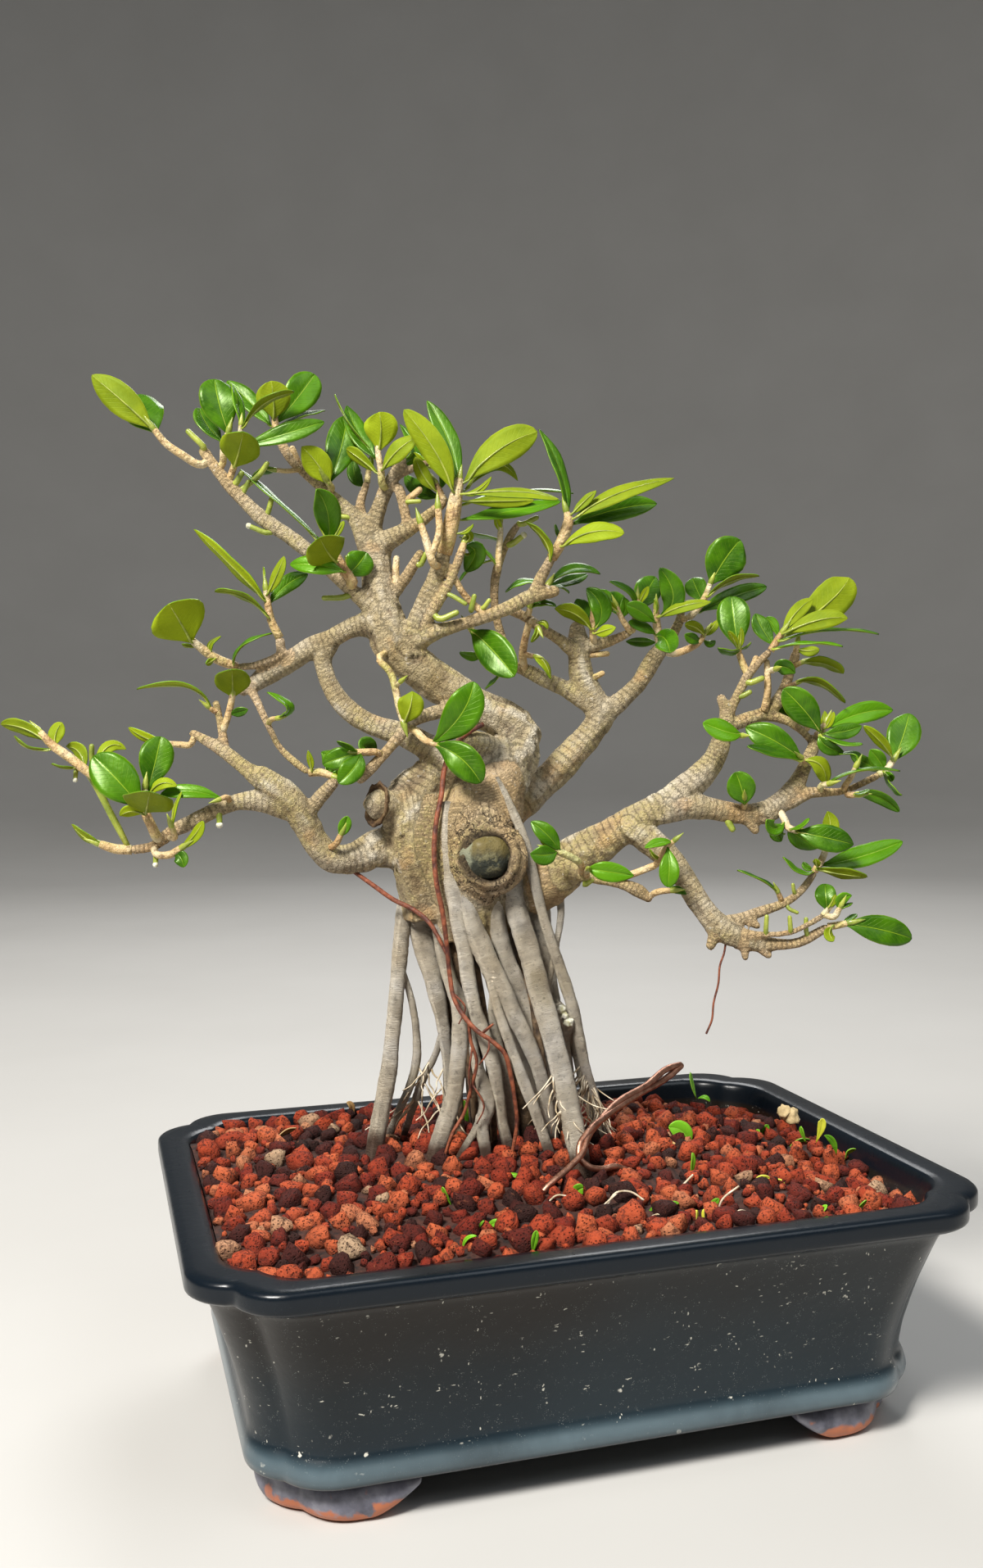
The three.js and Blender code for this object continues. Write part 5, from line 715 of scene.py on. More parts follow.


# Old roots inside the bundle: their own dark bark, made darker as painted shade between the pale roots
old_root_bark_and_shade = plain_finish("old root bark and painted shade", (0.03, 0.018, 0.01), (0.2, 0.13, 0.07), 240, 0.75, 1.5 * MM)

# %% [markdown]
# ## Wood
# The trunk and its limbs have grown into each other, with no seam between them. Tubes that only
# overlap would show a hard crease at each joint. So they are put into one mesh, and a voxel remesh
# melts them into a single skin, as years of growth do. The pillar roots are separate rods, with
# dark gaps between them, which voxels would fill. Only their tops are melted in, and the rods
# themselves are tubes that start inside the skin, as the thinnest twigs are.

# %% Runs of the limbs and the roots
THIN = 11
ROOT_DEPTH = 16 * MM
ROOT_TAPER = 0.7
ROOT_STEPS = 12
DOWNWARD = -0.8
TOP_SHARE, TOP_THINNED = 0.4, 0.5


def root_rows(points):
    """A root goes on down into the soil"""
    rows = rows_of(points)
    way = rows[-1, :3] - rows[-2, :3]
    way = way / np.linalg.norm(way)
    way[2] = min(way[2], DOWNWARD)
    end = (*(rows[-1, :3] + way * ROOT_DEPTH), ROOT_TAPER * rows[-1, 3])
    return np.vstack([rows, end])


def root_top(run):
    """The upper part of a root, which thins out to nothing inside the root itself"""
    top = run[: int(TOP_SHARE * len(run))].copy()
    top[:, 3] *= np.linspace(1, TOP_THINNED, len(top))
    return top


limb_runs = {name: rounded(flowing(rows_of(points))) for name, points in LIMBS.items()}
root_runs = {name: flowing(root_rows(points), ROOT_STEPS) for name, points in ROOTS.items()}
thin_names = [name for name, points in LIMBS.items() if max(points[3::4]) < THIN]
thick_runs = [run for name, run in limb_runs.items() if name not in thin_names]
thick_runs += [root_top(run) for run in root_runs.values()]
print(len(thick_runs), "runs melt together,", len(thin_names), "stay thin tubes")

# %% [markdown]
# The knot on the trunk's face is the healed scar of a big limb: a rolled collar of bark round a
# smooth dome. The collar is one more tube in the melt, bent into a ring. The dome comes later, as
# it has a finish of its own.

# %% The knot's collar
KNOT = (599, 1048, 24.5)
COLLAR_ACROSS, COLLAR_DOWN = 30, 32
COLLAR_WIDTH = 13


def collar_rows(swell, toward):
    """A ring of rows round the knot, with lumps in it"""
    rows = []
    for angle in np.linspace(0, TURN, 21):
        across = KNOT[0] + swell * COLLAR_ACROSS * math.cos(angle)
        down = KNOT[1] + swell * COLLAR_DOWN * math.sin(angle)
        width = COLLAR_WIDTH * (1 + 0.14 * math.sin(3 * angle + 1) + 0.08 * math.sin(7 * angle))
        rows.append((across, down, KNOT[2] + toward + 0.8 * math.cos(2 * angle), width))
    return rows


for swell, toward in ((1, 0), (1.3, -3)):
    thick_runs.append(flowing(rows_of(collar_rows(swell, toward))))
print("the collar is", round(span(2 * COLLAR_ACROSS, KNOT[2]) / MM), "mm across")

# %% Melt the wood into one skin
VOXEL = 0.85 * MM
melt = linked("melt", tubes(thick_runs, 16))
remesh = melt.modifiers.new("melt", "REMESH")
remesh.mode = "VOXEL"
remesh.voxel_size = VOXEL
remesh.use_smooth_shade = True
soften = melt.modifiers.new("soften", "SMOOTH")
soften.factor = 0.5
soften.iterations = 4
wood = settled(melt)
rods = tubes(root_runs.values(), 20)
print("the melted skin has", len(wood.vertices), "points, the rods", len(rods.vertices))

# %% [markdown]
# Bark has a grain: its ridges run along the limb and its rings run round it. For that, each point
# of the skin is told where it is on the limb below it: across, across the other way, and along.
# The relief is sculpted from noise in those coordinates. The finish reads them too, but shifted
# from ring to ring, so that no streak of its pattern runs on for long.

# %% Rings along a limb
def ringed(run):
    """Centre, tangent, side, other side and distance along, for each row of a run"""
    ways = np.gradient(run[:, :3], axis=0)
    ways /= np.linalg.norm(ways, axis=1)[:, None] + 1e-9
    gaps = np.linalg.norm(np.diff(run[:, :3], axis=0), axis=1)
    along = np.concatenate([[0], np.cumsum(gaps)])
    side = Vector(ways[0]).orthogonal().normalized()
    rings = []
    for row, way, distance in zip(run, ways, along):
        way = Vector(way)
        side = (side - way * side.dot(way)).normalized()
        rings.append((Vector(row[:3]), way, side, way.cross(side), distance, row[3]))
    return rings


def grown(rings):
    """A tree of the rings' centres, to find the nearest ones fast"""
    tree = KDTree(len(rings))
    for i, ring in enumerate(rings):
        tree.insert(ring[0], i)
    tree.balance()
    return tree


print("the trunk has", len(ringed(limb_runs["trunk"])), "rings")

# %% Numbers in and out of a mesh
def numbers(items, name):
    """A vector of each item of a mesh, as rows"""
    values = np.empty(len(items) * 3)
    items.foreach_get(name, values)
    return values.reshape(-1, 3)


def store(mesh, name, values):
    """Keeps a value, or a vector, for each point of a mesh"""
    kind, field = ("FLOAT_VECTOR", "vector") if values.ndim > 1 else ("FLOAT", "value")
    mesh.attributes.new(name, kind, "POINT").data.foreach_set(field, values.ravel())


print("the skin's size in mm:", (np.ptp(numbers(wood.vertices, "co"), axis=0) / MM).round())

# %% [markdown]
# The relief has three sizes: long flutes, as the limbs swell where sap flows, lumps where old
# shoots were, and the small roughness of the bark. Roots are smoother, with fine rings round them.
# All three fade on thin twigs, which are young and even.

# %% Grain and relief
FULL_GIRTH = 9 * MM
FLUTES, ROUGHNESS, RINGS, LUMPS = (210, 26), (430, 260), (30, 700), 95
SHIFT, SHIFTS = 0.1, 7
YOUNG_ROUGH, YOUNG_DEPTH = 0.4, 0.35


def grained(x, y, z, across, along):
    """Noise that is fine across the grain and long along it, or the other way"""
    return noise.noise(Vector((x * across, y * across, z * along)))


def sculpt(mesh, runs, flute, lump, rough, ring_depth=0):
    """Gives a mesh of wood its grain, its girth and its relief"""
    rings = [ring for run in runs for ring in ringed(run)]
    tree = grown(rings)
    places, normals = numbers(mesh.vertices, "co"), numbers(mesh.vertices, "normal")
    grain = np.empty_like(places)
    relief = np.empty(len(places))
    girth = np.empty(len(places))
    for i, place in enumerate(places):
        place = Vector(place)
        found = tree.find_n(place, 3)
        index = min(found, key=lambda hit: hit[2] / max(rings[hit[1]][5], MM))[1]
        centre, way, side, other, along, radius = rings[index]
        offset = place - centre
        x, y, z = offset.dot(side), offset.dot(other), along + offset.dot(way)
        grain[i] = x, y, z + SHIFT * (index % SHIFTS)
        bulk = min(1, radius / FULL_GIRTH)
        depth = flute * grained(x, y, z, *FLUTES)
        depth += lump * noise.noise(place * LUMPS) * bulk
        depth += rough * grained(x, y, z, *ROUGHNESS) * (YOUNG_ROUGH + (1 - YOUNG_ROUGH) * bulk)
        depth += ring_depth * grained(x, y, z, *RINGS)
        relief[i] = depth * (YOUNG_DEPTH + (1 - YOUNG_DEPTH) * bulk)
        girth[i] = bulk
    mesh.vertices.foreach_set("co", (places + normals * relief[:, None]).ravel())
    mesh.update()
    store(mesh, "grain", grain)
    store(mesh, "swell", relief / (flute + lump))
    store(mesh, "girth", girth)
    print("sculpted", len(places), "points, relief of", round(float(np.ptp(relief)) / MM, 2), "mm")


print("bark is at its roughest from", round(2 * FULL_GIRTH / MM), "mm across")

# %% Sculpt the skin and the rods
sculpt(wood, thick_runs, 1.1 * MM, 1.5 * MM, 0.55 * MM)
sculpt(rods, list(root_runs.values()), 1.2 * MM, 2 * MM, 0.5 * MM, 0.28 * MM)

# %% [markdown]
# One skin of this size would be too heavy as a single piece, so a level plane cuts it into a trunk
# piece and a limb piece. Each cut is closed with a cap, and since both come from one skin, they
# meet with no step.

# %% Cut the skin into pieces
CUT_LEVELS = (0, 222 * MM, 1)


def slab(mesh, low, high):
    """The part of a mesh between two levels, with its cuts closed"""
    bm = bmesh.new()
    bm.from_mesh(mesh)
    for level, way in ((low, -1), (high, 1)):
        geometry = bm.verts[:] + bm.edges[:] + bm.faces[:]
        options = {"plane_co": (0, 0, level), "plane_no": (0, 0, way), "clear_outer": True}
        bmesh.ops.bisect_plane(bm, geom=geometry, **options)
        rim = [edge for edge in bm.edges if edge.is_boundary]
        for edge in rim:
            edge.smooth = False
        caps = bmesh.ops.holes_fill(bm, edges=rim, sides=0)["faces"]
        bmesh.ops.triangulate(bm, faces=caps)
    return meshed(bm, "slab")


print("the skin is cut at", round(CUT_LEVELS[1] / MM), "mm")

# %% [markdown]
# ### Bark
# Banyan bark is thin and pale: beige and grey, tan on young wood, with ochre lichen in patches and
# dark grain in the flutes. Pillar roots are paler and smoother, with fine rings round them. Where
# wood enters the gravel it stays wet and dark. All of this is noise, read either in space or in
# the coordinates along the grain that the sculpting stored.

# %% The patterns that all bark shares
DAMP_TOP, DAMP_FOOT = 103 * MM, 95 * MM
BEND = 2.2 * MM


def bark_patterns(f):
    """The masks that every bark is mixed from"""
    place = f.place()
    grain = f.attribute("grain", "Vector")
    blotch = f.noise(place, 42, 4, 0.6)
    bent = f.bent(place, 260, 3, BEND)
    height = f.split(place)[2] + (blotch - 0.5) * 0.02
    return SimpleNamespace(
        place=place,
        grain=grain,
        bent=bent,
        blotch=blotch,
        swell=f.attribute("swell"),
        fine=f.noise(place, 480, 5, 0.65),
        grit=f.noise(place, 1100, 4, 0.7),
        streak=f.noise(f.stretch(grain, (380, 380, 45)), 1, 5, 0.6),
        rings=f.noise(f.stretch(grain, (40, 40, 460)), 1, 4, 0.7),
        scales=f.cells(bent, 620, "DISTANCE_TO_EDGE").between(0, 0.22),
        wet=height.between(DAMP_TOP, DAMP_FOOT),
    )


print("the wood is wet below", round(DAMP_FOOT / MM), "mm")

# %% [markdown]
# Wear and painted light go on trunk and roots in one order: dark grain, painted shade in the hollows,
# a painted highlight on the crests, dark pores and pale dust. Only their strength differs, so one
# function lays them on both.

# %% Weathering, with painted shade and a painted highlight
# The hollow brown is painted shade, the crest cream a painted highlight and, on roots, the pale of rings
GRAIN_BROWN, HOLLOW_SHADE_BROWN, PORE_BROWN = (0.15, 0.1, 0.06), (0.11, 0.07, 0.04), (0.1, 0.065, 0.035)
CREST_HIGHLIGHT_AND_RING_CREAM, DUST_GREY = (0.84, 0.8, 0.7), (0.76, 0.7, 0.6)
WET_BROWN, CRACK_BROWN = (0.075, 0.028, 0.014), (0.04, 0.026, 0.013)


def worn_and_painted_light(f, m, base, hollow_shade, pores):
    """The colour with its grain, painted shade in hollows, a painted highlight on crests, pores and dust
    """
    base = f.blend(m.streak.between(0.44, 0.3) * 0.5, base, GRAIN_BROWN)
    # Painted shade in the hollows of the relief, and a painted highlight on its crests
    base = f.blend(m.swell.between(-0.05, -0.4) * hollow_shade, base, HOLLOW_SHADE_BROWN)
    base = f.blend(m.swell.between(0.1, 0.4) * 0.4, base, CREST_HIGHLIGHT_AND_RING_CREAM)
    base = f.blend(m.fine.between(0.43, 0.33) * pores, base, PORE_BROWN)
    return f.blend(m.fine.between(0.6, 0.72) * 0.6, base, DUST_GREY)


print("wet bark is", round(CREST_HIGHLIGHT_AND_RING_CREAM[0] / WET_BROWN[0]), "times darker than a crest")

# %% [markdown]
# Round the knot the bark is dark and cracked. A crack is a line where a noise passes through its
# middle value, as a contour line on a map is. Cells would give the look of scales instead.

# %% Cracks round the knot
SCAR_MIDDLE = spot(KNOT[0] - 6, KNOT[1] - 3, KNOT[2] - 2.4)
CRACKED, WHOLE = 16 * MM, 24 * MM
RIM_IN, RIM_OUT = 10.4 * MM, 12.4 * MM


def knot_cracks(f, m):
    """Masks of the cracks round the knot, and of the dark rim of its dome"""
    far = f.node("VectorMath", {"operation": "DISTANCE"}, {0: m.place, 1: SCAR_MIDDLE}, 1)
    coarse, fine = [(f.noise(m.bent, size, 3, 0.6) - 0.5).math("ABSOLUTE") for size in (120, 210)]
    lines = coarse.between(0.02, 0.005) + fine.between(0.02, 0.005) * 0.6
    return lines * far.between(WHOLE, CRACKED), far.between(RIM_OUT, RIM_IN)


print("the knot's middle is at", [round(part / MM, 1) for part in SCAR_MIDDLE], "mm")

# %% The bark of trunk and limbs
def bark_finish():
    """Pale bark with lichen, tan where the wood is young"""
    f = Finish("banyan bark", Specular_IOR_Level=0.3)
    m = bark_patterns(f)
    tones = [(0.3, (0.32, 0.24, 0.11)), (0.5, (0.42, 0.34, 0.2)), (0.7, (0.55, 0.48, 0.36))]
    base = f.ramp(m.blotch, tones)
    young = f.attribute("girth").between(0.42, 0.2)
    base = f.blend(young * 0.45, base, (0.6, 0.38, 0.18))
    lichen = f.noise(m.place, 26, 5, 0.65).between(0.47, 0.6) * m.fine.between(0.35, 0.6)
    base = f.blend(lichen * 0.6, base, (0.5, 0.42, 0.16))
    rust = f.noise(m.place, 60, 3).between(0.58, 0.7)
    base = f.blend(rust * 0.4, base, (0.56, 0.32, 0.13))
    base = worn_and_painted_light(f, m, base, 0.6, 0.6)
    base = f.blend(m.grit.between(0.43, 0.35) * 0.45, base, PORE_BROWN)
    base = f.blend(m.wet * 0.92, base, WET_BROWN)
    furrow = f.cells(f.stretch(m.grain, (330, 330, 105)), 1, "DISTANCE_TO_EDGE")
    furrow = 1 - furrow.between(0, 0.1)
    cracks, rim = knot_cracks(f, m)
    base = f.blend(cracks * 0.75, base, CRACK_BROWN)
    base = f.blend(rim * 0.85, base, CRACK_BROWN)
    base = f.blend((1 - m.scales) * 0.06, base, GRAIN_BROWN)
    base = f.blend(furrow * m.blotch.between(0.4, 0.6) * 0.12, base, CRACK_BROWN)
    relief = m.streak * 0.5 + m.fine * 1.2 + m.grit * 0.5 + m.rings * 0.1 + m.scales * 0.12
    relief = relief - furrow * 0.1 - cracks * 1.3
    return f.finish(base, 0.8 - m.wet * 0.3, relief, 1.5 * MM)


bark = bark_finish()

# %% The bark of the pillar roots
SPLIT_BROWN = (0.16, 0.11, 0.07)


def root_finish():
    """Paler bark with fine rings and splits across it"""
    f = Finish("pillar root bark", Specular_IOR_Level=0.3)
    m = bark_patterns(f)
    tones = [(0.3, (0.72, 0.61, 0.44)), (0.5, (0.9, 0.81, 0.65)), (0.7, (0.96, 0.91, 0.82))]
    base = f.ramp(m.blotch, tones)
    stain = f.noise(m.place, 34, 4, 0.6).between(0.54, 0.68)
    base = f.blend(stain * 0.45, base, (0.46, 0.37, 0.2))
    base = worn_and_painted_light(f, m, base, 0.65, 0.35)
    base = f.blend(m.rings.between(0.46, 0.36) * 0.5, base, (0.25, 0.19, 0.13))
    base = f.blend(m.rings.between(0.6, 0.68) * 0.45, base, CREST_HIGHLIGHT_AND_RING_CREAM)
    splits = f.noise(f.stretch(m.grain, (55, 55, 260)), 1, 4, 0.6) - 0.5
    splits = splits.math("ABSOLUTE").between(0.035, 0.01)
    splits = splits * f.noise(m.place, 90, 3).between(0.48, 0.6)
    base = f.blend(splits * 0.5, base, SPLIT_BROWN)
    base = f.blend(m.wet * 0.92, base, WET_BROWN)
    ridges = f.noise(f.stretch(m.grain, (230, 230, 70)), 1, 3)
    relief = m.streak * 0.6 + m.fine * 0.8 + m.grit * 0.3 + m.rings * 0.9 - splits * 0.5
    relief = relief + ridges * 1.6
    return f.finish(base, 0.8 - m.wet * 0.3, relief, 2 * MM)


root_bark = root_finish()

# %% [markdown]
# Twigs of the last years are tan and olive, with the pale dots of lenticels, the pores that young
# bark breathes through.

# %% The bark of twigs
def twig_finish():
    """Tan and green young bark with pale dots"""
    f = Finish("young twig", Specular_IOR_Level=0.4)
    place = f.place()
    tones = [(0.32, (0.34, 0.2, 0.08)), (0.5, (0.53, 0.38, 0.18)), (0.68, (0.6, 0.53, 0.36))]
    base = f.ramp(f.noise(place, 70, 4), tones)
    base = f.blend(f.noise(place, 45, 3).between(0.52, 0.66) * 0.55, base, (0.3, 0.34, 0.06))
    lenticels = f.cells(place, 1100).between(0.24, 0.14)
    base = f.blend(lenticels * 0.5, base, (0.72, 0.64, 0.5))
    base = f.blend(f.noise(place, 420, 4).between(0.45, 0.34) * 0.6, base, (0.15, 0.08, 0.04))
    return f.finish(base, 0.6, f.noise(place, 600, 3) + f.noise(place, 160, 2), 1.2 * MM)


twig_bark = twig_finish()

# %% [markdown]
# Every finished piece gets its finishes and is put on the body that carries it. Where it stands for
# a plain solid, that solid is hidden.

# %% Finished pieces
def keep(name, mesh, slot, *finishes):
    """A finished piece: its object, finishes and body; the slot is not used"""
    piece = linked(name, mesh)
    for i, finish in enumerate(finishes):
        if i == len(mesh.materials):
            mesh.materials.append(None)
        mesh.materials[i] = finish
    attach(piece, "root")
    print(name, "has", len(mesh.polygons), "faces")
    return piece

# %% Trunk, limbs, roots and twigs
wood_pieces = []
for name, low, high in zip(("trunk_wood", "limb_wood"), CUT_LEVELS, CUT_LEVELS[1:]):
    wood_pieces.append(keep(name, slab(wood, low, high), "bark", bark))
wood_pieces.append(keep("pillar_roots", rods, "bark", root_bark))
thin = tubes([limb_runs[name] for name in thin_names], 10)
wood_pieces.append(keep("thin_twigs", thin, "bark", twig_bark))

# %% [markdown]
# Between the pale roots one looks into the old ones behind them. A few rough rods stand there, and
# their very dark colour is partly their own and partly painted shade, so the bundle is as deep and
# shaded as the real one.

# %% Old roots inside the bundle
inner_runs = [flowing(root_rows(points), ROOT_STEPS) for points in INNER_ROOTS]
inner = tubes(inner_runs, 12)
sculpt(inner, inner_runs, 1.2 * MM, 1.2 * MM, 0.3 * MM)
wood_pieces.append(keep("inner_roots", inner, "bark", old_root_bark_and_shade))
for piece in wood_pieces:
    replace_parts(piece, "trunk")

# %% [markdown]
# ## Leaves
# A banyan leaf is a glossy blade, widest past its middle, with a blunt point. It is folded a
# little along its midrib, its margin waves, and its short stalk runs on under it as a rib. A
# picture on a card would be lighter, but it has no thickness and no curl, so each blade is a grid
# whose points are moved onto the leaf's own bent line.

# %% The line and the side of a leaf
WIDTH, LEAF_TURN = 9, 10


def lie_of(leaf):
    """A leaf's start, control and end point, its half width, and its middle"""
    start, centre, end = spot(*leaf[:3]), spot(*leaf[3:6]), spot(*leaf[6:9])
    control = centre * 2 - (start + end) / 2
    return start, control, end, span(leaf[WIDTH], leaf[5]) / 2, centre


def upper_side(centre, along, turn):
    """The way that a leaf's upper face looks"""
    up = EYE - centre
    up = (up - along * up.dot(along)).normalized()
    return Matrix.Rotation(math.radians(turn), 3, along) @ up


def on_curve(start, control, end, share):
    """Place and direction at a share of a bent line"""
    place = start * (1 - share) ** 2 + control * 2 * share * (1 - share) + end * share**2
    way = (control - start) * (1 - share) + (end - control) * share
    return place, way.normalized()


all_leaves = [leaf for shoots in (SPRAYS, ON_WOOD) for _, leaves in shoots.values() for leaf in leaves]
lengths = [(spot(*leaf[6:9]) - spot(*leaf[:3])).length / MM for leaf in all_leaves]
print(len(all_leaves), "leaves,", round(min(lengths)), "to", round(max(lengths)), "mm long")

# %% [markdown]
# Each blade gets its own outline, between a blunt and a pointed one, its own wave in the margin,
# and a shade that its finish reads. The rows stand closer near the tip, where the outline turns.

# %% One blade
SHARES = (0, 0.05, 0.12, 0.25, 0.4, 0.55, 0.7, 0.82, 0.9, 0.95, 0.98, 1)
BLUNT = np.array((0.05, 0.1, 0.26, 0.6, 0.88, 1, 0.98, 0.85, 0.67, 0.47, 0.3, 0))
POINTED = np.array((0.05, 0.12, 0.36, 0.74, 0.96, 1, 0.9, 0.68, 0.43, 0.24, 0.11, 0))
COLUMNS = (0, 0.12, 0.4, 0.72, 1)
HALF_COLUMNS, BLADE_ROWS = len(COLUMNS) - 1, 14
FOLD, DROOP, WAVE = 0.16, 0.07, 0.09
CROWDED = 1.4
GROOVE = 0.22 * MM
chance = random.Random(7)


def add_blade(bm, leaf):
    """Adds a leaf's blade to the bmesh"""
    start, control, end, half, centre = lie_of(leaf)
    tone, phase = chance.random(), chance.uniform(0, 6.28)
    breadths = BLUNT + chance.random() * (POINTED - BLUNT)
    waves = TURN * chance.uniform(1.2, 2.2)
    sizes = {"x_segments": 2 * HALF_COLUMNS, "y_segments": BLADE_ROWS, "size": 1}
    made = bmesh.ops.create_grid(bm, calc_uvs=False, **sizes)
    uv = bm.loops.layers.uv["blade"]
    tones = bm.verts.layers.float["tone"]
    for face in {face for vert in made["verts"] for face in vert.link_faces}:
        for loop in face.loops:
            loop[uv].uv = (loop.vert.co.x / 2 + 0.5, loop.vert.co.y / 2 + 0.5)
    for vert in made["verts"]:
        column = round(vert.co.x * HALF_COLUMNS)
        side = (column > 0) - (column < 0)
        u = side * COLUMNS[abs(column)]
        share = 1 - ((1 - vert.co.y) / 2) ** CROWDED
        place, along = on_curve(start, control, end, share)
        up = upper_side(centre, along, leaf[LEAF_TURN])
        breadth = half * float(np.interp(share, SHARES, breadths))
        wave = WAVE * math.sin(phase + waves * share + side)
        lift = FOLD * abs(u) ** 1.25 - DROOP * u**4 + u * u * wave
        lift = lift * breadth - (0 if column else GROOVE)
        vert.co = place + along.cross(up) * (breadth * u) + up * lift
        vert[tones] = tone


print("a blade has", 2 * HALF_COLUMNS * BLADE_ROWS, "faces on each side")

# %% [markdown]
# A Solidify modifier gives the blades their thickness. Its material offset puts the undersides
# in the next slot, so they get a paler finish of their own.

# %% Thick blades
THICKNESS = 0.42 * MM


def bladed(name, leaves):
    """A mesh of blades: upper faces in the first slot, undersides in the next"""
    bm = bmesh.new()
    bm.loops.layers.uv.new("blade")
    bm.verts.layers.float.new("tone")
    for leaf in leaves:
        add_blade(bm, leaf)
    bmesh.ops.remove_doubles(bm, verts=bm.verts, dist=DOUBLES)
    mesh = meshed(bm, name)
    for _ in range(2):
        mesh.materials.append(None)
    holder = linked("blades", mesh)
    wall = holder.modifiers.new("thickness", "SOLIDIFY")
    wall.thickness = THICKNESS
    wall.offset = 0
    wall.material_offset = 1
    return settled(holder)


print("a blade is", round(THICKNESS / MM, 2), "mm thick")

# %% [markdown]
# Under the blade runs its rib, which is the end of its stalk, and the stalk starts on the stem
# nearest to it. A stem in turn starts inside the limb that carries it, so nothing floats.

# %% Stems and stalks that grow from wood
STALK_RADIUS = 0.42 * MM
STALK_SWELL, RIB_DEPTH = 1.25, 0.15 * MM
RIB = ((0, 1), (0.2, 0.85), (0.45, 0.65), (0.7, 0.42), (0.88, 0.2))


def nearest_on(runs, place):
    """The point of some runs that is nearest to a place"""
    place = np.array(place)
    best = None
    for run in runs:
        starts, ways = run[:-1, :3], np.diff(run[:, :3], axis=0)
        shares = np.einsum("ij,ij->i", place - starts, ways)
        shares = np.clip(shares / (np.einsum("ij,ij->i", ways, ways) + 1e-12), 0, 1)
        points = starts + ways * shares[:, None]
        gaps = np.linalg.norm(points - place, axis=1)
        i = int(gaps.argmin())
        if best is None or gaps[i] < best[0]:
            best = (gaps[i], points[i])
    return Vector(best[1])


def stem_runs(stems):
    """The runs of a shoot's stems, each starting in the limb or the stem that carries it"""
    runs = []
    for points in stems:
        rows = rows_of(points)
        start = nearest_on([*limb_runs.values(), *runs], rows[0, :3])
        if (start - Vector(rows[0, :3])).length > rows[0, 3]:
            rows = np.vstack([(*start, rows[0, 3]), rows])
        else:
            rows[0, :3] = start
        runs.append(flowing(rows))
    return runs


def rib_run(leaf, stem_place):
    """The leaf's stalk, which goes on below the blade as its rib"""
    start, control, end, half, centre = lie_of(leaf)
    up = upper_side(centre, (end - start).normalized(), leaf[LEAF_TURN])
    thick = STALK_RADIUS + 0.018 * half
    rows = []
    if (stem_place - start).length > MM:
        rows.append((*stem_place, thick * STALK_SWELL))
    for share, size in RIB:
        place, _ = on_curve(start, control, end, share)
        rows.append((*(place - up * (GROOVE + RIB_DEPTH)), thick * size))
    return flowing(rows, 3)


print("a stalk is at least", round(2 * STALK_RADIUS / MM, 2), "mm thick")

# %% [markdown]
# At the end of a growing stem a pointed sheath holds the next leaf, as on every fig. It is a short
# tube of changing width. Blades, stalks, stems and sheaths then join in one mesh with four slots.

# %% A whole shoot
BUD = ((-0.6, 0.7), (0.3, 1.05), (1.4, 1.1), (3, 0.75), (4.6, 0.35), (5.6, 0.08))
BUD_RADIUS = 1.3 * MM
STALK_SLOT, STEM_SLOT = 2, 3


def bud_run(run):
    """The pointed sheath at the end of a growing stem"""
    way = run[-1, :3] - run[-2, :3]
    way = way / (np.linalg.norm(way) + 1e-9)
    radius = min(run[-1, 3], BUD_RADIUS)
    return np.array([(*(run[-1, :3] + way * radius * far), radius * size) for far, size in BUD])


def add_mesh(bm, mesh, slot):
    """Adds a mesh to a bmesh, with all its faces in one material slot"""
    before = len(bm.faces)
    bm.from_mesh(mesh)
    bm.faces.ensure_lookup_table()
    for face in bm.faces[before:]:
        face.material_index = slot
    bpy.data.meshes.remove(mesh)


def shoot(name, stems, leaves):
    """A whole shoot: blades, stalks, stems and buds in one mesh"""
    stems = stem_runs(stems)
    bm = bmesh.new()
    if leaves:
        bm.from_mesh(bladed(name, leaves))
        ribs = [rib_run(leaf, nearest_on(stems, spot(*leaf[:3]))) for leaf in leaves]
        add_mesh(bm, tubes(ribs, 6), STALK_SLOT)
    add_mesh(bm, tubes([rounded(run) for run in stems], 8), STEM_SLOT)
    add_mesh(bm, tubes([bud_run(run) for run in stems], 8), STALK_SLOT)
    return meshed(bm, name)


print("a sheath is", round(BUD[-1][0] * BUD_RADIUS / MM, 1), "mm long")

# %% [markdown]
# The upper face of a blade is a deep glossy green with a pale midrib, paired side veins and a thin
# pale margin. Its underside is lighter, more yellow and duller. Both patterns follow the blade's
# own UV map, where U runs across and V runs from the stalk to the tip. Side veins are slanted
# stripes: the fraction of V times their number, drawn back towards the margin.

# %% The finishes of leaves
VEIN_PAIRS, VEIN_SLANT, VEIN_WOBBLE = 13, 3.2, 0.48


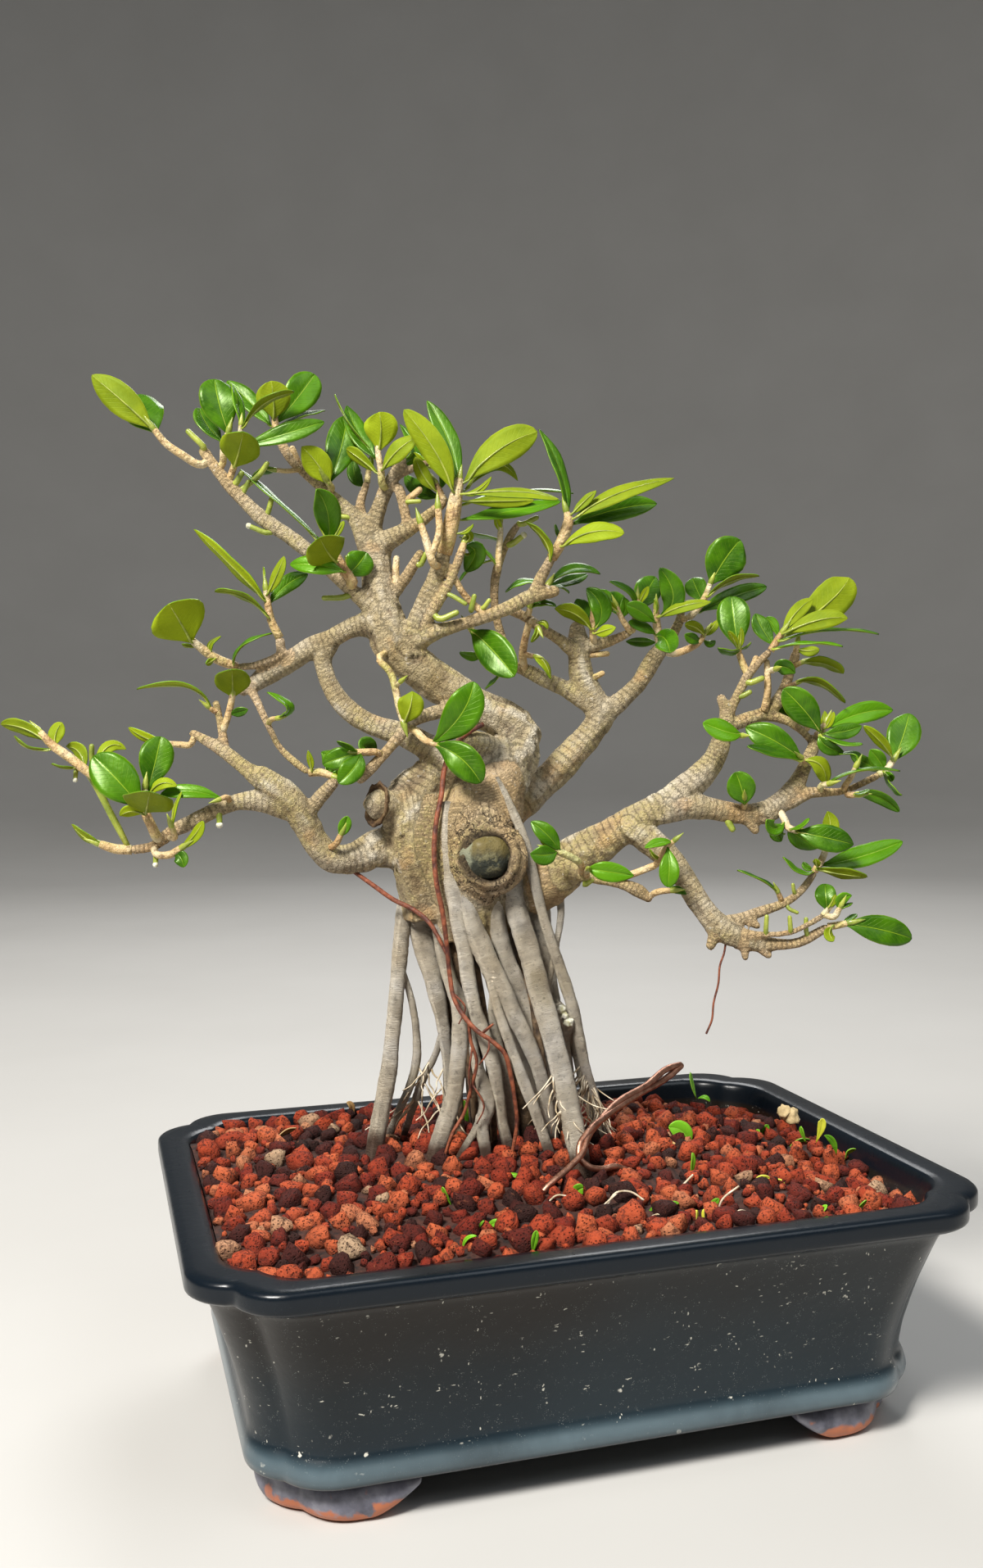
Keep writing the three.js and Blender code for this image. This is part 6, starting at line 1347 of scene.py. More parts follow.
def leaf_finish(name, deep, bright, vein, gloss, coat):
    """A blade's face: two greens, a vein colour, its roughness and its coat"""
    f = Finish(name, Coat_Weight=coat, Coat_Roughness=0.22, Specular_Tint=(0.55, 0.8, 0.25, 1))
    u, v, _ = f.split(f.node("UVMap", {"uv_map": "blade"}))
    place = f.place()
    out = (u - 0.5).math("ABSOLUTE") * 2
    slant = v * VEIN_PAIRS - out * VEIN_SLANT + f.noise(place, 130, 2) * VEIN_WOBBLE
    side = (slant.math("FRACT") - 0.5).math("ABSOLUTE")
    veins = side.between(0.09, 0.02) * out.between(0.95, 0.6)
    mottle = f.noise(place, 90, 4, 0.6)
    base = f.blend(mottle.between(0.3, 0.7), deep, bright)
    warm = f.attribute("tone").between(0.45, 1)
    base = f.blend(warm * 0.65, base, tuple(1.7 * part for part in bright))
    base = f.blend(veins * 0.1, base, vein)
    base = f.blend(out.between(0.075, 0.03) * 0.8, base, vein)
    base = f.blend(out.between(0.94, 0.985) * 0.35, base, vein)
    relief = mottle * 0.3 - veins * 0.12 + f.cells(place, 420, "DISTANCE_TO_EDGE") * 0.25
    return f.finish(base, gloss + mottle * 0.15, relief, 0.35 * MM)


UPPER_GREENS = ((0.012, 0.056, 0.0005), (0.05, 0.145, 0.001), (0.22, 0.32, 0.02))
UNDER_GREENS = ((0.12, 0.165, 0.002), (0.18, 0.225, 0.004), (0.3, 0.35, 0.04))
leaf_upper = leaf_finish("leaf upper face", *UPPER_GREENS, 0.32, 0.12)
leaf_under = leaf_finish("leaf underside", *UNDER_GREENS, 0.55, 0)

# %% The finish of stalks
f = Finish("green stalk", Coat_Weight=0.15)
tones = [(0.35, (0.16, 0.21, 0.02)), (0.65, (0.33, 0.37, 0.05))]
base = f.ramp(f.noise(f.place(), 160, 3), tones)
stalk = f.finish(base, 0.45, f.noise(f.place(), 700, 2), 0.2 * MM)
leaf_finishes = (leaf_upper, leaf_under, stalk, twig_bark)

# %% All the shoots
shoot_faces = 0
for name, parts in SPRAYS.items():
    piece = keep(name + "_dressed", shoot(name, *parts), "leaf", *leaf_finishes)
    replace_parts(piece, name)
    shoot_faces += len(piece.data.polygons)
for name, parts in ON_WOOD.items():
    piece = keep("on_limb_" + name, shoot(name, *parts), "leaf", *leaf_finishes)
    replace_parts(piece, "trunk")
    shoot_faces += len(piece.data.polygons)
print(len(SPRAYS) + len(ON_WOOD), "shoots with", shoot_faces, "faces")

# %% [markdown]
# ## The pot
# The pot is an oblong with notched corners that flares up to a flat flange. A potter presses such
# a pot in a mould, so one outline runs all round at each height. A corner is two arcs that meet in
# a cusp. Towards the foot and the inside it softens into one plain arc, by a share of bluntness.

# %% The pot's outline
HALF_LENGTH, HALF_WIDTH = 150, 110
LOBE_RADIUS, LOBE_REACH, CUSP, ROUND_CORNER = 18.5, 32, 14, 28
LOBE_STEPS, SIDE_STEPS, FRONT_STEPS = 9, 5, 8


def on_circle(middle, radius, degrees):
    """A point of a circle in the pot's plan"""
    angle = math.radians(degrees)
    return Vector(middle) + radius * Vector((math.cos(angle), math.sin(angle)))


def corner_of(length, width, bluntness):
    """The points of a corner, from the pot's side to its front"""
    lobes = ((LOBE_RADIUS, LOBE_REACH, 0, 90 - CUSP), (LOBE_REACH, LOBE_RADIUS, CUSP, 90))
    points = []
    for half, (right, back, start, stop) in enumerate(lobes):
        for i in range(LOBE_STEPS + half):
            share = i / LOBE_STEPS
            angle = start + (stop - start) * share
            notched = on_circle((length - right, width - back), LOBE_RADIUS, angle)
            plain = (length - ROUND_CORNER, width - ROUND_CORNER)
            blunt = on_circle(plain, ROUND_CORNER, 45 * (share + half))
            points.append(notched.lerp(blunt, bluntness))
    return points


def outline(inset, bluntness):
    """The pot's outline in mm at an inset from the rim, round from the middle of the right side"""
    length, width = HALF_LENGTH - inset, HALF_WIDTH - inset
    corner = corner_of(length, width, bluntness)
    first, last = corner[0], corner[-1]
    sides = [Vector((first.x, first.y * i / SIDE_STEPS)) for i in range(1, SIDE_STEPS)]
    fronts = [Vector((last.x * (1 - i / FRONT_STEPS), last.y)) for i in range(1, FRONT_STEPS)]
    half = sides + corner + fronts
    mirrored = [Vector((-point.x, point.y)) for point in reversed(half)]
    top = [Vector((length, 0)), *half, Vector((0, width)), *mirrored, Vector((-length, 0))]
    bottom = [Vector((point.x, -point.y)) for point in reversed(top[1:-1])]
    return top + bottom


print("a ring of the pot has", len(outline(0, 0)), "points")

# %% [markdown]
# The profile is a list of inset, height and bluntness, up the outside and down the inside. A few
# main rows are enough: more rows between them, softened once, round the bead and the edges.

# %% The pot's profile
OUTSIDE = (
    (25, 13.8, 0.7), (20.9, 15.7, 0.5), (20.1, 19.4, 0.5), (20.9, 23.6, 0.5), (22.4, 27, 0.5),
    (20.8, 38, 0.45), (16.6, 54, 0.3), (10.6, 72, 0.15), (6.6, 82, 0.1), (1.6, 84, 0), (0, 85.6, 0),
    (0, 91, 0), (1.4, 92.5, 0),
)
INSIDE = ((11.5, 92.3, 0.35), (13.1, 90.5, 0.4), (15, 82, 0.45), (24, 50, 0.55), (33, 22, 0.8))
ROWS_BETWEEN = 4


def levels():
    """Profile rows, made denser and softer than the few main ones"""
    rows = []
    for part in (np.array(OUTSIDE, float), np.array(INSIDE, float)):
        for a, b in zip(part, part[1:]):
            rows += [a + (b - a) * i / ROWS_BETWEEN for i in range(ROWS_BETWEEN)]
        rows.append(part[-1])
    rows = np.array(rows)
    soft = rows.copy()
    soft[1:-1] = (rows[:-2] + 2 * rows[1:-1] + rows[2:]) / 4
    return soft


print("the pot's body goes through", len(levels()), "rings")

# %% [markdown]
# The rings all have one count of points, so a loft can join them: a circle of edges is extruded,
# and each new ring is moved to its own places. The feet and the sawn end are lofts as well.

# %% A loft through rings
def lofted(sections):
    """A closed surface through rings of places: each ring is extruded from the one before it"""
    bm = bmesh.new()
    ring = bmesh.ops.create_circle(bm, segments=len(sections[0]), radius=1)["verts"]
    first = ring
    for count, section in enumerate(sections):
        if count:
            edges = [bm.edges.get(pair) for pair in zip(ring, ring[1:] + ring[:1])]
            made = set(bmesh.ops.extrude_edge_only(bm, edges=edges)["geom"])
            follower = {}
            for vert in ring:
                new = [edge.other_vert(vert) for edge in vert.link_edges]
                follower[vert] = next(other for other in new if other in made)
            ring = [follower[vert] for vert in ring]
        for vert, place in zip(ring, section):
            vert.co = place
    bmesh.ops.contextual_create(bm, geom=first)
    bmesh.ops.contextual_create(bm, geom=ring)
    bmesh.ops.recalc_face_normals(bm, faces=bm.faces)
    return bm


sections = []
for inset, height, bluntness in levels():
    ring = outline(inset, bluntness)
    sections.append([POT_MIDDLE + Vector((*point, height)) * MM for point in ring])
body_mesh = meshed(lofted(sections), "pot body")
print("the pot's body has", len(body_mesh.polygons), "faces")

# %% [markdown]
# Under each drain mesh the floor has a round hole. A Boolean with two cylinders drills both.

# %% Drain holes
HOLE_RADIUS = 11 * MM
HOLE_HEIGHT, HOLE_DEPTH = 15 * MM, 40 * MM


def drilled(mesh, places, radius):
    """The mesh with a round hole straight through it at each place"""
    bm = bmesh.new()
    for place in places:
        sizes = {"segments": 48, "radius1": radius, "radius2": radius, "depth": HOLE_DEPTH}
        bmesh.ops.create_cone(bm, cap_ends=True, matrix=Matrix.Translation(place), **sizes)
    drill = linked("drill", meshed(bm, "drill"))
    holder = linked("drilled", mesh)
    cut = holder.modifiers.new("drill", "BOOLEAN")
    cut.object = drill
    mesh = settled(holder)
    old = drill.data
    bpy.data.objects.remove(drill)
    bpy.data.meshes.remove(old)
    return mesh


hole_places = []
for name in ("drain_mesh_left", "drain_mesh_right"):
    low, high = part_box(name)
    hole_places.append(((low.x + high.x) / 2, (low.y + high.y) / 2, HOLE_HEIGHT))
body_mesh = drilled(body_mesh, hole_places, HOLE_RADIUS)
print("drilled", len(hole_places), "holes, now", len(body_mesh.polygons), "faces")

# %% [markdown]
# The pot stands on four cloud brackets, one under each corner. A bracket bends round its corner
# in plan, and both its ends rise in a curl to the pot's underside. Its outer face swells in two
# soft lobes. It is one more loft: a small section is carried round the corner.

# %% The path of a foot
FOOT_INSET, FOOT_FRONT, FOOT_SIDE = 26.6, 52, 40
FOOT_STEPS = 61


def foot_path():
    """Points round a corner at even steps, and the distance of each along the path"""
    far_x, far_y = HALF_LENGTH - FOOT_INSET, HALF_WIDTH - FOOT_INSET
    ring = outline(FOOT_INSET, 0.3)
    corner = [p for p in ring if p.x > far_x - FOOT_FRONT and p.y > far_y - FOOT_SIDE]
    path = np.array([(far_x, far_y - FOOT_SIDE), *corner, (far_x - FOOT_FRONT, far_y)])
    travel = np.concatenate([[0], np.cumsum(np.linalg.norm(np.diff(path, axis=0), axis=1))])
    steps = np.linspace(0, travel[-1], FOOT_STEPS)
    return np.column_stack([np.interp(steps, travel, path[:, i]) for i in (0, 1)]), steps


print("a foot is", round(foot_path()[1][-1]), "mm long round its corner")

# %% [markdown]
# The section is a list of drop and push: how far down it is, from 0 at the top to 1 at the
# bottom, and how far out in mm. Towards the ends the bottom rises and the section gets thinner.

# %% Feet
FOOT_TOP, CURL, CURL_RISE, LOBE_LENGTH = 14.6, 17, 10.5, 22
END_THIN, THIN_LENGTH = 0.35, 14
FOOT_SECTION = (
    (0, -1.2), (0.2, 0.2), (0.42, 1.5), (0.66, 1.7), (0.84, 0.7), (0.95, -1), (1, -3),
    (1, -11), (0.96, -13.4), (0.5, -15), (0, -15),
)


def foot_sections(turn_x, turn_y):
    """The sections of one bracket, from its side arm's end to its front arm's end"""
    path, steps = foot_path()
    sections = []
    for (x, y), (along_x, along_y), step in zip(path, np.gradient(path, axis=0), steps):
        out = Vector((along_y, -along_x)).normalized()
        near = min(step, steps[-1] - step)
        bottom = CURL_RISE * max(0, 1 - near / CURL) ** 1.5
        lobe = abs(math.sin(math.pi * min(near, 2 * LOBE_LENGTH) / LOBE_LENGTH)) ** 0.6
        taper = min(1, END_THIN + near / THIN_LENGTH)
        section = []
        for drop, push in FOOT_SECTION:
            if push > 0:
                push *= 0.35 + 0.8 * lobe
            elif push < -4:
                push *= taper
            height = FOOT_TOP + (bottom - FOOT_TOP) * drop
            place = Vector((turn_x * (x + out.x * push), turn_y * (y + out.y * push), height))
            section.append(POT_MIDDLE + place * MM)
        sections.append(section)
    return sections


feet = bmesh.new()
for turn_x in (1, -1):
    for turn_y in (1, -1):
        add_mesh(feet, meshed(lofted(foot_sections(turn_x, turn_y)), "foot"), 0)
feet_mesh = meshed(feet, "feet")
print("the four feet have", len(feet_mesh.polygons), "faces")

# %% [markdown]
# The glaze is almost black, with blue in its thick places and brown where it runs thin. Pale chips
# are thrown all over it: most are specks, some are drawn out along or across the wall. Cells give
# them, stretched in one way or the other. The bead at the foot has a thicker coat, and a broad pale
# blue reflection painted on it.

# %% The glaze
BEAD_REFLECTION_BLUE, RIM_BLACK, CHIP_CREAM = (0.078, 0.118, 0.14), (0.003, 0.006, 0.01), (0.62, 0.6, 0.52)
TERRACOTTA = (0.42, 0.13, 0.055)
CHIPS = (((620, 210, 300), 0.2, 0.1), ((170, 400, 700), 0.2, 0.1), ((130, 130, 130), 0.13, 0.09))
CHIP_BEND = 1.6 * MM


def glaze_finish():
    """Dark speckled glaze"""
    f = Finish("dark speckled glaze", Coat_Roughness=0.22, Specular_IOR_Level=0.25)
    place = f.place()
    height = f.split(place)[2]
    drift = f.noise(place, 22, 4, 0.6, 0.4)
    level = height + (drift - 0.5) * 0.016
    tones = [(0, (0.007, 0.014, 0.02)), (0.5, (0.005, 0.009, 0.012)), (1, (0.012, 0.008, 0.005))]
    body = f.ramp(level.between(16 * MM, 84 * MM), tones)
    body = f.blend(f.noise(place, 7, 3, 0.5).between(0.45, 0.7) * 0.5, body, (0.016, 0.028, 0.036))
    dust = f.cells(place, 1500).between(0.3, 0.16) * f.noise(place, 300, 3).between(0.5, 0.66)
    body = f.blend(dust * 0.22, body, (0.5, 0.52, 0.5))
    crowd = f.noise(place, 140, 3).between(0.56, 0.64)
    bent = f.bent(place, 500, 2, CHIP_BEND)
    for scale, low, high in CHIPS:
        chips = f.cells(f.stretch(bent, scale), 1).between(low, high)
        body = f.blend(chips * crowd * 0.85, body, CHIP_CREAM)
    band = height.between(82.5 * MM, 84.5 * MM)
    bead = height.between(15 * MM, 18.5 * MM) * height.between(26 * MM, 21.5 * MM)
    # Painted reflection: a broad pale blue band on the bead at the foot
    body = f.blend(bead * (drift * 1.7 - 0.1), body, BEAD_REFLECTION_BLUE)
    body = f.blend(band * (1 - dust * 0.1), body, RIM_BLACK)
    bare = level.between(12 * MM, 7 * MM) * drift.between(0.42, 0.6)
    body = f.blend(bare * 0.8, body, TERRACOTTA)
    f.feed(f.shader.inputs["Coat Weight"], bead * 0.6 + 0.1)
    relief = drift * 0.5 + f.noise(place, 300, 3) * 0.1
    return f.finish(body, 0.27 + drift * 0.14 - band * 0.06, relief, 0.8 * MM)


glaze = glaze_finish()

# %% [markdown]
# On the feet the glaze is thin and grey, and their edges are worn down to the red clay.

# %% The finish of the feet
def foot_finish():
    """Thin grey glaze, worn through near the ground"""
    f = Finish("thin glaze on terracotta", Coat_Weight=0.3, Coat_Roughness=0.2)
    place = f.place()
    height = f.split(place)[2]
    drift = f.noise(place, 55, 4, 0.6, 0.5)
    tones = [(0.3, (0.045, 0.045, 0.065)), (0.55, (0.13, 0.13, 0.17)), (0.75, (0.24, 0.24, 0.28))]
    base = f.ramp(f.noise(place, 130, 4), tones)
    worn = (height + (drift - 0.5) * 0.022).between(4.5 * MM, 2.5 * MM)
    base = f.blend(worn, base, TERRACOTTA)
    base = f.blend(f.noise(place, 90, 3).between(0.62, 0.68) * 0.8, base, TERRACOTTA)
    base = f.blend(height.between(10 * MM, 14 * MM) * 0.8, base, (0.02, 0.018, 0.022))
    return f.finish(base, 0.4 + worn * 0.3, drift, 0.8 * MM)


foot_glaze = foot_finish()

# %% The pot's pieces
pot_piece = keep("pot_glazed", body_mesh, "glazed_stoneware", glaze)
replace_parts(pot_piece, "pot")
feet_piece = keep("pot_feet", feet_mesh, "glazed_stoneware", foot_glaze)
soft = feet_piece.modifiers.new("soft", "SUBSURF")
soft.levels = soft.render_levels = 1
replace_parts(feet_piece, "pot")

# %% [markdown]
# ## The knot and the sawn stub
# In the collar sits the old limb's scar: a smooth, worn, mottled olive dome. Light and shade are
# painted on it: olive at its top and almost black below, with a pale painted highlight at its left.
# Its colours follow its own height, so the finish reads the place in space against the dome's middle.

# %% The finish of the scar
def scar_finish():
    """Scar wood: painted light on its top, painted shade below, a painted highlight at the left"""
    f = Finish("worn scar wood", Specular_IOR_Level=0.3, Coat_Weight=0.08, Coat_Roughness=0.3)
    place = f.place()
    across, _, height = f.split(place)
    drift = f.noise(place, 150, 4, 0.6)
    # Painted light and shade: lighter towards the dome's top, almost black below
    top = height + (drift - 0.5) * 0.01
    top = top.between(SCAR_MIDDLE.z - 2 * MM, SCAR_MIDDLE.z + 5 * MM)
    base = f.blend(top, (0.022, 0.026, 0.018), (0.13, 0.1, 0.03))
    patch = f.noise(place, 210, 5, 0.7).between(0.5, 0.62)
    base = f.blend(patch * 0.5, base, (0.22, 0.2, 0.1))
    # Painted highlight: a pale edge at the dome's left
    edge = across + (drift - 0.5) * 0.008
    edge = edge.between(SCAR_MIDDLE.x - 6.2 * MM, SCAR_MIDDLE.x - 8.2 * MM)
    base = f.blend(edge * 0.75, base, (0.24, 0.25, 0.17))
    specks = f.noise(place, 500, 4).between(0.62, 0.7)
    base = f.blend(specks * 0.5, base, (0.02, 0.02, 0.015))
    return f.finish(base, 0.5 + drift * 0.2, drift + f.noise(place, 420, 5, 0.7), 1.2 * MM)


scar_wood = scar_finish()

# %% The knot's dome
DOME_SIZES = Vector((10.8, 9.4, 7.2)) * MM


def oriented(bm, place, facing, sizes):
    """Scales a bmesh and turns its +Z to a direction"""
    turn = Vector(facing).to_track_quat("Z", "Y").to_matrix().to_4x4()
    lay = Matrix.Translation(place) @ turn @ Matrix.Diagonal((*sizes, 1))
    bmesh.ops.transform(bm, matrix=lay, verts=bm.verts)


bm = bmesh.new()
bmesh.ops.create_uvsphere(bm, u_segments=48, v_segments=28, radius=1)
for vert in bm.verts:
    vert.co *= 1 + 0.06 * noise.noise(vert.co * 2.2)
oriented(bm, SCAR_MIDDLE, EYE - SCAR_MIDDLE, DOME_SIZES)
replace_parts(keep("knot_scar", meshed(bm, "scar"), "bark", scar_wood), "trunk")

# %% [markdown]
# The stub on the left was sawn off. Its flat end has a raised lip of new bark round brown wood, so
# it is a loft of rings that rise to the lip and fall to the cut. Each ring is a little uneven.

# %% The sawn end
SAWN = ((0, 0.9), (0.9, 0.98), (1.3, 0.95), (1.2, 0.88), (0.6, 0.8), (0.5, 0.6), (0.8, 0.3), (0.85, 0.05))
ANGLES = np.linspace(0, TURN, 33)[:-1]

sections = []
for rise, share in SAWN:
    ring = []
    for angle in ANGLES:
        way = Vector((math.cos(angle), math.sin(angle), 0))
        flake = 1 + 0.22 * noise.noise(way * 2.4 + Vector((0, 0, rise)))
        ring.append(way * share * flake + Vector((0, 0, rise)))
    sections.append(ring)
bm = lofted(sections)
stub_run = limb_runs["cut_stub"]
stub_way = Vector(stub_run[-1, :3] - stub_run[-5, :3]).normalized()
end_radius = stub_run[:, 3].max()
oriented(bm, Vector(stub_run[-4, :3]), stub_way, (0.8 * end_radius, 1.1 * end_radius, 1.6 * MM))
f = Finish("sawn wood", Specular_IOR_Level=0.3)
drift = f.noise(f.place(), 220, 5, 0.65)
tones = [(0.3, (0.03, 0.016, 0.008)), (0.5, (0.085, 0.047, 0.02)), (0.7, (0.18, 0.12, 0.055))]
sawn_wood = f.finish(f.ramp(drift, tones), 0.7, drift, 1.4 * MM)
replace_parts(keep("sawn_end", meshed(bm, "sawn end"), "bark", sawn_wood), "trunk")

# %% [markdown]
# ## Red lava gravel
# The soil is covered with crushed lava, sieved to finger-nail size. A particle system could strew
# it, but plain code says exactly which stone lies where: places are drawn at random inside the
# pot's wall, and kept where no other stone and no root is. A ray straight down finds the soil.

# %% Where a stone may lie
BED_INSET, BED_CORNER = 14, 26
draws = random.Random(21)
soil_tree = BVHTree.FromObject(frame["nodes"]["soil"], bpy.context.evaluated_depsgraph_get())
root_rings = [ring for run in root_runs.values() for ring in ringed(run)]
root_tree = grown(root_rings)


def in_bed(x, y, radius):
    """Whether a place by the pot's middle, in mm, is inside the pot's wall"""
    across = abs(x) - (HALF_LENGTH - BED_INSET - BED_CORNER)
    along = abs(y) - (HALF_WIDTH - BED_INSET - BED_CORNER)
    room = BED_CORNER - 0.6 * radius
    if across > 0 and along > 0:
        return math.hypot(across, along) < room
    return across < room and along < room


print("may a stone lie at the middle, or at the rim?", in_bed(0, 0, 5), in_bed(148, 0, 5))

# %% [markdown]
# Big stones are laid first, then smaller ones in the gaps and on top, as they settle in a pot. Each
# size has a number of tries, a least and a greatest radius, and how far its stones lie raised.

# %% Lay the stones
STONE_SIZES = ((4250, 4.2, 6.4, 0.2), (4000, 2.6, 4.2, 0.35), (4500, 1.4, 2.6, 0.6))
BED_LENGTH, BED_WIDTH = 138, 98
LEAST_GAP = 0.75
LOWEST_SOIL, RAY_START = 70 * MM, 160


def laid(x, y, radius):
    """The height of the soil in mm under a free place, or None"""
    if not in_bed(x, y, radius):
        return None
    if any((x - a) ** 2 + (y - b) ** 2 < (LEAST_GAP * (radius + r)) ** 2 for a, b, r, _ in stones):
        return None
    origin = POT_MIDDLE + Vector((x, y, RAY_START)) * MM
    hit = soil_tree.ray_cast(origin, Vector((0, 0, -1)))[0]
    if hit is None or hit.z < LOWEST_SOIL:
        return None
    _, index, distance = root_tree.find(hit)
    if distance < root_rings[index][5] + 0.3 * radius * MM:
        return None
    return hit.z / MM


stones = []
for tries, small, large, lift in STONE_SIZES:
    for _ in range(tries):
        x, y = draws.uniform(-BED_LENGTH, BED_LENGTH), draws.uniform(-BED_WIDTH, BED_WIDTH)
        radius = draws.uniform(small, large)
        ground = laid(x, y, radius)
        if ground is not None:
            stones.append((x, y, radius, ground + radius * lift))
print(len(stones), "granules lie on the soil")

# %% [markdown]
# A granule is a ball of 80 faces, squashed and roughened, and then broken flat on some sides: each
# point beyond a plane is pushed back to it. Sixteen moulds are enough, as every stone gets its own
# turn, size and shade. Edges between broken faces are marked sharp, the others stay smooth.

# %% Moulds of granules
MOULDS, BREAKS = 16, 8
SQUASH, BREAK_REACH, BREAK_DEPTH = (0.66, 1.2), (0.45, 0.78), 0.9
SHARP_ANGLE = 0.6


def mould(seed):
    """The shape of a granule with a radius of about 1"""
    bm = bmesh.new()
    bmesh.ops.create_icosphere(bm, subdivisions=2, radius=1)
    shape = random.Random(seed)
    squash = Vector([shape.uniform(*SQUASH) for _ in range(3)])
    shift = Vector([shape.uniform(-50, 50) for _ in range(3)])
    for vert in bm.verts:
        bulge = noise.noise(vert.co * 1.2 + shift) * 0.5 + noise.noise(vert.co * 2.6 + shift) * 0.3
        vert.co = vert.co * (1 + bulge) * squash
    for _ in range(BREAKS):
        way = Vector([shape.gauss(0, 1) for _ in range(3)]).normalized()
        reach = shape.uniform(*BREAK_REACH)
        for vert in bm.verts:
            vert.co -= way * max(0, vert.co.dot(way) - reach) * BREAK_DEPTH
    for edge in bm.edges:
        edge.smooth = edge.calc_face_angle(0) < SHARP_ANGLE
    return meshed(bm, "granule")


moulds = [mould(seed) for seed in range(MOULDS)]
print(len(moulds), "moulds of", len(moulds[0].polygons), "faces")

# %% The bed of gravel
LOW_SHADE_LEVEL = 0.55


def gravel(group):
    """One mesh of many granules, each with its own tone, and painted shade on its lower part"""
    bm = bmesh.new()
    shade = bm.verts.layers.float.new("shade")
    low_shade = bm.verts.layers.float.new("low_shade")
    for x, y, radius, z in group:
        before = len(bm.verts)
        bm.from_mesh(draws.choice(moulds))
        bm.verts.ensure_lookup_table()
        value = draws.random()
        spin = Matrix.Rotation(draws.uniform(0, 6.28), 4, "Z")
        tilt = Matrix.Rotation(draws.uniform(0, 3.14), 4, "X")
        there = Matrix.Translation(POT_MIDDLE + Vector((x, y, z)) * MM)
        place = there @ Matrix.Scale(radius * MM, 4) @ spin @ tilt
        for vert in bm.verts[before:]:
            vert.co = place @ vert.co
            vert[shade] = value
            # Painted shade: the lower a point lies on its granule, the darker it is painted
            rise = (vert.co.z - z * MM) / (radius * MM)
            vert[low_shade] = min(1, max(0, LOW_SHADE_LEVEL - rise))
    return meshed(bm, "gravel")


bed = gravel(stones)
print("the bed has", len(bed.polygons), "faces")

# %% [markdown]
# Lava is oxide red, with a few granules nearly black and a few cream. The shade of a granule picks
# its tone on a ramp. Grit and pores are finer than the granule. The lower part of each granule is
# painted dark, as painted shade.

# %% The finish of lava
LAVA_TONES = [
    (0, (0.02, 0.01, 0.008)), (0.14, (0.06, 0.011, 0.008)), (0.3, (0.19, 0.02, 0.009)),
    (0.6, (0.4, 0.058, 0.02)), (0.92, (0.5, 0.11, 0.04)), (0.985, (0.46, 0.2, 0.1)),
    (1, (0.45, 0.32, 0.2)),
]


def lava_finish():
    """Porous red stone with painted shade on its lower part"""
    f = Finish("red lava", Specular_IOR_Level=0.2)
    place = f.place()
    grit = f.noise(place, 380, 5, 0.75)
    pores = f.cells(place, 800).between(0.34, 0.14)
    base = f.ramp(f.attribute("shade"), LAVA_TONES)
    base = f.blend(grit.between(0.52, 0.36) * 0.75, base, (0.035, 0.01, 0.008))
    base = f.blend(grit.between(0.6, 0.7) * 0.3, base, (0.6, 0.2, 0.09))
    base = f.blend(pores * 0.5, base, (0.03, 0.01, 0.008))
    # Painted shade on the lower part of each granule
    base = f.blend(f.attribute("low_shade") * 0.85, base, (0.018, 0.006, 0.005))
    return f.finish(base, 0.55 + grit * 0.3, grit * 1.2 - pores * 0.8, 1.4 * MM)


keep("lava_granules_1", bed, "lava_gravel", lava_finish())

# %% [markdown]
# Some plain solids have the right shape already: the soil and the two drain meshes. They stay, and
# only get a finish. Copper is the one metal here, so it is the only one with Metallic at 1.

# %% Finishes of soil, mesh, wire and red roots
red_finish = plain_finish("red root bark", (0.06, 0.014, 0.008), (0.27, 0.075, 0.03), 260, 0.55, 1 * MM)
copper = plain_finish("copper", (0.3, 0.14, 0.09), (0.55, 0.3, 0.21), 260, 0.4, 0.4 * MM, Metallic=1)
# The soil is dark of its own, and is painted darker still as shade in the gaps between the granules
dark_soil_and_gap_shade = plain_finish("dark soil", (0.01, 0.005, 0.004), (0.06, 0.018, 0.01), 300, 0.9, 1 * MM)
mesh_finish = plain_finish("black mesh", (0.012, 0.013, 0.013), (0.03, 0.032, 0.03), 400, 0.55, 0.2 * MM)
KEPT_NODES = (("soil", dark_soil_and_gap_shade), ("drain_mesh_left", mesh_finish), ("drain_mesh_right", mesh_finish))
for node, finish in KEPT_NODES:
    frame["nodes"][node].data.materials.clear()
    frame["nodes"][node].data.materials.append(finish)

# %% [markdown]
# ## Red roots and the tie wire
# Young roots that have just reached the soil are red-brown and smooth. They are tubes as the
# pillars are, a little thinner than the plain solids. The copper wire is a doubled one, a leftover
# from tying the tree: its two strands rise from the gravel and meet in one bend.

# %% Red roots and wire
RED_THIN = (1, 1, 1, 0.72)
LYING = "cross"
red_runs = []
for name, points in RED_ROOTS.items():
    if name == LYING:
        red_runs.append(rounded(RED_THIN * flowing(rows_of(points))))
    else:
        red_runs.append(RED_THIN * flowing(root_rows(points)))
red_piece = keep("red_roots_dressed", tubes(red_runs, 12), "red_root", red_finish)
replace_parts(red_piece, "red_roots")
wire_runs = [rounded(flowing(rows_of(points))) for points in TIE_WIRE.values()]
wire_piece = keep("tie_wire_dressed", tubes(wire_runs, 10), "copper_wire", copper)
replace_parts(wire_piece, "tie_wire")

# %% [markdown]
# ## Small things on the wood and in the gravel
# A portrait lives from small things: cut stalks with dried latex, seedlings, dropped leaves, hair
# roots. They are listed by where they show in the picture, and stand on what carries them there.

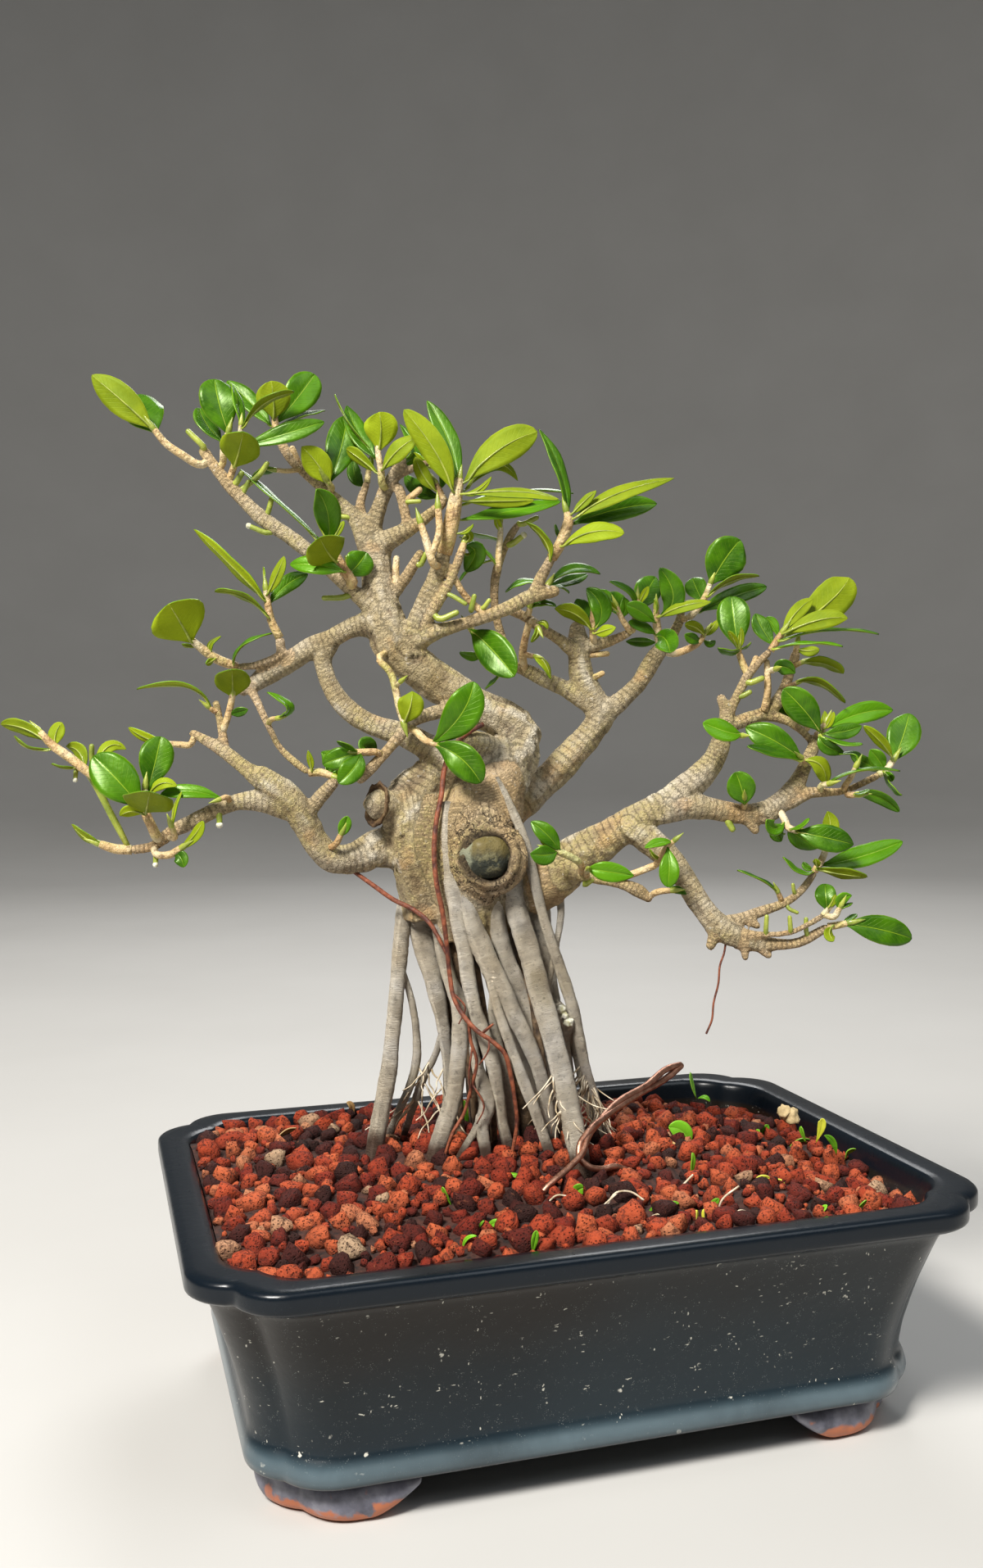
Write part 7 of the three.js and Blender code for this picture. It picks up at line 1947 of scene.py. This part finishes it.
# %% Finishes of the small things
latex = plain_finish("dried latex", (0.42, 0.4, 0.22), (0.75, 0.74, 0.66), 500, 0.4, 0.2 * MM)
rootlet = plain_finish("rootlet", (0.34, 0.25, 0.13), (0.72, 0.64, 0.5), 260, 0.6, 0.2 * MM)
cream = plain_finish("cream stone", (0.34, 0.25, 0.12), (0.55, 0.42, 0.22), 300, 0.7, 0.6 * MM)
SEEDLING_GREENS = ((0.06, 0.2, 0.008), (0.14, 0.36, 0.015), (0.3, 0.45, 0.08))
YELLOWS = ((0.4, 0.42, 0.02), (0.6, 0.6, 0.06), (0.7, 0.7, 0.2))
DRY_BROWNS = ((0.25, 0.13, 0.05), (0.42, 0.27, 0.12), (0.5, 0.36, 0.2))
green = leaf_finish("seedling leaf", *SEEDLING_GREENS, 0.35, 0.1)
yellow = leaf_finish("yellow leaf", *YELLOWS, 0.4, 0.1)
dry = leaf_finish("dry leaf", *DRY_BROWNS, 0.6, 0)

# %% [markdown]
# Where leaves were cut off, short stalks stay, and fresh ones end in a white drop of dried latex.
# A picture gives no depth, so it comes from the limb that shows nearest to the stalk's foot: then
# the stalk grows out of that limb, seen from any side.

# %% From space back to the picture
def seen(place):
    """The pixel and the distance towards the eye of a place, as spot takes them"""
    sight = Vector(place) - EYE
    depth = sight.dot(AHEAD)
    across = CENTRE_ACROSS + FOCAL * sight.dot(RIGHT) / depth
    down = CENTRE_DOWN - FOCAL * sight.dot(UPWARD) / depth
    return across, down, (TREE_DEPTH - depth) / MM


def nearest_wood(across, down, runs):
    """The row of some runs that shows nearest to a pixel, as a pixel with its depth"""
    shown = np.array([seen(row[:3]) for run in runs for row in run])
    gaps = np.hypot(shown[:, 0] - across, shown[:, 1] - down)
    return shown[gaps.argmin()]


print("the knot, there and back:", [round(value, 3) for value in seen(spot(*KNOT))])

# %% [markdown]
# A stub is its foot, its tip, its width in pixels, and 1 if it ends in a drop.

# %% Stalk stubs
STUBS = (
    (249,548,230,527,8,0),(330,650,306,643,7,1),(325,630,332,608,7,0),(297,602,303,588,6,0),
    (285,592,295,578,8,0),(430,632,407,630,7,0),(425,727,396,730,8,0),(425,700,423,680,6,0),
    (497,613,512,612,6,0),(535,755,557,748,8,0),(575,745,579,728,7,0),(553,728,568,737,6,0),
    (447,752,447,742,7,1),(622,665,637,655,8,1),(635,640,655,632,7,0),(590,742,597,733,6,0),
    (913,833,930,828,8,0),(905,850,915,845,7,0),(888,1000,894,1012,9,0),(935,1135,936,1119,6,0),
    (965,1135,964,1120,6,0),(985,1140,984,1122,6,0),(970,1090,968,1080,5,0),(962,1108,973,1114,5,0),
    (268,990,268,1004,8,1),(190,1042,190,1053,7,1),(93,940,92,950,6,1),(112,925,112,911,7,0),
    (714,1080,723,1074,7,0),(318,578,326,566,7,0),(405,655,398,668,6,1),(512,690,520,676,7,0),
)
STUB_TAPER, DROP_SWELL = 0.9, 1.15
wood_runs = list(limb_runs.values())
stub_runs, drops = [], []
for x0, y0, x1, y1, width, milky in STUBS:
    across, down, toward = nearest_wood(x0, y0, wood_runs)
    points = [(across, down, toward, width), (x0, y0, toward + 1, width)]
    points.append((x1, y1, toward + 2, STUB_TAPER * width))
    run = rounded(flowing(rows_of(points)))
    stub_runs.append(run)
    if milky:
        drops.append((Vector(run[-2, :3]), run[-4, 3] * DROP_SWELL))
stubs = keep("stalk_stubs", tubes(stub_runs, 10), "leaf", stalk)
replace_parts(stubs, "trunk")

# %% Drops of dried latex
def balls(places, swell=0.12):
    """A mesh of small uneven balls, each given by its place and radius"""
    bm = bmesh.new()
    for place, radius in places:
        for vert in bmesh.ops.create_icosphere(bm, subdivisions=3, radius=1)["verts"]:
            bulge = 1 + swell * noise.noise(vert.co * 1.7 + place * 900)
            vert.co = place + vert.co * radius * bulge
    return meshed(bm, "balls")


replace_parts(keep("latex_drops", balls(drops), "leaf", latex), "trunk")
print(len(drops), "of", len(STUBS), "stubs end in a drop")

# %% [markdown]
# Seedlings have come up between the granules, and some leaves and flakes of bark have dropped. A
# ray from the eye through a pixel finds the soil below each. A leaf here is its foot, its tip, its
# width, how far it bends, and its kind: 0 for green, 1 for yellow, 2 for dry.

# %% Seedlings, and the depth of the soil behind a pixel
SEEDLINGS = (
    (850,1338,843,1309,7,-2,0),(852,1338,866,1345,6,2,0),(842,1395,816,1376,24,4,0),
    (843,1435,845,1407,8,2,0),(922,1390,927,1379,10,0,0),(930,1386,938,1373,9,0,0),
    (963,1399,989,1391,8,-2,0),(984,1392,978,1375,6,-2,0),(1021,1407,1006,1386,8,3,0),
    (1032,1412,1045,1403,8,-2,0),(912,1415,912,1406,6,0,0),(1003,1466,1017,1459,7,-1,0),
    (998,1484,1010,1471,9,0,0),(1045,1478,1058,1465,6,0,0),(864,1477,878,1463,9,0,0),
    (791,1477,808,1472,7,2,0),(814,1472,829,1469,6,-1,0),(570,1372,567,1343,15,0,0),
    (552,1470,540,1449,6,-2,0),(594,1499,614,1492,9,-2,0),(583,1500,591,1490,4,0,0),
    (565,1524,582,1509,5,-4,0),(650,1528,655,1502,9,0,0),(620,1436,637,1439,9,-3,0),
    (694,1460,712,1450,15,2,0),(516,1398,523,1386,5,0,0),(996,1392,1002,1366,10,4,1),
    (920,1446,940,1438,8,-3,1),(938,1440,958,1446,8,2,1),(850,1492,850,1477,4,1,1),
    (860,1494,859,1476,4,-1,1),(801,1393,837,1413,17,-3,2),(335,1394,362,1377,10,-2,2),
    (430,1362,423,1346,8,3,2),(777,1476,790,1492,18,2,2),
)


def soil_depth(across, down):
    """The distance towards the eye at which a pixel meets the soil"""
    way = (spot(across, down, 0) - EYE).normalized()
    hit = soil_tree.ray_cast(EYE, way)[0]
    return seen(hit)[2] if hit else 0


depth = round(soil_depth(*SEEDLINGS[0][:2]))
print("the first seedling stands", depth, "mm nearer than the trunk")

# %% Seedlings, yellow leaves and dry flakes
KINDS = (("seedling_leaves", green), ("yellow_leaves", yellow), ("dry_flakes", dry))
SUNK, MIDDLE_OUT, TIP_OUT, MOST_TURN = 3, 1.5, 2, 60
for kind, (name, finish) in enumerate(KINDS):
    leaves = []
    for x0, y0, x1, y1, width, bend, hue in SEEDLINGS:
        if hue == kind:
            depth = soil_depth(x0, y0)
            foot = (x0, y0 + SUNK, depth)
            middle = ((x0 + x1) / 2 + bend, (y0 + y1) / 2 - abs(bend), depth + MIDDLE_OUT)
            tip = (x1, y1, depth + TIP_OUT)
            leaves.append((*foot, *middle, *tip, width, MOST_TURN * math.sin(x0)))
    keep(name, bladed(name, leaves), "leaf", finish, finish, stalk)

# %% [markdown]
# Fine roots come last: pale threads that run over the stones, and beards at the foot of the
# pillars, which wander at random. Their draw is seeded, so every run of the notebook is the same.

# %% Threads over the stones
THREADS = (
    ((824,1449),(827,1464),(838,1475),(858,1476)),((876,1479),(882,1462),(902,1446)),
    ((740,1472),(752,1454),(770,1453),(786,1463)),((795,1456),(776,1443),(765,1456)),
    ((770,1452),(771,1470)),((897,1490),(902,1476),(913,1479),(914,1494)),
    ((668,1467),(680,1457),(695,1459)),((732,1474),(745,1462),(756,1452)),
    ((829,1450),(838,1440),(846,1432)),((795,1483),(805,1480),(812,1490)),
)
THREAD_WIDTH = 2.6
thread_runs = []
for points in THREADS:
    depth = soil_depth(*points[0])
    rows = [(x, y + 2, depth + 2 * (i % 2), THREAD_WIDTH) for i, (x, y) in enumerate(points)]
    thread_runs.append(flowing(rows_of(rows), 5))
keep("pale_rootlets", tubes(thread_runs, 6), "red_root", rootlet)

# %% Beards of fine roots
BEARD, BEARD_STEPS = 84, 5
BEARD_WIDTH, BEARD_TAPER, SIDEWAYS = 2.7, 0.3, 7
LEFT_FOOT, RIGHT_FOOT, FEET_HEIGHT = (505, 545), (672, 742), (1290, 1360)
wander = random.Random(5)
pillars = list(root_runs.values())
beard = []
for count in range(BEARD):
    x = wander.uniform(*(RIGHT_FOOT if count % 4 else LEFT_FOOT))
    y = wander.uniform(*FEET_HEIGHT)
    x, y, toward = nearest_wood(x, y, pillars)
    points = [(x, y, toward, BEARD_WIDTH)]
    heading = wander.uniform(-1, 1)
    for step in range(1, BEARD_STEPS + 1):
        heading += wander.uniform(-0.6, 0.6)
        x += SIDEWAYS * heading
        y += wander.uniform(5, 13)
        out = toward + step * wander.uniform(0, 1.8)
        points.append((x, y, out, BEARD_WIDTH - BEARD_TAPER * step))
    beard.append(flowing(rows_of(points), 4))
keep("fine_rootlets", tubes(beard, 6), "red_root", rootlet)

# %% Red fibres and one long hair root
FIBRES = (
    (560,1285,575,1340),(598,1262,585,1300),(604,1238,590,1262),(566,1210,560,1250),(590,1330,582,1372),
)
FIBRE_WIDTHS, FIBRE_BEND = (3, 2.4, 1.6), 5
HAIR = (
    (886,1150),(884,1163),(879,1178),(877,1200),(871,1225),(869,1245),(862,1262),
)
toward = nearest_wood(*HAIR[0], wood_runs)[2]
fibres = [flowing(rows_of([(x, y, toward, THREAD_WIDTH) for x, y in HAIR]), 5)]
for x0, y0, x1, y1 in FIBRES:
    across, down, toward = nearest_wood(x0, y0, red_runs)
    middle = ((x0 + x1) / 2 + FIBRE_BEND, (y0 + y1) / 2, toward + 1)
    places = ((across, down, toward), middle, (x1, y1, toward))
    points = [(*place, width) for place, width in zip(places, FIBRE_WIDTHS)]
    fibres.append(flowing(rows_of(points), 5))
keep("red_fibres", tubes(fibres, 6), "red_root", red_finish)

# %% [markdown]
# Two kinds of small lumps end the work: pale nodules on a root, where it once broke, and a cream
# pebble at the back of the bed.

# %% Nodules and a pebble
NODULES = ((685, 1232, 11), (694, 1248, 13), (690, 1240, 9))
PEBBLE = ((966, 1362, 3.6), (958, 1358, 3))
lumps = []
for x, y, size in NODULES:
    toward = nearest_wood(x, y, pillars)[2]
    lumps.append((spot(x, y, toward + 4), span(size, 20) / 2))
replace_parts(keep("pale_nodules", balls(lumps, 0.5), "bark", latex), "trunk")
pebble = [(spot(x, y, soil_depth(x, y + 6)), radius * MM) for x, y, radius in PEBBLE]
keep("cream_pebble", balls(pebble, 0.5), "lava_gravel", cream)

# %% [markdown]
# ## Light and camera
# A portrait of a plant wants one strong soft light from the upper left, a weak cool one from the
# right and a weak one from behind. They are square area lamps, so shadows have soft edges. The
# camera stands where the eye stood at the start, with the same focal length.

# %% Lamps and sky
def lamp(name, place, aim, size, power, tint=(1, 1, 1)):
    """A square soft lamp that looks at a place"""
    light = bpy.data.lights.new(name, "AREA")
    light.size = size
    light.energy = power
    light.color = tint
    holder = linked(name, light)
    holder.location = place
    holder.rotation_euler = (Vector(aim) - Vector(place)).to_track_quat("-Z", "Y").to_euler()


WARM, COOL = (1, 0.97, 0.92), (0.88, 0.95, 1)
lamp("key", (-1.0, -0.95, 1.7), (0, 0, 0.2), 0.5, 89, WARM)
lamp("fill", (0.75, -1.1, 1.7), (0, 0, 0.15), 1.1, 10, COOL)
lamp("back", (0.5, 1.3, 1.5), (0, 0, 0.25), 0.8, 16)
world = bpy.data.worlds.new("soft sky")
world.use_nodes = True
sky = world.node_tree.nodes["Background"].inputs
sky["Color"].default_value = (0.86, 0.9, 0.95, 1)
sky["Strength"].default_value = 0.14
bpy.context.scene.world = world
print("lamps:", [data.name for data in bpy.data.lights])

# %% [markdown]
# The floor is a pale disc whose rim curves up into a wall, as a studio cove does, so no hard edge
# shows behind the pot. One line of edges, spun a full turn, makes it.

# %% Floor
COVE = ((0, 0), (2.2, 0), (3.2, 0.12), (4.0, 0.5), (4.6, 1.2), (4.9, 2.2), (5, 3.6))
bm = bmesh.new()
line = [bm.verts.new((radius, 0, height)) for radius, height in COVE]
edges = [bm.edges.new(pair) for pair in zip(line, line[1:])]
spin = {"cent": (0, 0, 0), "axis": (0, 0, 1), "angle": TURN, "steps": 64, "use_merge": True}
bmesh.ops.spin(bm, geom=line + edges, **spin)
bmesh.ops.remove_doubles(bm, verts=bm.verts, dist=DOUBLES)
floor = linked("floor", meshed(bm, "floor"))
floor_finish = Finish("pale floor")
haze = floor_finish.noise(floor_finish.place(), 3)
tone = floor_finish.ramp(haze, [(0.3, (0.47, 0.46, 0.44)), (0.7, (0.5, 0.49, 0.47))])
floor.data.materials.append(floor_finish.finish(tone, 0.7))

# %% Camera
FILM_HEIGHT = 36
camera_data = bpy.data.cameras.new("camera")
camera_data.sensor_fit = "VERTICAL"
camera_data.sensor_height = FILM_HEIGHT
camera_data.lens = FILM_HEIGHT * FOCAL / HIGH
camera = linked("camera", camera_data)
facing = Matrix((RIGHT, UPWARD, -AHEAD)).transposed().to_4x4()
camera.matrix_world = Matrix.Translation(EYE) @ facing
bpy.context.scene.camera = camera
bpy.context.scene.view_settings.view_transform = "Standard"
print("the lens has", round(camera_data.lens, 1), "mm")

# %% [markdown]
# ## Measure and finish
# The triangles of each dressed piece are counted, and the piece with the most is named. The
# dressed model has to keep the size of the plain one, and each piece has to stay light.

# %% Triangles
counts = {}
for piece in bpy.context.scene.objects:
    if piece.type == "MESH" and piece != floor and not piece.hide_render:
        counts[piece.name] = sum(len(face.vertices) - 2 for face in piece.data.polygons)
heaviest = max(counts, key=counts.get)
print(sum(counts.values()), "triangles, and the most are", counts[heaviest], "in", heaviest)
bpy.context.view_layer.update()
